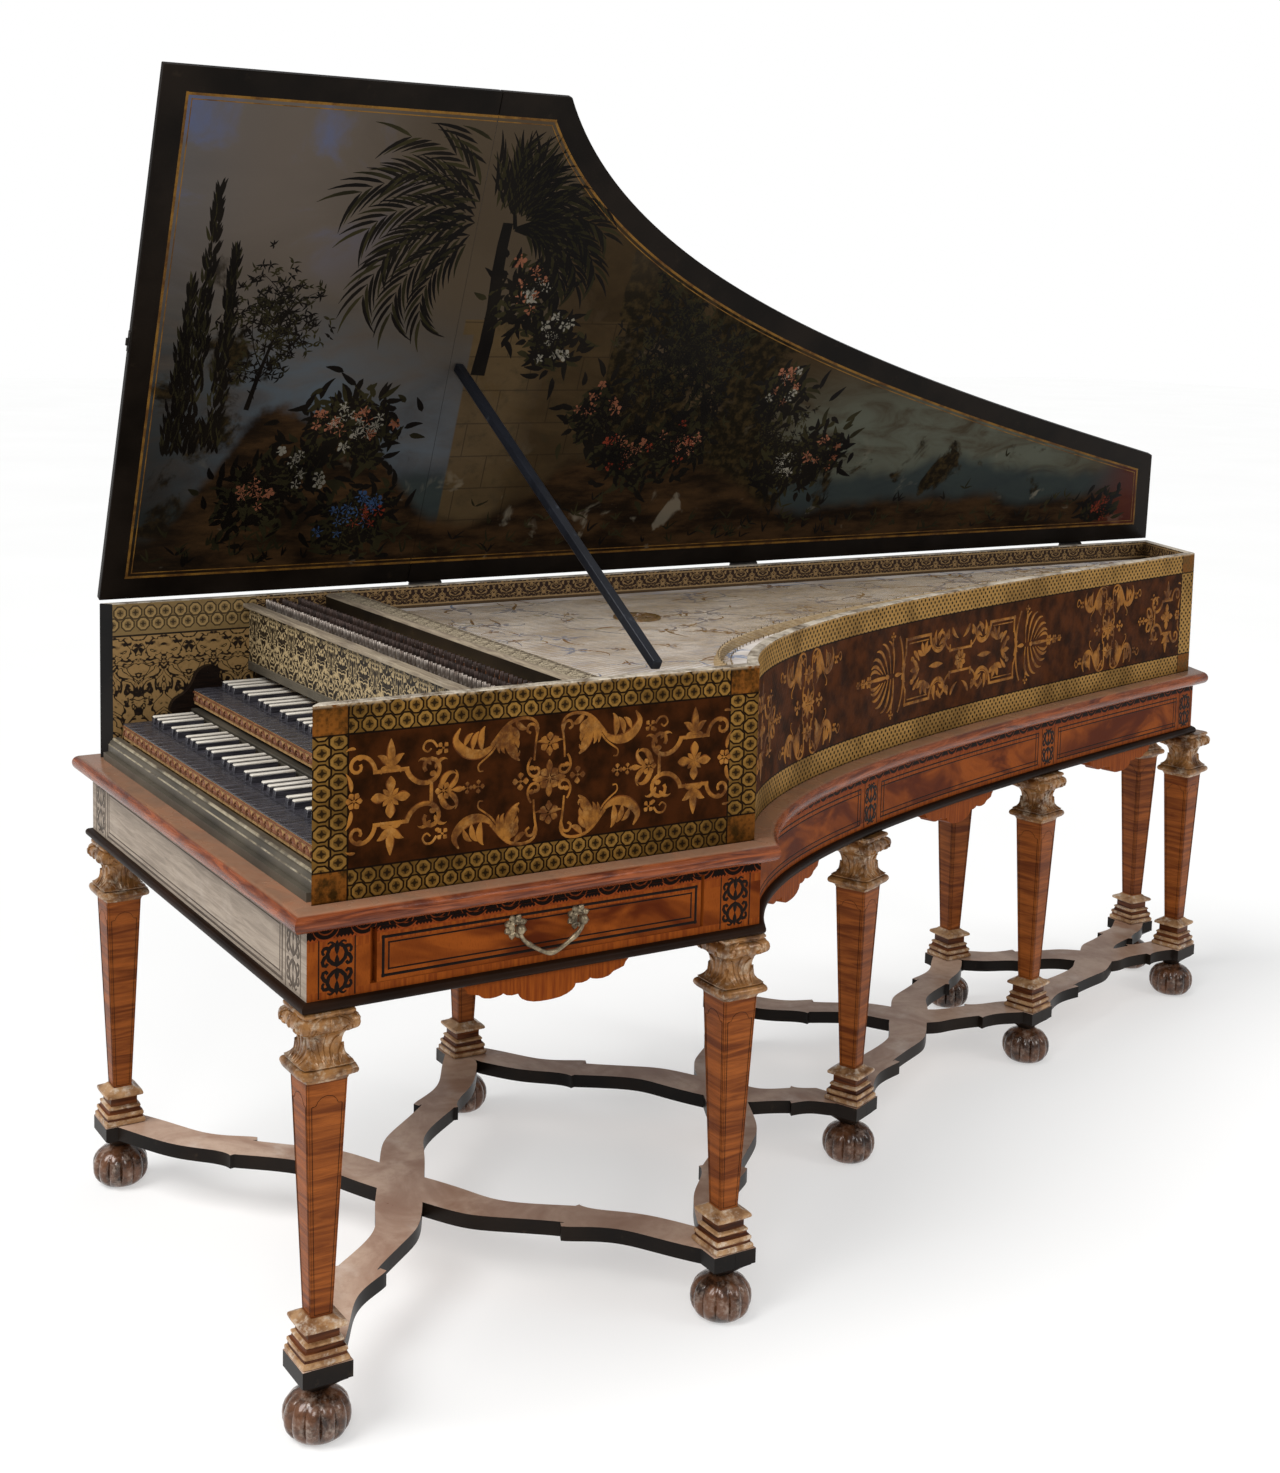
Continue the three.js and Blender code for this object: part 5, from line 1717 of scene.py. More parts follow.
@dataclass
class CaseWalls:
    """The four painted walls of the case; cut is the width of their worn top edges."""

    cut: float = 0.0012

    def wall(self, side: Side, finishes: Sequence[Finish], node: str, slot: str) -> None:
        """Makes one wall; finishes are outer face, top edge and inner face.

        Args:
            side: the side of the case.
            finishes: finishes of outer face, top edge and inner face.
            node: the wall that it replaces.
            slot: the node's slot.
        """
        line = WallLine(side)
        inside, cut = PLAN.wall, self.cut
        section = np.array([[0, PLAN.floor], [0, PLAN.top - cut], [-cut, PLAN.top],
                            [cut - inside, PLAN.top], [-inside, PLAN.top - cut], [-inside, PLAN.floor]])
        skin = sweep(line.path, section, slot=np.array([0, 1, 1, 1, 2, 2]), offsets=line.out)
        make_piece(node + "_wall", skin, finishes, replaces=[node], slot=slot)

    def make(self) -> None:
        """Makes all the walls."""
        self.wall(Side.CHEEK, [CHEEK_PAINT, RUBBED, CHEEK_INNER], "cheek", "case_painted")
        self.wall(Side.BENTSIDE, [BENT_PAINT, RUBBED, BENT_INNER], "bentside", "case_painted")
        self.wall(Side.TAIL, [TAIL_PAINT, RUBBED, BENT_INNER], "tail", "case_painted")
        self.wall(Side.SPINE, [EBONISED, RUBBED, SPINE_INNER], "spine", "case_black")


@dataclass
class Stand:
    """Rails, pendants and mouldings of the stand.

    drop is how far the pendants hang and back how deep the rails lie behind the case's face.
    The pendant's rows are shares of its half width and of its drop, for its left half.
    """

    pendant = np.array([
        [-1, 0], [-0.95, 0.16], [-0.93, 0.3], [-0.87, 0.36], [-0.8, 0.42], [-0.77, 0.5], [-0.74, 0.55],
        [-0.67, 0.59], [-0.6, 0.58], [-0.54, 0.54], [-0.52, 0.5], [-0.48, 0.58], [-0.42, 0.62],
        [-0.37, 0.61], [-0.34, 0.6], [-0.33, 0.7], [-0.3, 0.8], [-0.24, 0.9], [-0.16, 0.97], [-0.08, 0.995],
        [0, 1]])
    shares = np.vstack([pendant, (pendant * [-1, 1])[-2::-1]])
    drop: float = 0.040
    back: float = 0.014

    def bottom(self, along: np.ndarray, middles: Sequence[float], half: float) -> np.ndarray:
        """Level of a rail's lower edge: lobes hang as shares of the drop about each middle.

        Args:
            along: places along the rail.
            middles: places of the pendants' middles.
            half: half width of a pendant.

        Returns:
            A level for each place.
        """
        level = np.full(len(along), PLAN.stand)
        for middle in middles:
            share = (along - middle) / half
            level -= self.drop * np.interp(share, self.shares[:, 0], self.shares[:, 1], left=0, right=0)
        return level

    def rail(self, side: Side, node: str, middles: Sequence[float], half: float,
             hole: Optional[tuple[float, float, float, float]] = None) -> None:
        """Makes one rail as a board with rows of levels, open where a drawer enters.

        Args:
            side: side of the stand.
            node: the rail's node.
            middles: distances along of the pendants' middles.
            half: half width of a pendant.
            hole: start, end, lowest and highest level of the drawer's mouth.
        """
        line = WallLine(side)
        places = [line.along]
        for middle in middles:
            places.append(middle + self.shares[:, 0] * half)
        if hole:
            places.append(np.array(hole[:2]))
        along = np.unique(np.round(np.concatenate(places), 6))
        path = np.column_stack([np.interp(along, line.along, line.path[:, axis]) for axis in (0, 1)])
        out = np.column_stack([np.interp(along, line.along, line.out[:, axis]) for axis in (0, 1)])
        low, high = (hole[2], hole[3]) if hole else (PLAN.stand + 0.03, PLAN.rail_top - 0.02)
        levels = np.column_stack([self.bottom(along, middles, half), np.full(len(along), low),
                                  np.full(len(along), high), np.full(len(along), PLAN.rail_top)])
        faces = []
        for reach in (PLAN.proud, -self.back):
            plan = np.repeat((path + out * reach)[:, None], 4, axis=1)
            faces.append(np.concatenate([plan, levels[..., None]], axis=2))
        uv = np.stack([np.repeat(along[:, None], 4, axis=1), levels], axis=-1)
        skins = []
        if hole:
            first, last = [int(np.argmin(abs(along - place))) for place in hole[:2]]
        for points in faces:
            if hole:
                skins += [Skin.sheet(points[:first + 1], uv[:first + 1]),
                          Skin.sheet(points[last:], uv[last:]),
                          Skin.sheet(points[first:last + 1, :2], uv[first:last + 1, :2]),
                          Skin.sheet(points[first:last + 1, 2:], uv[first:last + 1, 2:])]
            else:
                skins.append(Skin.sheet(points, uv))
        for row in (0, 3):
            edge = np.stack([faces[0][:, row], faces[1][:, row]])
            skins.append(Skin.sheet(edge, uv[:, [row, row]].transpose(1, 0, 2)))
        for end in (0, -1):
            side_ring = np.stack([faces[0][end], faces[1][end]])
            skins.append(Skin.sheet(side_ring, np.stack([uv[end], uv[end]])))
        if hole:
            for row in (1, 2):
                edge = np.stack([faces[0][first:last + 1, row], faces[1][first:last + 1, row]])
                skins.append(Skin.sheet(edge))
            for col in (first, last):
                skins.append(Skin.sheet(np.stack([faces[0][col, 1:3], faces[1][col, 1:3]])))
        # The front rail takes the pale grey veneer: faded wood with painted glare.
        finish = FADED_AND_GLARE if side is Side.FRONT else PANEL
        make_piece(node + "_board", Skin.joined(skins), [finish], replaces=[node], slot="walnut_veneer")

    def moulding(self, node: str, name: str, section: Sequence, finish: Finish, slot: str) -> None:
        """Carries a section once round the whole case.

        Args:
            node: the node that it replaces.
            name: the piece's name.
            section: pairs of distance out and level.
            finish: its finish.
            slot: the node's slot.
        """
        outline = PLAN.outline()
        skin = sweep(outline, np.asarray(section, float), closed=True, offsets=mitres(outline, True))
        make_piece(name, skin, [finish], replaces=[node], slot=slot, smooth=50)

    def make(self) -> None:
        """Makes the rails and both mouldings."""
        stations = PLAN.stations()
        middles = [(one + two) / 2 for one, two in zip(stations[:-1], stations[1:])]
        self.rail(Side.FRONT, "rail_front", [], 0.1)
        self.rail(Side.CHEEK, "rail_cheek", [0.335], 0.125, (0.0835, 0.5765, 0.6005, 0.6735))
        self.rail(Side.BENTSIDE, "rail_bentside", middles, 0.120)
        self.rail(Side.TAIL, "rail_tail", [], 0.1)
        self.rail(Side.SPINE, "rail_spine", [], 0.1)
        turn = np.radians(np.linspace(90, -90, 13))
        nose = np.column_stack([0.024 + 0.0125 * np.cos(turn), 0.6965 + 0.0125 * np.sin(turn)])
        self.moulding("top_moulding", "top_half_round",
                      np.vstack([[[-0.04, 0.684], [-0.04, 0.709]], nose]), RED_TOP, "red_moulding")
        turn = np.radians(np.linspace(90, -60, 7))
        bead = np.column_stack([0.013 + 0.007 * np.cos(turn), 0.583 + 0.007 * np.sin(turn)])
        self.moulding("base_moulding", "base_black_moulding",
                      np.vstack([[[0.010, 0.576], [0.010, 0.590]], bead]), BASE_BLACK, "case_black")


class Corner(Enum):
    """Legs by name: plan place, turn in radians."""

    cheek_front = (0.860, 0.020, 0.0)
    cheek_back = (0.860, 0.650, 0.0)
    bent_front = (0.529, 1.143, 0.395)
    bent_back = (0.336, 1.7325, 0.267)
    tail = (0.197, 2.283, 0.24)
    spine_front = (0.030, 0.020, 0.0)
    spine_second = (0.030, 0.650, 0.0)
    spine_middle = (0.030, 1.233, 0.0)
    spine_fourth = (0.030, 1.797, 0.0)
    spine_back = (0.030, 2.329, 0.0)


def square_ring(half: Union[float, np.ndarray], level: float, cut: float = 0.12, count: int = 8,
                bulge: float = 0.0) -> np.ndarray:
    """Ring of a square with rounded corners.

    Args:
        half: half side.
        level: level of the ring.
        cut: share of the half side that each corner's curve takes.
        count: points along each side between the curves.
        bulge: outward bow of each side as a share of the half side.

    Returns:
        The ring, as n×3 places about the leg's axis.
    """
    corners = []
    for quarter in range(4):
        angle = np.linspace(-math.pi / 4, math.pi / 4, count)
        flat = np.tan(angle)
        out = 1 + bulge * (1 - flat ** 2)
        corner = np.column_stack([out, flat * (1 - cut * 0.3 * np.abs(flat) ** 6)])
        corner[:, 0] -= cut * 0.3 * np.abs(flat) ** 6
        corners.append((corner @ spin(quarter * math.pi / 2))[:-1] * half)
    ring = np.vstack(corners)
    return np.column_stack([ring, np.full(len(ring), level)])


@dataclass
class Legs:
    """Ten legs with carved capitals, tapered shafts and stepped plinths, on gadrooned balls.

    The profiles' rows are shares of height and of half width: the capital's run down, the
    others up. Recesses are the plinth's wooden parts, between pairs of levels.
    """

    capital = np.array([
        [0.0, 0.88], [0.025, 0.93], [0.055, 0.93], [0.065, 0.87], [0.085, 0.87], [0.095, 0.93], [0.12, 0.995],
        [0.155, 1.035], [0.20, 1.05], [0.245, 1.03], [0.275, 0.985], [0.295, 0.92], [0.305, 0.84],
        [0.315, 0.76], [0.335, 0.70], [0.38, 0.635], [0.44, 0.59], [0.50, 0.572], [0.56, 0.575],
        [0.62, 0.605], [0.67, 0.66], [0.715, 0.735], [0.75, 0.83], [0.765, 0.90], [0.775, 0.90], [0.78, 0.84],
        [0.795, 0.84], [0.80, 0.93], [0.82, 0.985], [0.85, 1.015], [0.88, 1.015], [0.91, 0.98],
        [0.925, 0.92], [0.93, 0.83], [0.95, 0.80], [0.965, 0.76], [1.0, 0.735]])
    plinth = np.array([
        [1.0, 0.53], [0.95, 0.62], [0.90, 0.79], [0.885, 0.90], [0.86, 0.95], [0.81, 0.965], [0.78, 0.94],
        [0.765, 0.86], [0.75, 0.72], [0.73, 0.70], [0.52, 0.70], [0.50, 0.80], [0.485, 0.84], [0.45, 0.85],
        [0.43, 0.82], [0.42, 0.80], [0.34, 0.84], [0.325, 0.92], [0.30, 0.965], [0.24, 0.975], [0.215, 0.94],
        [0.20, 0.93], [0.14, 0.95], [0.12, 1.02], [0.09, 1.045], [0.02, 1.04], [0.0, 1.0]])
    recesses = ((0.51, 0.75), (0.33, 0.425), (0.13, 0.205))
    ball = np.array([
        [0.0, 0.45], [0.015, 0.56], [0.05, 0.70], [0.12, 0.83], [0.22, 0.93], [0.34, 0.985], [0.47, 1.0],
        [0.60, 0.98], [0.71, 0.92], [0.80, 0.82], [0.87, 0.70], [0.92, 0.56], [0.955, 0.44], [1.0, 0.36]])
    neck = np.array([
        [0.0, 0.30], [0.10, 0.36], [0.22, 0.42], [0.60, 0.72], [0.86, 0.93], [0.90, 1.0], [1.0, 1.0]])
    top: float = 0.5758
    base: float = 0.4830
    foot_level: float = 0.166
    cap_half: float = 0.040
    shaft_half: float = 0.028
    ankle_half: float = 0.0150
    plinth_half: float = 0.032
    plinth_low: float = 0.1083
    plinth_rise: float = 0.0587
    ball_radius: float = 0.0450
    ball_height: float = 0.0655
    neck_half: float = 0.0315
    lobes: int = 12

    def outline(self, level: np.ndarray) -> np.ndarray:
        """Half width of the capital at a level."""
        drop = (self.top - level) / (self.top - self.base)
        return self.cap_half * np.interp(drop, self.capital[:, 0], self.capital[:, 1])

    def leg(self, corner: Corner) -> None:
        """Makes one leg: slots are carving, shaft, plinth, stringing and the plinth's wooden recesses.

        Args:
            corner: which leg.
        """
        across, along, turn = corner.value
        cap = loft(np.stack([square_ring(self.cap_half * share, self.top - (self.top - self.base) * drop,
                                         0.2, 9) for drop, share in self.capital]))
        stations = ((0, self.base), (0.03, 0.474), (0.5, 0.325), (1, self.foot_level))
        shaft = loft(np.stack([square_ring(self.shaft_half * (1 - part) + self.ankle_half * part, level, 0.08)
                               for part, level in stations]), slot=1)
        middles = (self.plinth[1:, 0] + self.plinth[:-1, 0]) / 2
        wooden = np.any([(middles > low) & (middles < high) for low, high in self.recesses], axis=0)
        plinth = loft(np.stack([square_ring(self.plinth_half * share,
                                            self.plinth_low + self.plinth_rise * level, 0.12)
                                for level, share in self.plinth]), slot=np.where(wooden, 4, 2))
        skin = Skin.joined([cap, shaft, plinth, self.carving(), self.stringing()])
        make_piece("carved_leg_" + corner.name, self.turned(skin, across, along, turn),
                   [GILT, SHAFT_WOOD, PLINTH_GILT, INLAY, RECESS_WOOD], replaces=["leg_" + corner.name],
                   slot="gilt_wood", smooth=32)

    def around(self, strokes: Strokes, half: Callable, lift: float, slot: int, dome: float) -> Skin:
        """Lays strokes, given as place across and level, on all four faces of a leg.

        Args:
            strokes: strokes of one face.
            half: the leg's half width as a function of level.
            lift: height of the strokes.
            slot: their finish.
            dome: height of their ridge as a share of the lift.

        Returns:
            The strokes on four faces.
        """
        skins = []
        for quarter in range(4):
            cosine, sine = round(math.cos(quarter * math.pi / 2)), round(math.sin(quarter * math.pi / 2))

            def face(pairs: np.ndarray, heights: np.ndarray) -> np.ndarray:
                """Puts places at the leg's half width plus their height, kept off its edges.

                Args:
                    pairs: places across and levels.
                    heights: a height for each.

                Returns:
                    The points.
                """
                reach = half(pairs[..., 1])
                out = reach + heights
                side = np.clip(pairs[..., 0], -0.9 * reach, 0.9 * reach)
                return np.stack([out * cosine - side * sine, out * sine + side * cosine,
                                 pairs[..., 1]], axis=-1)
            skins.append(strokes.skin(face, lift, 0.0012, slot, dome))
        return Skin.joined(skins)

    def carving(self) -> Skin:
        """Leaves on the capital's neck and curls on its roll, on all four faces.

        Returns:
            The carving, about the leg's axis.
        """
        leaves = Strokes(12)
        for side in (-1, 1):
            leaves.leaf((side * 0.006, 0.5065), 90 - side * 6, 0.036, 0.0042, side * 6, side * -60, 0.45)
            leaves.leaf((side * 0.015, 0.5065), 90 - side * 12, 0.026, 0.0036, side * -14, side * -50, 0.45)
            leaves.add(curl((side * 0.006, 0.5705), 90 - side * 90, 0.074, side * -120, side * -500, 30),
                       taper(0.0016, 0.0026, 30))
            leaves.dot((side * 0.0262, 0.5600), 0.0034)
        leaves.leaf((0, 0.5065), 90, 0.040, 0.0052, peak=0.42)
        leaves.leaf((0, 0.5680), -90, 0.018, 0.0040, peak=0.5)
        return self.around(leaves, self.outline, 0.0012, 0, 1.5)

    def stringing(self) -> Skin:
        """Dark line down each edge of the shaft, and a thin arched panel line within.

        Returns:
            The lines, about the leg's axis.
        """
        lines, thin = Strokes(12), 0.00042
        for side in (-1, 1):
            lines.add(np.array([(side * (self.shaft_half - 0.0011), self.base - 0.001),
                                (side * (self.ankle_half - 0.0008), 0.1672)]), 0.0010)
            lines.add(np.array([(side * 0.0205, 0.4465), (side * 0.0105, 0.1700)]), thin)
        half = [(-0.0205, 0.4465), (-0.0205, 0.4515), (-0.0150, 0.4525), (-0.0125, 0.4580),
                (-0.0075, 0.4625), (0.0, 0.4642)]
        arch = half + [(-across, level) for across, level in half[-2::-1]]
        for one, two in zip(arch[:-1], arch[1:]):
            lines.add(np.array([one, two]), thin)
        lines.add(np.array([(-0.0105, 0.1702), (0.0105, 0.1702)]), thin)

        def half_width(level: np.ndarray) -> np.ndarray:
            """The shaft's half width, which runs evenly from its foot to the capital."""
            share = (level - self.foot_level) / (self.base - self.foot_level)
            return self.ankle_half + (self.shaft_half - self.ankle_half) * share
        return self.around(lines, half_width, 0.00012, 3, 1.0)

    def foot(self, corner: Corner) -> None:
        """Makes one foot: a dark square neck on a ball whose radius swells in twelve lobes.

        Args:
            corner: which leg.
        """
        across, along, turn = corner.value
        angle = np.arange(120) / 120 * TURN
        rows = []
        for level, share in self.ball:
            depth = 0.15 * math.sin(math.pi * min(max((level - 0.04) / 0.86, 0.0), 1.0)) ** 0.8
            wave = 1 - depth * (1 - np.abs(np.cos(self.lobes * angle / 2)) ** 0.55)
            radius = self.ball_radius * share * wave
            rows.append(np.column_stack([radius * np.cos(angle), radius * np.sin(angle),
                                         np.full(len(angle), self.ball_height * level)]))
        neck = loft(np.stack([square_ring(self.neck_half * share, 0.0630 + 0.0217 * level, 0.1)
                              for level, share in self.neck]), slot=1)
        skin = Skin.joined([loft(np.stack(rows)), neck])
        make_piece("ball_foot_" + corner.name, self.turned(skin, across, along, turn),
                   [BALL_GILT, BLOCK_BLACK], replaces=["foot_" + corner.name], slot="gilt_wood", smooth=40)

    @staticmethod
    def turned(skin: Skin, across: float, along: float, turn: float) -> Skin:
        """Turns a skin about its own axis and moves it to its plan place.

        Args:
            skin: the skin, about its own axis.
            across: plan place across.
            along: plan place along.
            turn: turn in radians.

        Returns:
            The skin in its place.
        """
        cosine, sine = math.cos(turn), math.sin(turn)

        def move(points: np.ndarray) -> np.ndarray:
            """Turns and shifts every point."""
            return np.column_stack([across + points[:, 0] * cosine - points[:, 1] * sine,
                                    along + points[:, 0] * sine + points[:, 1] * cosine, points[:, 2]])
        return skin.placed(move)

    def make(self) -> None:
        """Makes every leg and foot."""
        for corner in Corner:
            self.leg(corner)
            self.foot(corner)


def union_plate(outlines: Sequence[np.ndarray], low: float, high: float,
                slots: tuple[int, int] = (0, 1)) -> Skin:
    """Flat body whose plan is the union of several outlines; slots are faces and edges.

    The outlines are cut into triangles together. An edge that only one kept triangle has is
    on the union's border, and gets a side.

    Args:
        outlines: closed outlines, each anticlockwise.
        low: lower level.
        high: upper level.
        slots: finishes of the flat faces and of the sides.

    Returns:
        The body.
    """
    points = [Vector(point) for outline in outlines for point in outline]
    starts = np.cumsum([0] + [len(outline) for outline in outlines])
    rings = [list(range(start, end)) for start, end in zip(starts[:-1], starts[1:])]
    found, _, faces, _, _, owners = delaunay_2d_cdt(points, [], rings, 1, 1e-6)
    kept = np.array([face for face, owner in zip(faces, owners) if owner])
    flat = np.array([point[:] for point in found])
    turned_way = np.cross(flat[kept[:, 1]] - flat[kept[:, 0]], flat[kept[:, 2]] - flat[kept[:, 0]])
    kept[turned_way < 0] = kept[turned_way < 0][:, ::-1]
    edges = np.concatenate([kept[:, [0, 1]], kept[:, [1, 2]], kept[:, [2, 0]]])
    known = {tuple(edge) for edge in edges}
    rim = np.array([edge for edge in edges if (edge[1], edge[0]) not in known])
    count = len(flat)
    places = np.concatenate([np.column_stack([flat, np.full(count, level)]) for level in (low, high)])
    sides = np.column_stack([rim[:, 0], rim[:, 1], rim[:, 1] + count, rim[:, 0] + count])
    corners = np.concatenate([kept[:, ::-1].reshape(-1), (kept + count).reshape(-1), sides.reshape(-1)])
    sizes = np.concatenate([np.full(2 * len(kept), 3), np.full(len(sides), 4)])
    finishes = np.concatenate([np.full(2 * len(kept), slots[0]), np.full(len(sides), slots[1])])
    chosen = places[corners]
    return Skin(places, corners, sizes, chosen[:, :2] + chosen[:, 2:], finishes)


@dataclass
class Cross:
    """One stretcher: its node, middle shares, corner legs and which of them it shares."""

    node: str
    middle: tuple[float, float]
    corners: tuple[Corner, Corner, Corner, Corner]
    shared: tuple[bool, bool, bool, bool]


@dataclass
class Stretchers:
    """Four flat crosses with stepped, curved arms between the legs.

    The arm's rows are shares of the way to the leg, across and along, and of its half breadth.
    """

    arm = np.array([
        [0, 0, 1.25], [0.23, 0.154, 1.25], [0.334, 0.235, 1.07], [0.4165, 0.348, 0.95], [0.5055, 0.497, 0.98],
        [0.535, 0.53, 1], [0.545, 0.54, 1.36], [0.609, 0.622, 1.07], [0.679, 0.7285, 1.02],
        [0.788, 0.832, 1.1], [1, 1, 1]])
    half: float = 0.028
    low: float = 0.0852
    high: float = 0.1078
    pad: float = 0.0335
    meeting: float = 0.00015

    def edge(self, middle: np.ndarray, reach: np.ndarray) -> np.ndarray:
        """Outline of one arm: smooth through its stations, with the step between two of them.

        Both halves, before and behind the step, are cubic through their stations; the breadth
        runs square to the arm's diagonal.

        Args:
            middle: the hub's plan place.
            reach: distances across and along to the leg, with their signs.

        Returns:
            Plan points of the arm's edge.
        """
        parts = []
        for rows in (self.arm[:6], self.arm[6:]):
            share = np.linspace(0, 1, 28)
            place = np.linspace(0, 1, len(rows))
            fit = np.polyfit(place, rows, len(rows) - 1)
            parts.append(np.stack([np.polyval(fit[:, axis], share) for axis in range(3)], axis=1))
        line = np.vstack(parts)
        sideways = np.array([reach[1], -reach[0]]) / np.linalg.norm(reach) * self.half
        centre = middle + line[:, :2] * reach
        return np.vstack([centre + line[:, 2:] * sideways, (centre - line[:, 2:] * sideways)[::-1]])

    def make(self) -> None:
        """Makes the four crosses."""
        leg = Corner
        rows = [
            Cross("front", (0.521, 0.483),
                  (leg.cheek_front, leg.cheek_back, leg.spine_second, leg.spine_front),
                  (False, True, True, False)),
            Cross("second", (0.557, 0.586),
                  (leg.cheek_back, leg.bent_front, leg.spine_middle, leg.spine_second),
                  (True, True, True, True)),
            Cross("third", (0.603, 0.518),
                  (leg.bent_front, leg.bent_back, leg.spine_fourth, leg.spine_middle),
                  (True, True, True, True)),
            Cross("back", (0.6545, 0.563), (leg.bent_back, leg.tail, leg.spine_back, leg.spine_fourth),
                  (True, False, False, True))]
        for cross in rows:
            self.cross(cross)

    def cross(self, cross: Cross) -> None:
        """Makes one cross: hub, four arms and four pads in one outline.

        Args:
            cross: the cross.
        """
        legs = np.array([corner.value[:2] for corner in cross.corners])
        outer, spine = (legs[0] + legs[1]) / 2, (legs[2] + legs[3]) / 2
        front, back = (legs[0] + legs[3]) / 2, (legs[1] + legs[2]) / 2
        middle = np.array([spine[0] + cross.middle[0] * (outer[0] - spine[0]),
                           front[1] + cross.middle[1] * (back[1] - front[1])])
        hub = np.array([[1, -0.1], [0.45, -1], [-0.45, -1], [-1, -0.1], [-1, 0.1], [-0.45, 1], [0.45, 1],
                        [1, 0.1]]) * [0.077, 0.062] + middle
        outlines = [rounded(hub, 0.014, 5)]
        for corner, place, shared in zip(cross.corners, legs, cross.shared):
            reach = place - middle
            away = math.copysign(1.0, reach[1])
            turned = spin(corner.value[2])
            far = -self.meeting if shared else self.pad
            ring = np.array([(-self.pad, -0.036), (self.pad, -0.036), (self.pad, far), (-self.pad, far)])
            pad = (ring * [1, away]) @ turned + place
            arm = self.edge(middle, reach)
            if shared:
                ahead = np.array([0.0, away]) @ turned
                over = np.maximum((arm - place) @ ahead - far, 0)[:, None]
                arm = arm - over * ahead
            outlines += [self.anticlockwise(arm), self.anticlockwise(pad)]
        skin = union_plate(outlines, self.low, self.high)
        make_piece("cross_" + cross.node, skin, [STRETCHER_WOOD, BLOCK_BLACK],
                   replaces=["stretcher_" + cross.node], slot="stretcher_veneer", bevel=0.0012)

    @staticmethod
    def anticlockwise(outline: np.ndarray) -> np.ndarray:
        """The outline, turned round if it runs clockwise.

        Args:
            outline: n×2 points, once round.

        Returns:
            The same points, anticlockwise.
        """
        following = np.roll(outline, -1, axis=0)
        area = np.sum(outline[:, 0] * following[:, 1] - following[:, 0] * outline[:, 1])
        return outline if area > 0 else outline[::-1]


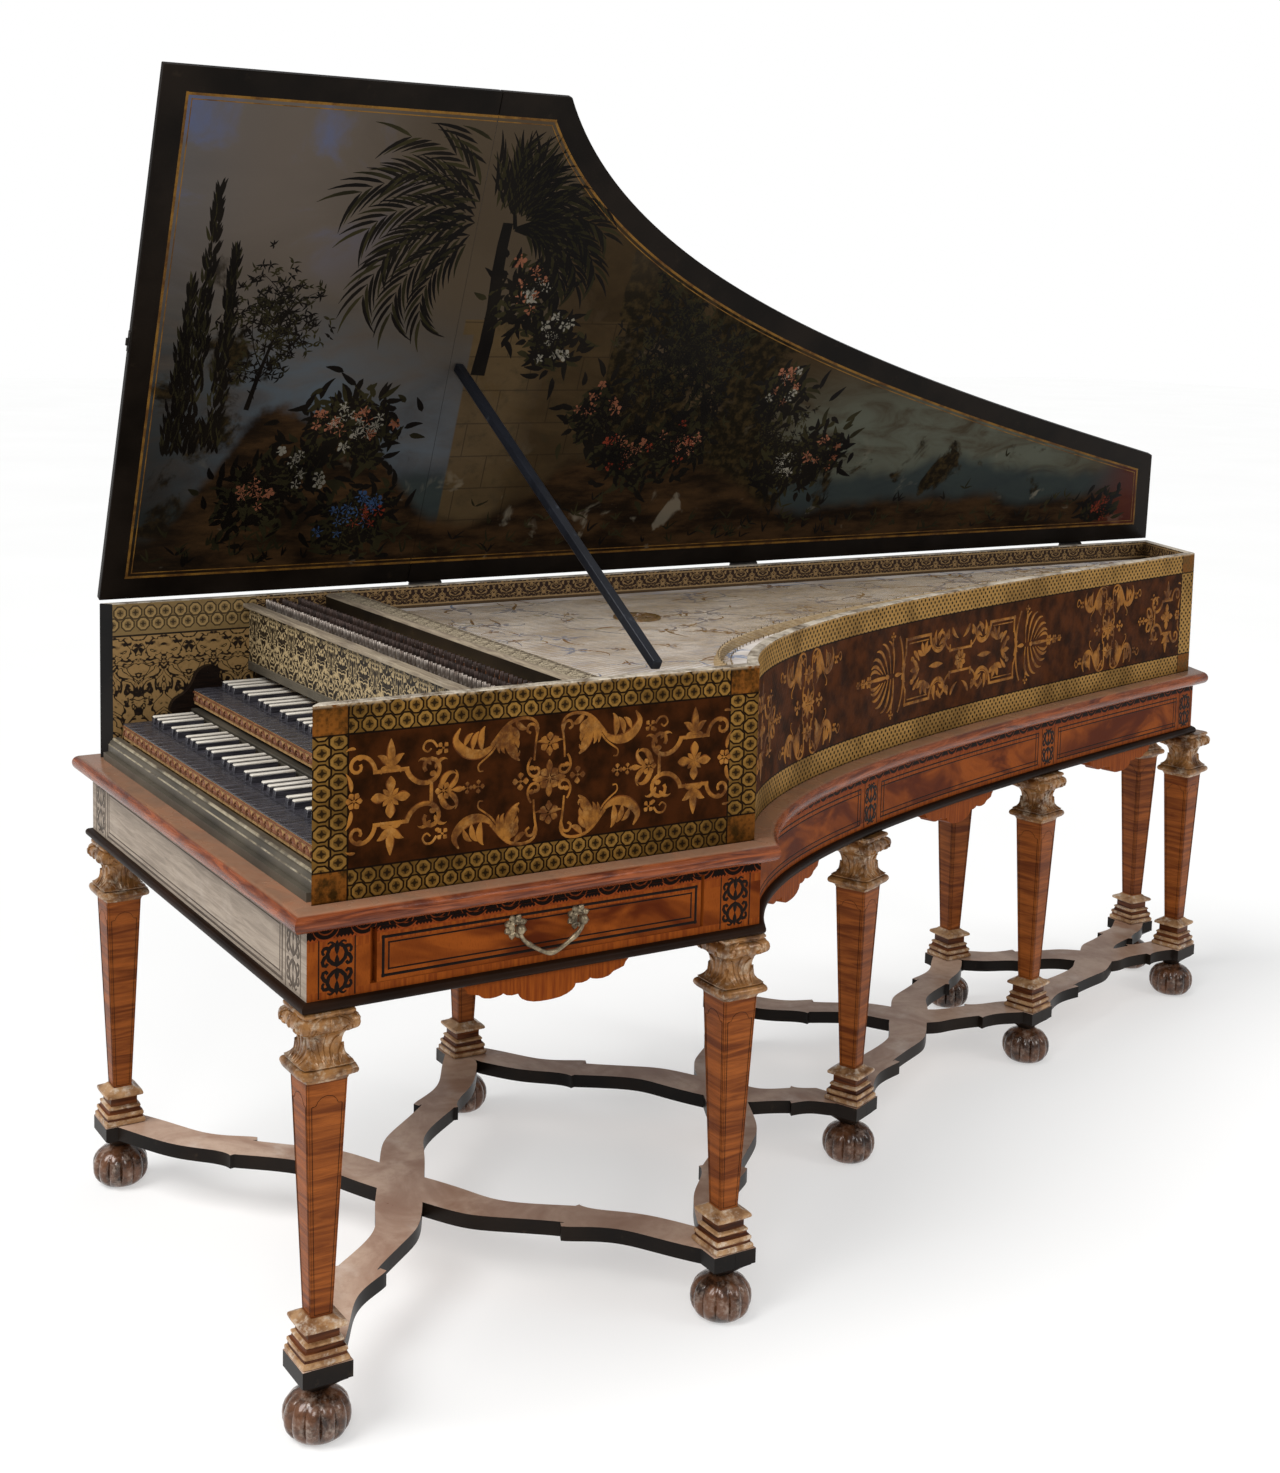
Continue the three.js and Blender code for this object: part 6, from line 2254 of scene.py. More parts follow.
@dataclass
class Lid:
    """Both leaves of the lid, laid out closed and then turned open about the hinge line.

    low and high are the boards' faces above the case's top, split is where they meet, gap is
    half the cut between them and paint the picture's lift.
    """

    open_degrees: float = 68.1
    low: float = 0.0003
    high: float = 0.0133
    split: float = 0.545
    border: float = 0.040
    standoff: float = 0.004
    gap: float = 0.0003
    paint: float = 0.00008

    def opened(self, points: np.ndarray) -> np.ndarray:
        """Turns points from the closed lid, x from the hinge line and z from the case's top.

        Args:
            points: places on the closed lid.

        Returns:
            The same places on the open lid.
        """
        turn = math.radians(self.open_degrees)
        cosine, sine = math.cos(turn), math.sin(turn)
        return np.stack([
            points[..., 0] * cosine - points[..., 2] * sine - self.standoff, points[..., 1],
            points[..., 0] * sine + points[..., 2] * cosine + PLAN.top], axis=-1)

    def under(self, pairs: np.ndarray, heights: np.ndarray) -> np.ndarray:
        """Places on the picture side of the lid, heights being towards the case."""
        level = self.low - self.paint - heights
        return self.opened(np.stack([pairs[..., 0], pairs[..., 1], level], axis=-1))

    def leaf(self, outline: np.ndarray, name: str, node: str, body: str) -> None:
        """Makes one black board."""
        skin = plate(outline, self.low, self.high)
        make_piece(name, skin.placed(self.opened), [LID_BLACK], body, [node], "case_black", bevel=0.0015)

    def picture(self, outline: np.ndarray, name: str, body: str) -> None:
        """Makes the picture of one leaf as a thin skin on its underside."""
        skin = plate(outline, self.low - self.paint, self.low + 0.0008)
        make_piece(name, skin.placed(self.opened), [LID_PICTURE], body, slot="lid_painting")

    def lines(self, path: np.ndarray, name: str, body: str) -> None:
        """Lays the double ochre line round one leaf's picture.

        Args:
            path: n×2 points, from end to end.
            name: the piece's name.
            body: the body that carries it.
        """
        out = mitres(path)
        strokes = Strokes(4)
        for inset, half in ((0.0, 0.0028), (-0.0075, 0.0012)):
            ring = path + out * inset
            for one, two in zip(ring[:-1], ring[1:]):
                past = (two - one) / max(np.linalg.norm(two - one), TINY) * half
                strokes.add(np.array([one, two + past]), half)
        skin = strokes.skin(self.under, 0.00006, 0.0003)
        make_piece(name, skin, [LID_LINE], body, slot="lid_painting", smooth=60)

    def make(self) -> None:
        """Makes both boards, their pictures and lines, the stick and the hook's plate."""
        whole = PLAN.outline() + [self.standoff, 0]
        inner = whole - mitres(whole, True) * self.border
        left, right, split, gap = self.standoff, PLAN.width + self.standoff, self.split, self.gap
        near, far = left + self.border, right - self.border
        main = np.vstack([[[left, split + gap], [right, split + gap]], whole[2:]])
        flap = np.array([[left, 0], [right, 0], [right, split - gap], [left, split - gap]])
        self.leaf(main, "main_leaf", "lid_main", "lid")
        self.leaf(flap, "front_flap", "lid_flap", "flap")
        bent = inner[2:]
        bent = bent[(bent[:, 1] >= bent[0, 1]) & ((bent[:, 0] > bent[-2, 0]) | (bent[:, 0] <= near))
                    | (np.arange(len(bent)) == len(bent) - 2)]
        start, end = split + 0.0005, split - 0.003
        self.picture(np.vstack([[[near, split + gap], [far, split + gap]], bent]), "main_picture", "lid")
        self.picture(np.array([[near, self.border], [far, self.border], [far, split - gap],
                               [near, split - gap]]), "flap_picture", "flap")
        self.lines(np.vstack([[[far, start]], bent, [[near, start]]]), "main_gold_line", "lid")
        self.lines(np.array([[near, end], [near, self.border], [far, self.border], [far, end]]),
                   "flap_gold_line", "flap")
        self.trees()
        self.stick()
        self.hook()

    def trees(self) -> None:
        """Paints a palm, trees, tufts and flowering bushes over the picture, as thin strokes."""
        rng = np.random.default_rng(21)
        sets = {kind: Strokes(6) for kind in ("dark", "leaf", "rose", "scarlet", "pale", "blue")}

        def frond(foot: Sequence, heading: float, length: float, droop: float) -> None:
            """Adds a palm's frond: a drooping spine with blades on both sides.

            Args:
                foot: where it starts.
                heading: direction at its foot, in degrees.
                length: its length.
                droop: how far it bends down, in degrees.
            """
            spine = curl(foot, heading, length, droop * 0.5, droop * 0.6, 16)
            sets["dark"].add(spine, taper(0.0042, 0.0012, 16))
            for place in range(2, 15):
                ahead = heading + droop * 0.5 * place / 16 + droop * 0.6 * (place / 16) ** 3
                for side in (-1, 1):
                    kind = "leaf" if (place + side) % 3 == 0 else "dark"
                    sets[kind].leaf(spine[place], ahead + side * 26, length * 0.26, 0.0036, droop * 0.4)
        for turn in range(13):
            frond((0.66, 0.585), -112 + turn * 12, 0.23 + 0.03 * (turn % 3), -96 + turn * 4)
            frond((0.66, 0.615), 104 - turn * 10, 0.17 + 0.02 * (turn % 3), 90 - turn * 4)
        sets["dark"].add(through([(0.40, 0.60), (0.50, 0.605), (0.60, 0.598), (0.67, 0.60)]),
                         taper(0.016, 0.011, 24))

        def tree(foot: Sequence, height: float, spread: float, boughs: int) -> None:
            """Adds a tree: trunk, boughs and tufts of blades about them.

            Args:
                foot: the trunk's foot.
                height: the trunk's length.
                spread: reach of its boughs.
                boughs: number of its boughs.
            """
            trunk = curl(foot, rng.uniform(-12, 12), height, rng.uniform(-14, 14), 10, 20)
            sets["dark"].add(trunk, taper(height * 0.026, height * 0.006, 20))
            for bough in range(boughs):
                start = trunk[int((0.3 + 0.7 * bough / boughs) * 19)]
                arm = curl(start, rng.uniform(-75, 75), spread * rng.uniform(0.5, 1.0),
                           rng.uniform(-50, 50), 0, 8)
                sets["dark"].add(arm, taper(height * 0.007, height * 0.002, 8))
                for _ in range(22):
                    spot = arm[rng.integers(2, 8)] + rng.normal(0, spread * 0.17, 2)
                    kind = "leaf" if rng.random() < 0.35 else "dark"
                    for _ in range(5):
                        sets[kind].leaf(spot, rng.uniform(0, 360), spread * rng.uniform(0.06, 0.14),
                                        spread * 0.016, rng.uniform(-60, 60))
        for foot, height, spread, boughs in (((0.24, 0.95), 0.30, 0.13, 14), ((0.22, 1.10), 0.26, 0.13, 12),
                                             ((0.34, 0.20), 0.20, 0.10, 12), ((0.15, 1.27), 0.16, 0.08, 8)):
            tree(foot, height, spread, boughs)
        for along, top in ((0.108, 0.70), (0.148, 0.60), (0.085, 0.55)):
            for blade in range(260):
                share = rng.uniform(0, 1)
                width = 0.016 * (1 - share) ** 0.6
                spot = (0.26 + (top - 0.26) * share, along + rng.uniform(-width, width))
                sets["leaf" if blade % 5 == 0 else "dark"].leaf(spot, rng.uniform(-22, 22), 0.026, 0.0030)
        for patch in range(170):
            spot = (0.052 + abs(rng.normal(0, 0.04)), rng.uniform(0.07, 2.1))
            kind = "leaf" if patch % 3 else "dark"
            for _ in range(3):
                sets[kind].leaf(spot, rng.uniform(-50, 90), rng.uniform(0.01, 0.03), 0.0022,
                                rng.uniform(-60, 60))
        bushes = (
            (0.33, 0.36, "rose", "pale"), (0.24, 0.31, "pale", "dark"), (0.19, 0.23, "rose", "dark"),
            (0.15, 0.44, "blue", "scarlet"), (0.30, 0.42, "pale", "rose"), (0.56, 0.66, "rose", "pale"),
            (0.47, 0.73, "pale", "pale"), (0.34, 0.85, "rose", "leaf"), (0.25, 0.93, "rose", "scarlet"),
            (0.27, 1.03, "rose", "scarlet"), (0.37, 1.25, "rose", "pale"), (0.22, 1.29, "pale", "leaf"),
            (0.25, 1.37, "rose", "leaf"), (0.13, 0.40, "blue", "dark"), (0.08, 2.17, "scarlet", "dark"))
        for high, along, first, second in bushes:
            for blade in range(130):
                spot = np.array([high - 0.012, along]) + rng.normal(0, 0.030, 2)
                sets["leaf" if blade % 3 == 0 else "dark"].leaf(
                    spot, rng.uniform(0, 360), rng.uniform(0.020, 0.044), 0.0062, rng.uniform(-70, 70))
            for bud in range(13):
                spot = np.array([high, along]) + rng.normal(0, 0.020, 2)
                kind = first if bud % 3 else second
                reach, turn = rng.uniform(0.0085, 0.0135), rng.uniform(0, 72)
                sets[kind].flower(spot, reach, 5, turn, 0.46)
                sets["dark" if bud % 2 else kind].flower(spot, reach * 0.45, 5, turn + 36, 0.40)
        for kind, finish in (("leaf", LEAFAGE), ("dark", BOUGH), ("rose", ROSE), ("scarlet", SCARLET),
                             ("pale", PALE_PAINT), ("blue", BLUE_PAINT)):
            self.split_strokes(sets[kind], kind, finish)

    def split_strokes(self, strokes: Strokes, kind: str, finish: Finish) -> None:
        """Lays strokes that keep inside one leaf's picture on that leaf.

        Args:
            strokes: the strokes.
            kind: what they are, as a part of the pieces' names.
            finish: their finish.
        """
        whole = PLAN.bent() + [self.standoff, 0]
        for name, body, low, high in (("flap", "flap", 0.050, self.split - 0.003),
                                      ("main", "lid", self.split + 0.003, 2.26)):
            kept = Strokes(strokes.count)
            for line, half in zip(strokes.lines, strokes.halves):
                edge = np.interp(line[:, 1], whole[:, 1], whole[:, 0], left=PLAN.width)
                if (line[:, 1].min() > low and line[:, 1].max() < high and line[:, 0].min() > 0.056
                        and np.all(line[:, 0] < edge - self.border - 0.012)):
                    kept.add(line, half)
            if kept.lines:
                skin = kept.skin(self.under, 0.00010, 0.00002, thin=True)
                make_piece(name + "_painted_" + kind, skin, [finish], body, slot="lid_painting", smooth=60)

    def hook(self) -> None:
        """Makes the hook's plate, eye and screws on the flap's front edge."""
        plates = boxes([(0.436, 0.470, -0.0014, 0.0002, 0.0024, 0.0112),
                        (0.447, 0.459, -0.0050, -0.0010, 0.0050, 0.0086)], 0.0005)
        head = [(-0.0022, 0.0004), (-0.0021, 0.0020), (-0.0012, 0.0024)]
        screws = [lathe(head, (place, 0, 0.0068), 1, 10) for place in (0.4405, 0.4655)]
        make_piece("flap_hook_plate", Skin.joined([plates] + screws).placed(self.opened), [IRON], "flap",
                   slot="iron", smooth=40)

    def stick(self) -> None:
        """Makes the lid stick in rubbed dark paint, slimmed about its axis, with paler paint as a painted
        highlight on the faces that look towards the cheek.
        """
        skin = node_skin("lid_stick")
        middle = skin.points.mean(axis=0)
        axis = np.linalg.svd(skin.points - middle, full_matrices=False)[2][0]
        core = middle + ((skin.points - middle) @ axis)[:, None] * axis
        skin.points = core + (skin.points - core) * 0.82
        corners = np.split(skin.corners, np.cumsum(skin.sizes)[:-1])
        slots = []
        for ring in corners:
            edge = skin.points[ring]
            normal = np.cross(edge[1] - edge[0], edge[2] - edge[0])
            normal /= np.linalg.norm(normal)
            # Faces that look towards the cheek take the paler paint, a painted highlight.
            slots.append(1 if normal[0] > 0.6 and abs(normal @ axis) < 0.7 else 0)
        skin.slots = np.array(slots)
        make_piece("lid_prop", skin, [STICK, STICK_PAINTED_HIGHLIGHT], "stick", ["lid_stick"], "stick_paint",
                   bevel=0.002)


@dataclass
class Arabesque:
    """Gilt arabesques of the walls, drawn about a centre in millimetres.

    count is the number of points of a stroke.
    """

    count: int = 20

    def scrolls(self) -> Strokes:
        """One quarter of an acanthus pair: stem, leaf bunch, crescent and buds.

        Returns:
            The strokes, in millimetres.
        """
        part = Strokes(self.count)
        part.add(through([(23, 26), (22, 42), (20, 58), (18, 70), (24, 80), (38, 84), (54, 82), (67, 74),
                          (77, 63), (86, 52)]), taper(1.8, 3.6, 30))
        part.add(through([(19, 62), (23, 73), (31, 74), (34, 67), (29, 63)]), taper(2.8, 2.2, 20))
        part.add(curl((27, 30), -48, 54, -140, -230, 24), taper(2.0, 3.0, 24))
        part.dot((26.5, 16), 4.2)
        part.leaf((61, 81), -88, 58, 10.5, -14, -50, 0.42)
        for foot, heading, length, half, bend in (
                ((52, 83), -118, 24, 5.2, -36), ((57, 74), -138, 22, 5.0, 30), ((57, 63), -140, 21, 4.8, 30),
                ((58, 51), -138, 19, 4.4, 30), ((60, 40), -128, 20, 4.0, -80), ((66, 76), -62, 30, 5.0, -36),
                ((66, 62), -58, 24, 4.4, -40), ((72, 70), -70, 30, 4.6, -20)):
            part.leaf(foot, heading, length, half, bend, bend, 0.5)
        part.add(through([(80, 56), (92, 46), (106, 42), (121, 45), (133, 54), (139, 66), (132, 79)]),
                 swell(9.0, 24, 0.5, 0.16))
        for foot, heading, length, half, bend in (((100, 46), 74, 34, 6.2, 30), ((114, 48), 88, 27, 5.4, 30),
                                                  ((126, 54), 104, 22, 4.6, 30)):
            part.leaf(foot, heading, length, half, bend, bend, 0.5)
        part.add(through([(79, 52), (86, 43), (96, 35), (105, 28), (104, 20), (98, 20)]),
                 taper(1.8, 1.3, 24))
        part.flower((156, 56), 9.0, 4, 45, 0.46)
        part.add(through([(164, 58), (171, 66), (180, 66), (184, 58), (178, 53), (173, 57)]),
                 taper(2.2, 1.5, 24))
        return part

    def bracket(self) -> Strokes:
        """One quarter of the outer strapwork: bar, scrolls and palmette, about its flower.

        Returns:
            The strokes, in millimetres.
        """
        part = Strokes(self.count)
        part.polyline([(-22, 34), (21, 34)], 3.3)
        part.add(curl((-22, 34), -108, 106, -190, -200, 34), taper(4.4, 3.4, 34))
        part.dot((-59, 24), 4.8)
        part.add(curl((21, 34), 84, 78, -160, -240, 30), taper(3.8, 2.8, 30))
        part.dot((42, 54), 4.2)
        for heading, length, half in ((90, 38, 7.4), (62, 26, 6.0), (118, 26, 6.0), (20, 18, 4.0),
                                      (160, 18, 4.0)):
            part.leaf((0, 37), heading, length, half, (heading - 90) * 0.9, (heading - 90) * 0.9, 0.5)
        part.leaf((-62, 30), 104, 24, 3.8, 60, 60)
        part.leaf((-56, 36), 56, 22, 3.6, -50, -60)
        part.dot((-66, 50), 3.4)
        part.leaf((54, 12), 96, 26, 3.8, -46)
        part.leaf((48, 66), 20, 14, 2.6, -60)
        return part

    def mid(self) -> Strokes:
        """Pieces on the level line by the outer strapwork, about its flower.

        Returns:
            The strokes, in millimetres.
        """
        part = Strokes(self.count)
        for heading in (0, 90, 180, 270):
            part.leaf((0, 0), heading, 27, 8.4, peak=0.64)
            part.leaf((0, 0), heading + 45, 15, 4.0, peak=0.6)
        part.flower((50, 0), 11.5, 6, 0, 0.42)
        part.flower((-74, 0), 12, 6, 0, 0.44)
        part.polyline([(-57, 12), (-57, -12)], 3.0)
        for side in (-1, 1):
            part.leaf((-70, 4 * side), side * 100, 34, 5.4, side * 46, side * 90)
            part.leaf((-80, 2 * side), side * 150, 30, 4.6, side * -40, side * -70)
        part.leaf((-84, 0), 180, 20, 5.0, peak=0.6)
        part.flower((-108, 0), 8, 4, 0, 0.46)
        part.flower((-124, 0), 9, 4, 0, 0.46)
        return part

    def heart(self) -> Strokes:
        """Rosettes and leaves on the middle line of an acanthus pair.

        Returns:
            The strokes, in millimetres.
        """
        part = Strokes(self.count)
        part.flower((0, 0), 17, 4, 45, 0.44)
        for heading in (0, 90, 180, 270):
            part.leaf((0, 0), heading, 25, 6.0, peak=0.66)
        for side in (-1, 1):
            part.flower((0, 47 * side), 15, 6, 30, 0.42)
            part.flower((43 * side, 0), 12, 4, 0, 0.46)
            part.leaf((0, 30 * side), 90 * side, 12, 3.4)
            for lean in (-1, 1):
                part.leaf((0, 47 * side), 90 + lean * 62, 21, 3.6, lean * 40)
        return part

    def cartouche(self) -> Strokes:
        """One quarter of the bentside's strapwork frame and the fan beside it.

        Returns:
            The strokes, in millimetres.
        """
        part = Strokes(self.count)
        part.polyline([(104, 57), (186, 57), (186, 32)], 3.3)
        part.polyline([(112, 49), (178, 49)], 1.4)
        part.add(curl((186, 34), -62, 52, -50, 0), 3.0)
        part.add(curl((210, 66), -122, 80, 46, 0), 3.0)
        part.add(curl((104, 57), -90, 118, -190, -170, 36), taper(4.4, 3.4, 36))
        part.add(curl((96, 50), -92, 66, -180, 0, 24), 1.6)
        part.dot((66, 30), 5.0)
        part.polyline([(0, 20), (36, 20), (36, 28)], 3.0)
        part.add(curl((36, 22), 20, 62, 90, 260, 26), taper(3.0, 2.2, 26))
        for foot, heading, length, half, bend in (
                ((40, 60), -70, 38, 6.4, 60), ((30, 62), -110, 32, 5.4, -50), ((84, 36), 60, 28, 6.4, 60),
                ((52, 42), 10, 24, 5.0, -60), ((160, 34), -150, 28, 5.4, 30), ((62, 62), -30, 24, 4.4, -60)):
            part.leaf(foot, heading, length, half, bend)
        for heading in (10, 52, 94, 130):
            part.leaf((122, 22), heading, 27, 6.6, 30, peak=0.6)
        part.dot((164, 20), 6.0)
        part.flower((232, 68), 8, 4, 0, 0.44)
        part.leaf((232, 60), -90, 22, 3.2)
        fan = ((96, 66), (84, 68), (70, 64), (56, 56), (42, 46), (28, 36))
        for place, (heading, length) in enumerate(fan):
            part.add(curl((228 + 9 * place, 4 + place * 0.8), heading, length, -14, -70, 20),
                     swell(4.0, 20, 0.62, 0.3))
        return part

    def axis(self) -> Strokes:
        """Pieces on the level line of the bentside's frame, for one half.

        Returns:
            The strokes, in millimetres.
        """
        part = Strokes(self.count)
        for heading in (0, 40, -40):
            part.leaf((140, 0), heading, 30, 6.6, peak=0.55)
        part.leaf((60, 0), 0, 46, 6.6, peak=0.5)
        part.leaf((222, 0), 180, 24, 5.0)
        part.dot((248, 0), 6)
        part.leaf((246, 0), 0, 72, 4.4, peak=0.4)
        for place, size in ((312, 11), (332, 9), (350, 7)):
            part.flower((place, 0), size, 6, 0, 0.44)
        return part

    def cheek(self, centre: Sequence) -> Strokes:
        """The whole cheek: an acanthus pair between two flowered brackets.

        Args:
            centre: distance along the side and level of the middle.

        Returns:
            The strokes, in metres.
        """
        quarter = Strokes(self.count).merged(self.scrolls()).merged(self.bracket(), (229, 0))
        quarter.mirrored(1, 0.0)
        quarter.merged(self.mid(), (229, 0)).mirrored(0, 0.0)
        quarter.merged(self.heart())
        return Strokes(self.count).merged(quarter, centre, 0.001)

    def bentside(self, centre: Sequence) -> Strokes:
        """The whole bentside: the frame, two acanthus pairs and two end brackets.

        Args:
            centre: distance along the side and level of the middle.

        Returns:
            The strokes, in metres.
        """
        pair = Strokes(self.count).merged(self.scrolls()).mirrored(1, 0.0).mirrored(0, 0.0)
        pair.lines = [line * [0.66, 1.0] for line in pair.lines]
        pair.halves = [half * 0.86 for half in pair.halves]
        pair.merged(self.heart())
        end = Strokes(self.count).merged(self.bracket()).mirrored(1, 0.0).merged(self.mid())
        end.lines = [line * [0.86, 1.0] for line in end.lines]
        half = Strokes(self.count).merged(self.cartouche()).mirrored(1, 0.0).merged(self.axis())
        half.merged(pair, (534, 0)).merged(end, (764, 0))
        half.mirrored(0, 0.0)
        half.flower((0, 0), 19, 8, 22.5, 0.36)
        return Strokes(self.count).merged(half, centre, 0.001)


def two_tone(skin: Skin, strokes: int, rows: int) -> Skin:
    """Gives the right-hand flank of every stroke its second finish.

    Args:
        skin: relief of strokes.
        strokes: number of strokes.
        rows: number of points of each.

    Returns:
        The same relief with two finishes.
    """
    sides = np.tile([0, 0, 0, 1, 0], rows - 1)
    skin.slots = np.tile(np.concatenate([sides, [0, 0]]), strokes)
    return skin


@dataclass
class WallPainting:
    """Gilt ornament laid on the outer faces of cheek and bentside, lift above the wall."""

    lift: float = 0.00035

    def lay(self, name: str, side: Side, strokes: Strokes) -> None:
        """Lays a set of strokes on one side.

        Args:
            name: the piece's name.
            side: the side of the case.
            strokes: strokes by distance along and level.
        """
        line = WallLine(side)
        skin = strokes.skin(line.face(PLAN.floor), self.lift, 0.0004)
        skin = two_tone(skin, len(strokes.lines), strokes.count)
        make_piece(name, skin, [GOLD_LEAF, GOLD_SHADE], slot="case_painted", smooth=60)

    def make(self) -> None:
        """Lays both sides."""
        drawn = Arabesque()
        self.lay("cheek_arabesques", Side.CHEEK, drawn.cheek((0.335, 0.126)))
        self.lay("bentside_arabesques", Side.BENTSIDE, drawn.bentside((0.905, 0.126)))


@dataclass
class Marquetry:
    """Dark inlay of the rails: panel lines, scrolled blocks and the drawer's frame.

    low and high are the levels of the panels' outer lines, inset how far inside them the
    second lines run and past how far the blocks' sides pass them.
    """

    low: float = 0.5985
    high: float = 0.6595
    inset: float = 0.0078
    past: float = 0.003

    def frame(self, strokes: Strokes, start: float, end: float, low: float, high: float) -> None:
        """Adds a double rectangle of lines.

        Args:
            strokes: the set that the lines are added to.
            start: place of one end.
            end: place of the other end.
            low: level of the lower line.
            high: level of the upper line.
        """
        for inset, half in ((0.0, 0.0024), (self.inset, 0.0013)):
            left, right, foot, head = start + inset, end - inset, low + inset, high - inset
            strokes.polyline([(left, foot), (right, foot), (right, head), (left, head), (left, foot)], half)

    def block(self, strokes: Strokes, middle: float, half: float, low: float, high: float) -> None:
        """Adds one scrolled block: crossed straps, curls and spears between two upright lines.

        Args:
            strokes: the set that the block is added to.
            middle: place of the block's middle.
            half: its half width.
            low: level of its foot.
            high: level of its head.
        """
        for side in (middle - half, middle + half):
            strokes.polyline([(side, low - self.past), (side, high + self.past)], 0.0011)
        rise, wide = (high - low) / 2, half * 0.84
        part = Strokes(strokes.count)

        def drawn(points: Sequence, halves: Union[float, np.ndarray]) -> None:
            """Adds a smooth stroke through shares of the block's half sizes."""
            part.add(through(np.asarray(points, float) * [wide, rise]), halves)
        drawn([(0.0, 0.10), (0.34, 0.20), (0.62, 0.44), (0.52, 0.74), (0.18, 0.90)], 0.0033)
        drawn([(0.60, 0.50), (0.86, 0.40), (0.96, 0.20), (0.76, 0.10), (0.60, 0.20)],
              taper(0.0035, 0.0027, 24))
        drawn([(0.50, 0.74), (0.80, 0.80), (0.96, 0.66), (0.84, 0.54)], taper(0.0034, 0.0022, 24))
        drawn([(0.16, 0.88), (0.40, 1.00), (0.62, 0.94)], taper(0.0024, 0.0012, 24))
        part.mirrored(1, 0.0).mirrored(0, 0.0)
        for heading in (90, -90):
            part.leaf((0, 0), heading, rise * 0.5, 0.0040, peak=0.5)
            part.leaf((0, rise * math.copysign(0.5, heading)), heading, rise * 0.55, 0.0044, peak=0.5)
        strokes.merged(part, (middle, (low + high) / 2))

    def lay(self, name: str, side: Side, strokes: Strokes, finish: Finish = INLAY) -> None:
        """Lays a set of lines on one rail.

        Args:
            name: the piece's name.
            side: the side of the case.
            strokes: lines by distance along and level.
            finish: their finish.
        """
        line = WallLine(side)
        shifted = Strokes(strokes.count)
        shifted.lines = [path - [0, PLAN.stand] for path in strokes.lines]
        shifted.halves = strokes.halves
        skin = shifted.skin(line.face(PLAN.stand, 0.0101), 0.00016, 0.0004)
        body = "drawer" if name.startswith("drawer") else "root"
        make_piece(name, skin, [finish], body, slot="walnut_veneer", smooth=60)

    def make(self) -> None:
        """Lays the inlay of every side."""
        cheek = Strokes(6)
        for middle in (0.0305, 0.633):
            self.block(cheek, middle, 0.0245, self.low - self.past, self.high + self.past)
        self.lay("cheek_rail_inlay", Side.CHEEK, cheek)
        drawer = Strokes(6)
        self.frame(drawer, 0.0935, 0.5665, 0.6085, 0.6585)
        self.lay("drawer_inlay", Side.CHEEK, drawer)
        bent = Strokes(8)
        stops = PLAN.stations()
        stops[-1] -= 0.026
        for stop in stops[1:]:
            self.block(bent, stop, 0.0225, self.low - self.past, self.high + self.past)
        for start, end in zip(stops[:-1], stops[1:]):
            places = np.linspace(max(start, 0.02) + 0.036, end - 0.036, 25)
            for level, half in ((self.low, 0.0015), (self.high, 0.0015), (self.low + self.inset, 0.0011),
                                (self.high - self.inset, 0.0011)):
                for one, two in zip(places[:-1], places[1:]):
                    bent.add(np.array([(one - 0.0005, level), (two + 0.0005, level)]), half)
            for place in (places[0], places[-1], places[0] + 0.009, places[-1] - 0.009):
                bent.polyline([(place, self.low), (place, self.high)], 0.0013)
        self.lay("bentside_rail_inlay", Side.BENTSIDE, bent)
        front = Strokes(6)
        self.frame(front, 0.070, 0.810, self.low - 0.002, self.high + 0.014)
        for middle in (0.034, 0.846):
            self.block(front, middle, 0.0245, self.low - self.past, self.high + 0.015)
        # The front's inlay is pale: faded, with painted glare.
        self.lay("front_rail_inlay", Side.FRONT, front, FADED_AND_GLARE_INLAY)
        for side, name in ((Side.TAIL, "tail_rail_inlay"), (Side.SPINE, "spine_rail_inlay")):
            plain = Strokes(6)
            length = WallLine(side).length
            count = 1 if side is Side.TAIL else 4
            for bay in range(count):
                self.frame(plain, length * bay / count + 0.04, length * (bay + 1) / count - 0.04,
                           self.low, self.high)
            self.lay(name, side, plain)


def bar(section: np.ndarray, left: float, right: float, slot: Union[int, np.ndarray] = 0) -> Skin:
    """A section of places along and levels, carried straight across the case."""
    flipped = np.asarray(section, float) * [-1, 1]
    return sweep(np.array([[left, 0.0], [right, 0.0]]), flipped, slot=slot)


def boxes(rows: Sequence, cut: float = 0.0008, slot: int = 0) -> Skin:
    """Chamfered boxes from rows of left, right, front, back, bottom and top."""
    table = np.asarray(rows, float)
    return chamfered_boxes(table[:, [0, 2, 4]], table[:, [1, 3, 5]], cut, slot)


def lathe(profile: Sequence, middle: Sequence, axis: int, sides: int = 24, slot: int = 0) -> Skin:
    """Turned body: pairs of place along an axis and radius, about a point.

    Args:
        profile: pairs of place along the axis and radius.
        middle: the point they count from.
        axis: which axis it turns about.
        sides: sides of a ring.
        slot: its finish.

    Returns:
        The body.
    """
    shape = np.asarray(profile, float)
    angle = np.arange(sides) / sides * TURN
    rings = np.zeros((len(shape), sides, 3))
    first, second = [(axis + 1) % 3, (axis + 2) % 3]
    rings[..., axis] = shape[:, :1] + middle[axis]
    rings[..., first] = shape[:, 1:] * np.cos(angle) + middle[first]
    rings[..., second] = shape[:, 1:] * np.sin(angle) + middle[second]
    return loft(rings, slot=slot)


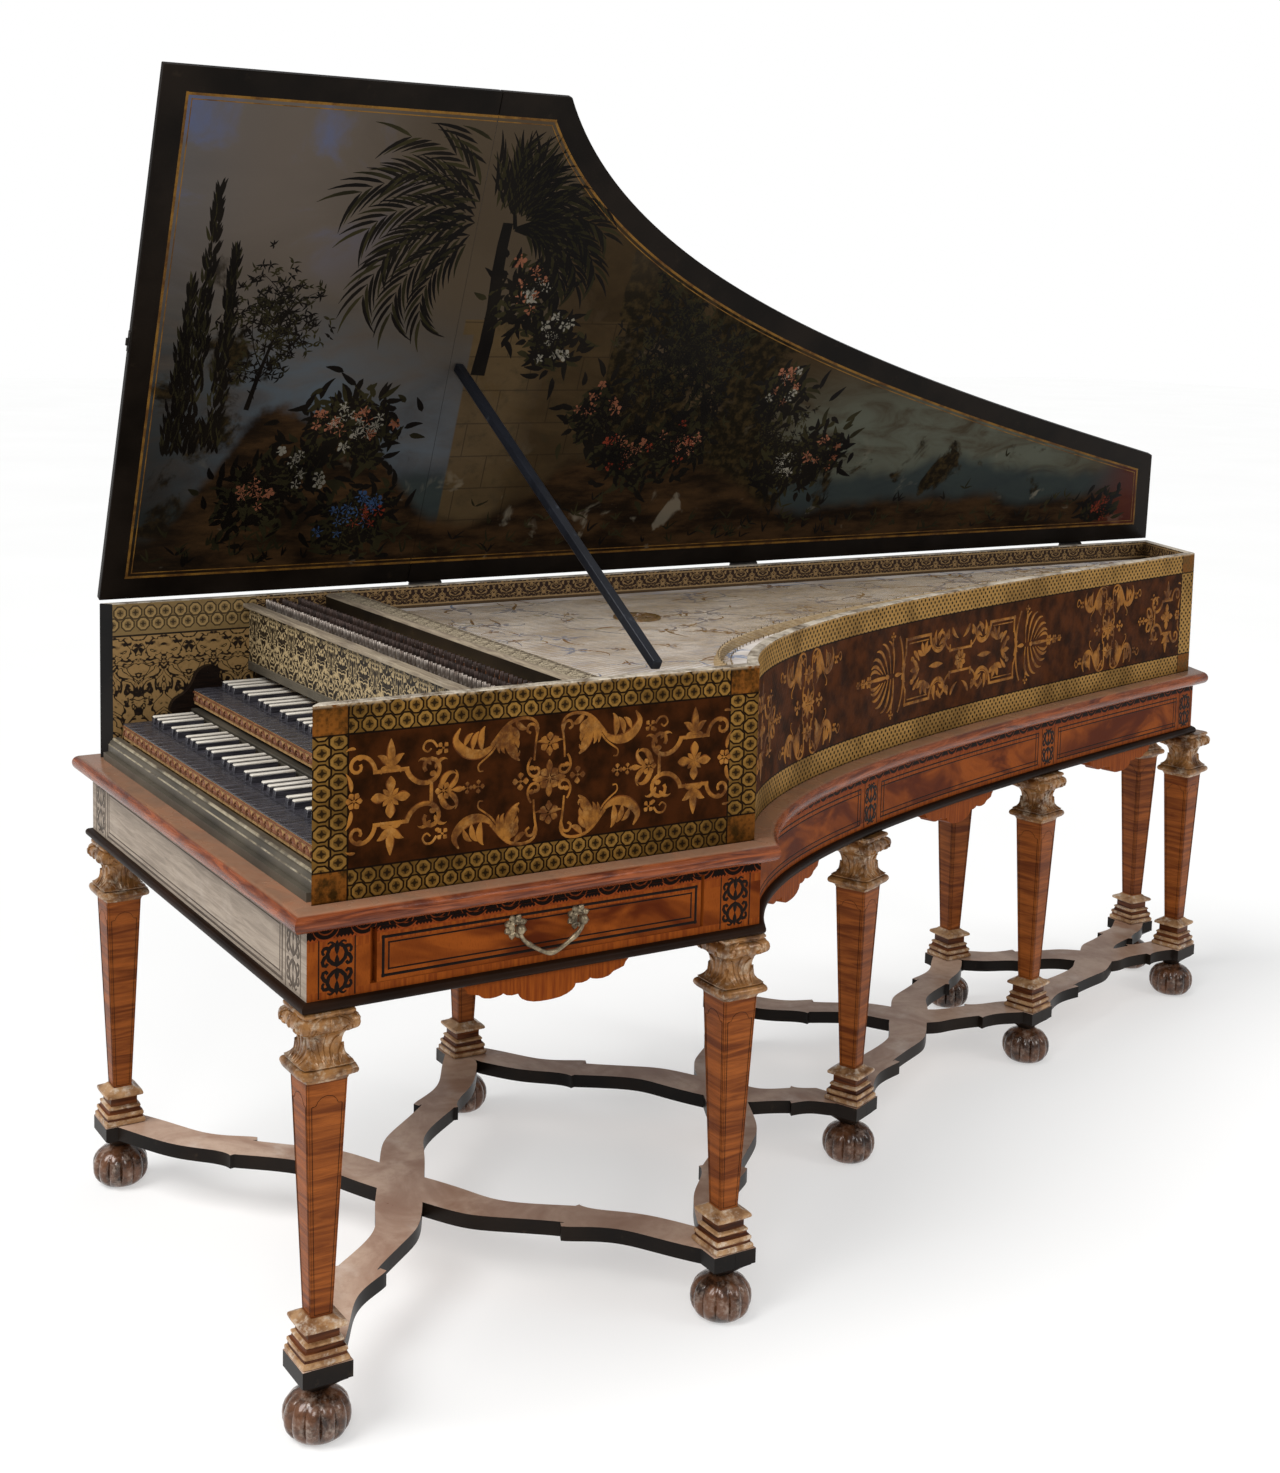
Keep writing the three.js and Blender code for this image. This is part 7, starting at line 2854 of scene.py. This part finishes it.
def tube(path: np.ndarray, radii: np.ndarray, flat: Sequence, sides: int = 10, slot: int = 0) -> Skin:
    """Round body along a line that lies in one plane, whose normal is given.

    Args:
        path: n×3 points of the line.
        radii: a radius for each.
        flat: normal of the line's plane.
        sides: sides of a ring.
        slot: its finish.

    Returns:
        The body.
    """
    ahead = np.gradient(path, axis=0)
    ahead /= np.linalg.norm(ahead, axis=1, keepdims=True)
    one = np.broadcast_to(np.asarray(flat, float), path.shape)
    two = np.cross(ahead, one)
    angle = (np.arange(sides) / sides * TURN)[None, :, None]
    rings = path[:, None] + (one[:, None] * np.cos(angle) + two[:, None] * np.sin(angle)) \
        * np.asarray(radii)[:, None, None]
    return loft(rings, slot=slot)


@dataclass
class Manual:
    """One keyboard: places and sizes of its keys."""

    name: str
    body: str
    front: float
    top: float
    heads: float
    sharp: float
    length: float


@dataclass
class Keyboards:
    """Both manuals, their frames and the key slip.

    steps are the places, counted in naturals from each F, that have a sharp before them.
    """

    left: float = 0.0296
    pitch: float = 0.0228
    count: int = 36
    steps: tuple[int, ...] = (1, 2, 3, 5, 6)

    def manual(self, keys: Manual) -> None:
        """Makes one manual: ebony plates, arcaded fronts, levers, and sharps with bone tops.

        Args:
            keys: the manual's sizes.
        """
        starts = self.left + self.pitch * np.arange(self.count) + 0.00045
        ends = starts + self.pitch - 0.0009
        plates = [(one, two, keys.front - 0.0006, keys.front + keys.heads, keys.top - 0.0028, keys.top)
                  for one, two in zip(starts, ends)]
        scores = [(one + 0.0006, two - 0.0006, keys.front + place, keys.front + place + 0.0007,
                   keys.top - 0.001, keys.top + 0.00012)
                  for one, two in zip(starts, ends) for place in (0.0345, 0.0368)]
        levers = [(one, two, keys.front + 0.0002, keys.front + keys.heads, keys.top - 0.0249,
                   keys.top - 0.0029) for one, two in zip(starts, ends)]
        tails = [(one, two, keys.front + keys.heads + 0.0002, keys.front + keys.length, keys.top - 0.018,
                  keys.top) for one, two in zip(starts, ends)]
        middles = [self.left + key * self.pitch for key in range(1, self.count) if key % 7 in self.steps]
        first, last = keys.front + 0.039, keys.front + 0.039 + keys.sharp
        blacks = [(one - 0.005, one + 0.005, first, last, keys.top - 0.0125, keys.top + 0.0098)
                  for one in middles]
        tops = [(one - 0.0048, one + 0.0048, first, last, keys.top + 0.0096, keys.top + 0.0125)
                for one in middles]

        def sloped(points: np.ndarray) -> np.ndarray:
            """Leans the sharps' near ends back with their height.

            Args:
                points: n×3 places.

            Returns:
                The same places, leaned back.
            """
            rise = np.clip((points[:, 2] - keys.top) / 0.0125, 0, 1)
            near_end = points[:, 1] < (first + last) / 2
            return points + np.outer(rise * near_end, [0, 0.0035, 0])

        skin = Skin.joined([
            boxes(plates, 0.0006), boxes(scores, 0.0001, 4), boxes(levers, 0.0003, 1),
            boxes(tails, 0.0004, 1), boxes(blacks, 0.0007).placed(sloped),
            boxes(tops, 0.0009, 2).placed(sloped), self.arcades(keys, starts, ends)])
        make_piece(keys.name + "_set", skin, [EBONY, KEY_WOOD, BONE, ARCADE, SCORE], keys.body, [keys.name],
                   "key_wood", smooth=40)

    def arcades(self, keys: Manual, starts: np.ndarray, ends: np.ndarray) -> Skin:
        """Turned-looking arches on the key fronts, two rings and a button to each key.

        Args:
            keys: the manual's sizes.
            starts: places of the naturals' left sides.
            ends: places of their right sides.

        Returns:
            The arches of all the naturals.
        """
        turn = np.radians(np.linspace(0, 180, 12))
        arches = Strokes(12)
        for one, two in zip(starts, ends):
            middle = (one + two) / 2
            for radius, half in ((0.0088, 0.0014), (0.0053, 0.0011)):
                arches.add(np.column_stack([middle + radius * np.cos(turn),
                                            keys.top - 0.0195 + radius * 1.15 * np.sin(turn)]), half)
            arches.dot((middle, keys.top - 0.0180), 0.0020)
            arches.polyline([(one + 0.001, keys.top - 0.0052), (two - 0.001, keys.top - 0.0052)], 0.0013)
        return arches.skin(flat_face(1, keys.front, -1.0), 0.0011, 0.0003, 3, 1.5)

    def slip(self) -> None:
        """Makes the moulded key slip, olive with gilt beads."""
        section = [(0.026, 0.7212), (0.026, 0.743), (0.0175, 0.743), (0.0158, 0.7424), (0.0150, 0.7411),
                   (0.0148, 0.7396), (0.0132, 0.7392), (0.0118, 0.7384), (0.0108, 0.7370), (0.0102, 0.7352),
                   (0.0094, 0.7340), (0.0082, 0.7334), (0.0080, 0.7322), (0.0080, 0.7212)]
        slots = np.array([0, 0, 1, 1, 1, 0, 0, 0, 0, 0, 1, 1, 0, 0])
        skin = bar(section, Inside.left, Inside.right, slots)
        make_piece("key_slip_moulding", skin, [OLIVE, OLIVE_GOLD], replaces=["key_slip"], slot="gilt_wood")

    def frames(self) -> None:
        """Makes the upper manual's frame and its scrolled end blocks."""
        left, right = 0.0170, 0.8630
        skin = boxes([(left, right, 0.142, 0.402, 0.7775, 0.7825),
                      (left, right, 0.142, 0.160, 0.7685, 0.7774),
                      (left, right, 0.280, 0.290, 0.7824, 0.7965)])
        shares = np.array([[0, 0], [1, 0], [1, 0.55], [0.72, 0.6], [0.62, 0.72], [0.66, 0.9], [0.58, 1],
                           [0.46, 1], [0.36, 0.88], [0.3, 0.62], [0.2, 0.4], [0.06, 0.3]])
        foot, size, thick = np.array([0.104, 0.7775]), np.array([0.136, 0.074]), 0.012
        curve = rounded(shares * size + foot, 0.010, 5)
        blocks = [bar(curve, start, start + thick, 1) for start in (left, right - thick)]
        ear = [(-0.0066, 0.004), (-0.0066, 0.0068), (0.0066, 0.0068), (0.0066, 0.004)]
        middle = foot + size * [0.53, 0.89]
        ears = [lathe(ear, (start + thick / 2, *middle), 0, 20, 1) for start in (left, right - thick)]
        make_piece("upper_frame", Skin.joined([skin] + blocks + ears), [OLIVE, BLOCK_WOOD], "upper_frame",
                   ["upper_keyframe"], "raw_wood", smooth=45)

    def make(self) -> None:
        """Makes both manuals and what carries them."""
        self.manual(Manual("lower_keys", "lower_manual", 0.029, 0.768, 0.112, 0.070, 0.397))
        self.manual(Manual("upper_keys", "upper_manual", 0.147, 0.815, 0.096, 0.088, 0.255))
        self.slip()
        self.frames()


@dataclass
class Inside:
    """Nameboard, wrestplank with its pins, jackrail, jacks, soundboard, bridge and strings.

    left and right are the inner faces of spine and cheek, margin where the keys begin and
    strings the number of notes. Each row of tuning pins has its inset and its place along.
    nut_line is where the nut's pins stand, nut_level where the strings cross it, wire the
    strings' radius and apart half the way between a note's two strings. board is the
    soundboard's painted face.
    """

    left: float = 0.0163
    right: float = 0.8637
    margin: float = 0.0296
    strings: int = 61
    pin_rows: tuple = ((0.010, 0.2705), (0.0165, 0.2965), (0.012, 0.3265))
    nut_inset: float = 0.014
    nut_line: float = 0.349
    nut_level: float = 0.9212
    wire: float = 0.00022
    apart: float = 0.0022
    board: float = 0.9220

    def nameboard(self) -> None:
        """Makes the patterned nameboard with its pale cap and a plain strip at its foot."""
        section = [(0.2535, 0.838), (0.2535, 0.9482), (0.2527, 0.949), (0.2368, 0.949), (0.2360, 0.9482),
                   (0.2360, 0.9432), (0.2368, 0.9424), (0.2455, 0.9424), (0.247, 0.9408), (0.247, 0.8520),
                   (0.2452, 0.8505), (0.2452, 0.838)]
        slots = np.array([1, 1, 1, 1, 1, 1, 1, 1, 0, 2, 2, 1])
        make_piece("nameboard_front", bar(section, self.left, self.right, slots),
                   [SPECKLED, CAP_PALE, OLIVE], replaces=["nameboard"], slot="case_painted")

    def plank(self) -> None:
        """Makes the wrestplank and its nut."""
        skin = boxes([(self.left, self.right, 0.2537, 0.378, 0.863, 0.908)], 0.0006)
        nut = bar([(0.345, 0.9075), (0.3455, 0.9185), (0.3468, 0.920), (0.3512, 0.920), (0.353, 0.9175),
                   (0.353, 0.9075)], 0.0303, 0.8497, 1)
        make_piece("wrestplank_and_nut", Skin.joined([skin, nut]), [PALE_PLANK, BRIDGE],
                   replaces=["wrestplank"], slot="raw_wood")

    def across(self, inset: float = 0.010) -> np.ndarray:
        """Even places across the case for one row of pins, a distance inside the keys' ends."""
        reach = self.margin + inset
        return np.linspace(reach, PLAN.width - reach, self.strings)

    def row(self, inset: float, along: float) -> np.ndarray:
        """Plan places of one row of pins."""
        return np.column_stack([self.across(inset), np.full(self.strings, along)])

    def pins(self) -> None:
        """Makes three rows of tall tuning pins, flattened at the top, with their wire coils."""
        plan = np.vstack([self.row(inset, along) for inset, along in self.pin_rows])
        lean = np.resize([0.0006, -0.0004, 0.0002, -0.0007, 0.0005], len(plan))
        foot = np.column_stack([plan, np.full(len(plan), 0.9065)])
        head = np.column_stack([plan[:, 0] + lean, plan[:, 1] - lean, np.full(len(plan), 0.9450)])
        shanks = rods(foot, head, 0.0024, 8, 0, ((0, 1), (0.08, 1), (0.9, 0.95), (1, 0.8)))
        coil = rods(foot + [0, 0, 0.006], foot + [0, 0, 0.0135], 0.0029, 8, 1,
                    ((0, 0.8), (0.15, 1), (0.85, 1), (1, 0.8)))
        flat = chamfered_boxes(head + [-0.0010, -0.0030, -0.004], head + [0.0010, 0.0030, 0.0120], 0.0005)
        for part in (flat, shanks):
            part.slots[len(part.slots) // 3:] = 2
        make_piece("tuning_pins", Skin.joined([shanks, coil, flat]), [STEEL, COIL, PIN_DARK],
                   slot="iron", smooth=50)
        ends = np.column_stack([self.row(self.nut_inset, self.nut_line),
                                np.full(self.strings, 0.9185)])
        make_piece("nut_pins", rods(ends, ends + [0, 0, 0.0045], 0.0006, 6), [BRASS], slot="brass")

    def bridge_at(self, share: np.ndarray) -> np.ndarray:
        """Points of the bridge's middle line, as a cubic curve of its share.

        Args:
            share: shares of its length, from 0 to 1.

        Returns:
            A plan point for each.
        """
        shares = np.array([[0.79, 0.31], [0.5, 0.37], [0.36, 0.6], [0.14, 0.88]])
        handles = shares * [PLAN.width, PLAN.length]
        part = share[:, None]
        return ((1 - part) ** 3 * handles[0] + 3 * part * (1 - part) ** 2 * handles[1]
                + 3 * part ** 2 * (1 - part) * handles[2] + part ** 3 * handles[3])

    def bridge(self) -> None:
        """Makes the moulded bridge with its pins and the strings over it."""
        line = self.bridge_at(np.linspace(-0.10, 1, 70))
        section = np.array([[-0.0066, 0.9218], [-0.0064, 0.9255], [-0.0034, 0.9285], [-0.0030, 0.9335],
                            [-0.0022, 0.9345], [0.0026, 0.9345], [0.0034, 0.9330], [0.0042, 0.9270],
                            [0.0066, 0.9245], [0.0066, 0.9218]])
        make_piece("bridge_bar", sweep(line, section), [BRIDGE], replaces=["bridge"], slot="bridge_wood",
                   smooth=50)
        share = np.linspace(-0.085, 0.985, self.strings)
        feet = self.bridge_at(share)
        order = np.argsort(-feet[:, 0])
        feet = feet[order]
        starts = self.row(self.nut_inset, self.nut_line)[::-1]
        pins = np.column_stack([feet, np.full(len(feet), 0.9340)])
        make_piece("bridge_pins", rods(pins, pins + [0, 0, 0.004], 0.0007, 6), [BRASS], slot="brass")
        way = feet - starts
        way /= np.linalg.norm(way, axis=1, keepdims=True)
        hitch = feet + way * 0.028
        level = np.full(len(feet), 1.0)
        wires = []
        for shift in (-self.apart, self.apart):
            near = np.column_stack([starts + [shift, 0], level * self.nut_level])
            over = np.column_stack([feet + [shift, 0], level * 0.9355])
            end = np.column_stack([hitch + [shift, 0], level * 0.9255])
            wires += [rods(near, over, self.wire, 4), rods(over, end, self.wire, 4)]
        tails = np.column_stack([starts, level * self.nut_level])
        pegs = np.column_stack([self.row(0.010, 0.2765)[::-1], level * 0.9165])
        wires.append(rods(pegs, tails, self.wire, 4))
        make_piece("strings", Skin.joined(wires), [WIRE], slot="brass")
        pegs = np.column_stack([hitch, level * 0.9215])
        make_piece("hitch_pins", rods(pegs, pegs + [0, 0, 0.0055], 0.0008, 6), [BRASS], slot="brass")
        rim = WallLine(Side.BENTSIDE)
        edge = rim.path - rim.normal * (PLAN.wall + 0.0003)
        inner = rim.path - rim.normal * (PLAN.wall + 0.016)
        ribs = np.concatenate([edge[2:-1], inner[2:-1][::-1]])
        strip = plate(ribs, self.board - 0.0001, self.board + 0.0015)
        make_piece("hitch_strip", strip, [CAP_PALE], slot="soundboard_wood")

    def jackrail(self) -> None:
        """Makes the jackrail: dark face, pale front edge and a flowered top."""
        section = [(0.430, 0.934), (0.430, 0.956), (0.429, 0.957), (0.395, 0.957), (0.3888, 0.957),
                   (0.384, 0.9522), (0.384, 0.934)]
        slots = np.array([0, 1, 2, 1, 1, 0, 0])
        make_piece("jackrail_bar", bar(section, self.left, self.right, slots),
                   [RAIL_DARK, CAP_PALE, FLOWERED], replaces=["jackrail"], slot="case_black")

    def jacks(self) -> None:
        """Makes both rows of jacks with their tongues."""
        pitch = (PLAN.width - 2 * self.margin) / self.strings
        lefts = self.margin + (pitch - 0.004) / 2 + pitch * np.arange(self.strings)
        for node, body, place, level in (("jacks_lower", "lower_jacks", 0.418, 0.7683),
                                         ("jacks_upper", "upper_jacks", 0.390, 0.8153)):
            slips = [(one, one + 0.004, place - 0.006, place + 0.006, level, 0.924) for one in lefts]
            tongues = [(one + 0.0005, one + 0.0035, place - 0.0022, place + 0.0022, 0.912, 0.9243)
                       for one in lefts]
            strip = [(lefts[0], lefts[-1] + 0.004, place - 0.0058, place + 0.0058, level, level + 0.004)]
            skin = Skin.joined([boxes(slips, 0.0004), boxes(tongues, 0.0003, 1), boxes(strip, 0.0004)])
            make_piece(node + "_row", skin, [JACK, BONE], body, [node], "jack_wood")

    def rose(self) -> None:
        """Makes the pierced gilt rose: rings, a star and twelve petals over a black disc, painted shade that
        stands in for the hole beneath.
        """
        centre = np.array([0.264, 0.853])
        turn = np.linspace(0, TURN, 25)
        work = Strokes(24)
        for radius, half in ((0.040, 0.0022), (0.033, 0.0010), (0.016, 0.0010)):
            work.add(np.column_stack([radius * np.cos(turn), radius * np.sin(turn)]), half)
        work.flower((0, 0), 0.015, 6, 0, 0.28)
        for petal in range(12):
            heading = 30 * petal
            way = towards(heading)
            work.leaf(way * 0.0165, heading, 0.0165, 0.0032, peak=0.5)
            work.dot(way * 0.0365, 0.0014)
        skin = work.skin(flat_face(2, self.board + 0.0002, centre=centre), 0.0022, 0.0006, 0, 1.4)
        make_piece("rose_work", skin, [BALL_GILT], slot="gilt_wood")
        # Black disc under the rose work: painted shade for the dark hole in the soundboard.
        disc = np.column_stack([0.0405 * np.cos(turn[:-1]), 0.0405 * np.sin(turn[:-1])]) + centre
        ground = plate(disc, self.board - 0.0004, self.board + 0.0005)
        make_piece("rose_hole_painted_shade", ground, [EBONISED], slot="case_black")

    def soundboard(self) -> None:
        """Makes the painted soundboard and the small painted sprays on it."""
        make_piece("soundboard_painted", node_skin("soundboard"), [PAINTED_BOARD], replaces=["soundboard"],
                   slot="soundboard_wood")
        rng = np.random.default_rng(7)
        sprays = {"white": Strokes(8), "blue": Strokes(8), "brown": Strokes(8)}
        kinds = list(sprays)
        bent = PLAN.bent()
        for spot in range(150):
            along = rng.uniform(0.48, 2.25)
            reach = np.interp(along, bent[:, 1], bent[:, 0]) if along > PLAN.cheek else 0.85
            across = rng.uniform(0.04, max(reach - 0.05, 0.06))
            size, turn = rng.uniform(0.010, 0.026), rng.uniform(0, 360)
            kind = kinds[spot % 3]
            sprays[kind].flower((across, along), size, 5, turn, 0.3)
            for leaf in range(3):
                sprays["brown" if leaf == 1 else "blue"].leaf(
                    (across, along), turn + 120 * leaf, size * rng.uniform(2.0, 3.6), size * 0.16,
                    rng.uniform(-90, 90), rng.uniform(-90, 90))
        for kind, finish in zip(kinds, (FLOWER_WHITE, FLOWER_BLUE, FLOWER_BROWN)):
            skin = sprays[kind].skin(flat_face(2, self.board), 0.00012, 0.0003)
            make_piece("board_sprays_" + kind, skin, [finish], slot="soundboard_wood", smooth=60)

    def make(self) -> None:
        """Makes everything inside the case."""
        self.nameboard()
        self.plank()
        self.pins()
        self.jackrail()
        self.jacks()
        self.soundboard()
        self.rose()
        self.bridge()
        for node, finish in (("belly_rail", RAW), ("register", PLANK), ("lower_keyframe", RAW),
                             ("case_bottom", OLIVE), ("drawer_runners", RAW), ("lid_hinge_front", IRON),
                             ("lid_hinge_middle", IRON), ("lid_hinge_back", IRON), ("flap_hinge", IRON)):
            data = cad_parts[node].data
            data.materials.clear()
            data.materials.append(finish.material())


@dataclass
class Drawer:
    """The drawer in the cheek's rail, with its bail handle on two flowers.

    face is the front's place; the bail has its level, middle, span, drop and standoff.
    """

    face: float = 0.890
    level: float = 0.6442
    middle: float = 0.330
    span: float = 0.095
    drop: float = 0.038
    standoff: float = 0.014

    def make(self) -> None:
        """Makes the drawer, the flowers and the bail."""
        make_piece("drawer_box", node_skin("drawer"), [PANEL], "drawer", ["drawer"], "walnut_veneer")
        plates, bosses = Strokes(12), []
        for side in (-1, 1):
            middle = self.middle + side * self.span / 2
            for petal in range(8):
                way = math.radians(45 * petal + 22.5)
                start = (middle + 0.004 * math.cos(way), self.level + 0.004 * math.sin(way))
                plates.leaf(start, 45 * petal + 22.5, 0.0135, 0.0052, peak=0.62)
            bosses.append(lathe([(0.0, 0.0105), (0.0022, 0.0102), (0.0034, 0.0078), (0.0042, 0.0064),
                                 (0.0060, 0.0058), (0.0066, 0.0046)],
                                (self.face, middle, self.level), 0))
        skin = Skin.joined([plates.skin(flat_face(0, self.face), 0.0020, 0.0004, 0, 1.7)] + bosses)
        make_piece("drawer_flowers", skin, [BRASS], "drawer", slot="brass", smooth=50)
        turn = np.radians(np.linspace(180, 360, 41))
        half = self.span / 2
        across = self.middle + half * np.cos(turn) * (1 - 0.10 * np.sin(turn) ** 2)
        level = self.level + self.drop * np.sin(turn) * (0.86 + 0.14 * np.cos(2 * turn) ** 2)
        path = np.column_stack([np.full(41, self.face + self.standoff), across, level])
        share = np.linspace(-1, 1, 41)
        radii = (0.0029 + 0.0013 * np.exp(-(share / 0.10) ** 2)
                 + 0.0010 * np.exp(-((abs(share) - 0.55) / 0.08) ** 2))
        knob = [(-0.0058, 0.002), (-0.0048, 0.0052), (-0.0022, 0.0070), (0.0022, 0.0070),
                (0.0048, 0.0052), (0.0058, 0.002)]
        ends = [lathe(knob, (self.face + self.standoff, self.middle + side * half, self.level), 1)
                for side in (-1, 1)]
        make_piece("bail_handle", Skin.joined([tube(path, radii, (1, 0, 0), 12)] + ends), [BRASS], "bail",
                   ["drawer_bail"], "brass", smooth=50)


@dataclass
class Studio:
    """Floor, lights and the camera at the photograph's angle.

    The camera's place, turns, focal length and centre, in the image's pixels, were solved
    from the photograph's straight edges.
    """

    place: tuple[float, float, float] = (2.638, -2.100392, 1.460)
    yaw: float = 1.031
    pitch: float = -0.111
    roll: float = 0.022
    focal: float = 1961.429
    centre: tuple[float, float] = (596.553, 520.0)
    image: tuple[int, int] = (1280, 1473)
    sensor: float = 36.0

    def camera(self) -> None:
        """Makes the camera: its lens from the focal length, its shift from the centre."""
        ahead = np.array([-math.sin(self.yaw) * math.cos(self.pitch),
                          math.cos(self.yaw) * math.cos(self.pitch), math.sin(self.pitch)])
        right = np.array([math.cos(self.yaw), math.sin(self.yaw), 0])
        upward = np.cross(right, ahead)
        side = right * math.cos(self.roll) + upward * math.sin(self.roll)
        rise = -right * math.sin(self.roll) + upward * math.cos(self.roll)
        wide, high = self.image
        data = bpy.data.cameras.new("photo_camera")
        data.sensor_width = self.sensor
        data.lens = self.focal * self.sensor / high
        data.shift_x = (wide / 2 - self.centre[0]) / high
        data.shift_y = (self.centre[1] - high / 2) / high
        data.clip_start, data.clip_end = 0.05, 60
        camera = shown("photo_camera", data)
        camera.matrix_world = Matrix([[side[row], rise[row], -ahead[row], self.place[row]]
                                      for row in range(3)] + [[0, 0, 0, 1]])
        bpy.context.scene.camera = camera

    def light(self, name: str, place: Sequence, aim: Sequence, size: float, power: float) -> None:
        """Makes one soft square lamp.

        Args:
            name: the lamp's name.
            place: where it stands.
            aim: where it looks.
            size: its width.
            power: its power in watts.
        """
        data = bpy.data.lights.new(name, "AREA")
        data.shape, data.size, data.energy = "SQUARE", size, power
        lamp = shown(name, data)
        lamp.location = place
        lamp.rotation_euler = (Vector(aim) - Vector(place)).to_track_quat("-Z", "Y").to_euler()

    def floor(self) -> None:
        """Makes the plain pale floor."""
        mesh = bpy.data.meshes.new("pale_floor")
        reach = 30.0
        mesh.from_pydata([(-reach, -reach, 0), (reach, -reach, 0), (reach, reach, 0), (-reach, reach, 0)],
                         [], [(0, 1, 2, 3)])
        mesh.materials.append(FLOOR.material())
        floor = shown("pale_floor", mesh)

    def sun(self, aim: Sequence, strength: float, spread: float) -> None:
        """Makes one broad, even light from a direction.

        Args:
            aim: the way it shines.
            strength: its strength.
            spread: its apparent width in degrees.
        """
        data = bpy.data.lights.new("broad_lamp", "SUN")
        data.energy, data.angle = strength, math.radians(spread)
        lamp = shown("broad_lamp", data)
        lamp.rotation_euler = Vector(aim).to_track_quat("-Z", "Y").to_euler()

    def room(self, ambient: float) -> None:
        """Makes a white backdrop that lights the scene less than it shows.

        Args:
            ambient: share of the backdrop's brightness that lights the scene.
        """
        world = bpy.data.worlds.new("pale_room")
        world.use_nodes = True
        tree = world.node_tree
        seen = tree.nodes["Background"]
        seen.inputs[0].default_value, seen.inputs[1].default_value = (1.0, 1.0, 1.0, 1.0), 1.0
        lit = tree.nodes.new("ShaderNodeBackground")
        lit.inputs[0].default_value, lit.inputs[1].default_value = (0.97, 0.98, 1.0, 1.0), ambient
        chosen, ray = tree.nodes.new("ShaderNodeMixShader"), tree.nodes.new("ShaderNodeLightPath")
        tree.links.new(ray.outputs["Is Camera Ray"], chosen.inputs[0])
        tree.links.new(lit.outputs[0], chosen.inputs[1])
        tree.links.new(seen.outputs[0], chosen.inputs[2])
        tree.links.new(chosen.outputs[0], tree.nodes["World Output"].inputs[0])
        bpy.context.scene.world = world

    def make(self) -> None:
        """Makes camera, floor, lamps and room."""
        self.camera()
        self.floor()
        self.sun((-0.02, 0.60, -0.80), 2.5, 35)
        self.light("key_lamp", (3.4, -2.8, 3.2), (0, -0.4, 0.7), 1.6, 60)
        self.light("side_lamp", (3.6, 2.4, 2.8), (0.2, 0.4, 0.6), 1.6, 40)
        self.room(0.42)
        bpy.context.scene.view_settings.view_transform = "Standard"


FLOOR = PaleFloor("pale_floor_paint")


def main() -> None:
    """Builds everything in order."""
    logging.basicConfig(level=logging.INFO, format="%(message)s")
    CaseWalls().make()
    Stand().make()
    WallPainting().make()
    Marquetry().make()
    Legs().make()
    Stretchers().make()
    Keyboards().make()
    Inside().make()
    Drawer().make()
    Lid().make()
    Studio().make()


if __name__ == "__main__":
    main()
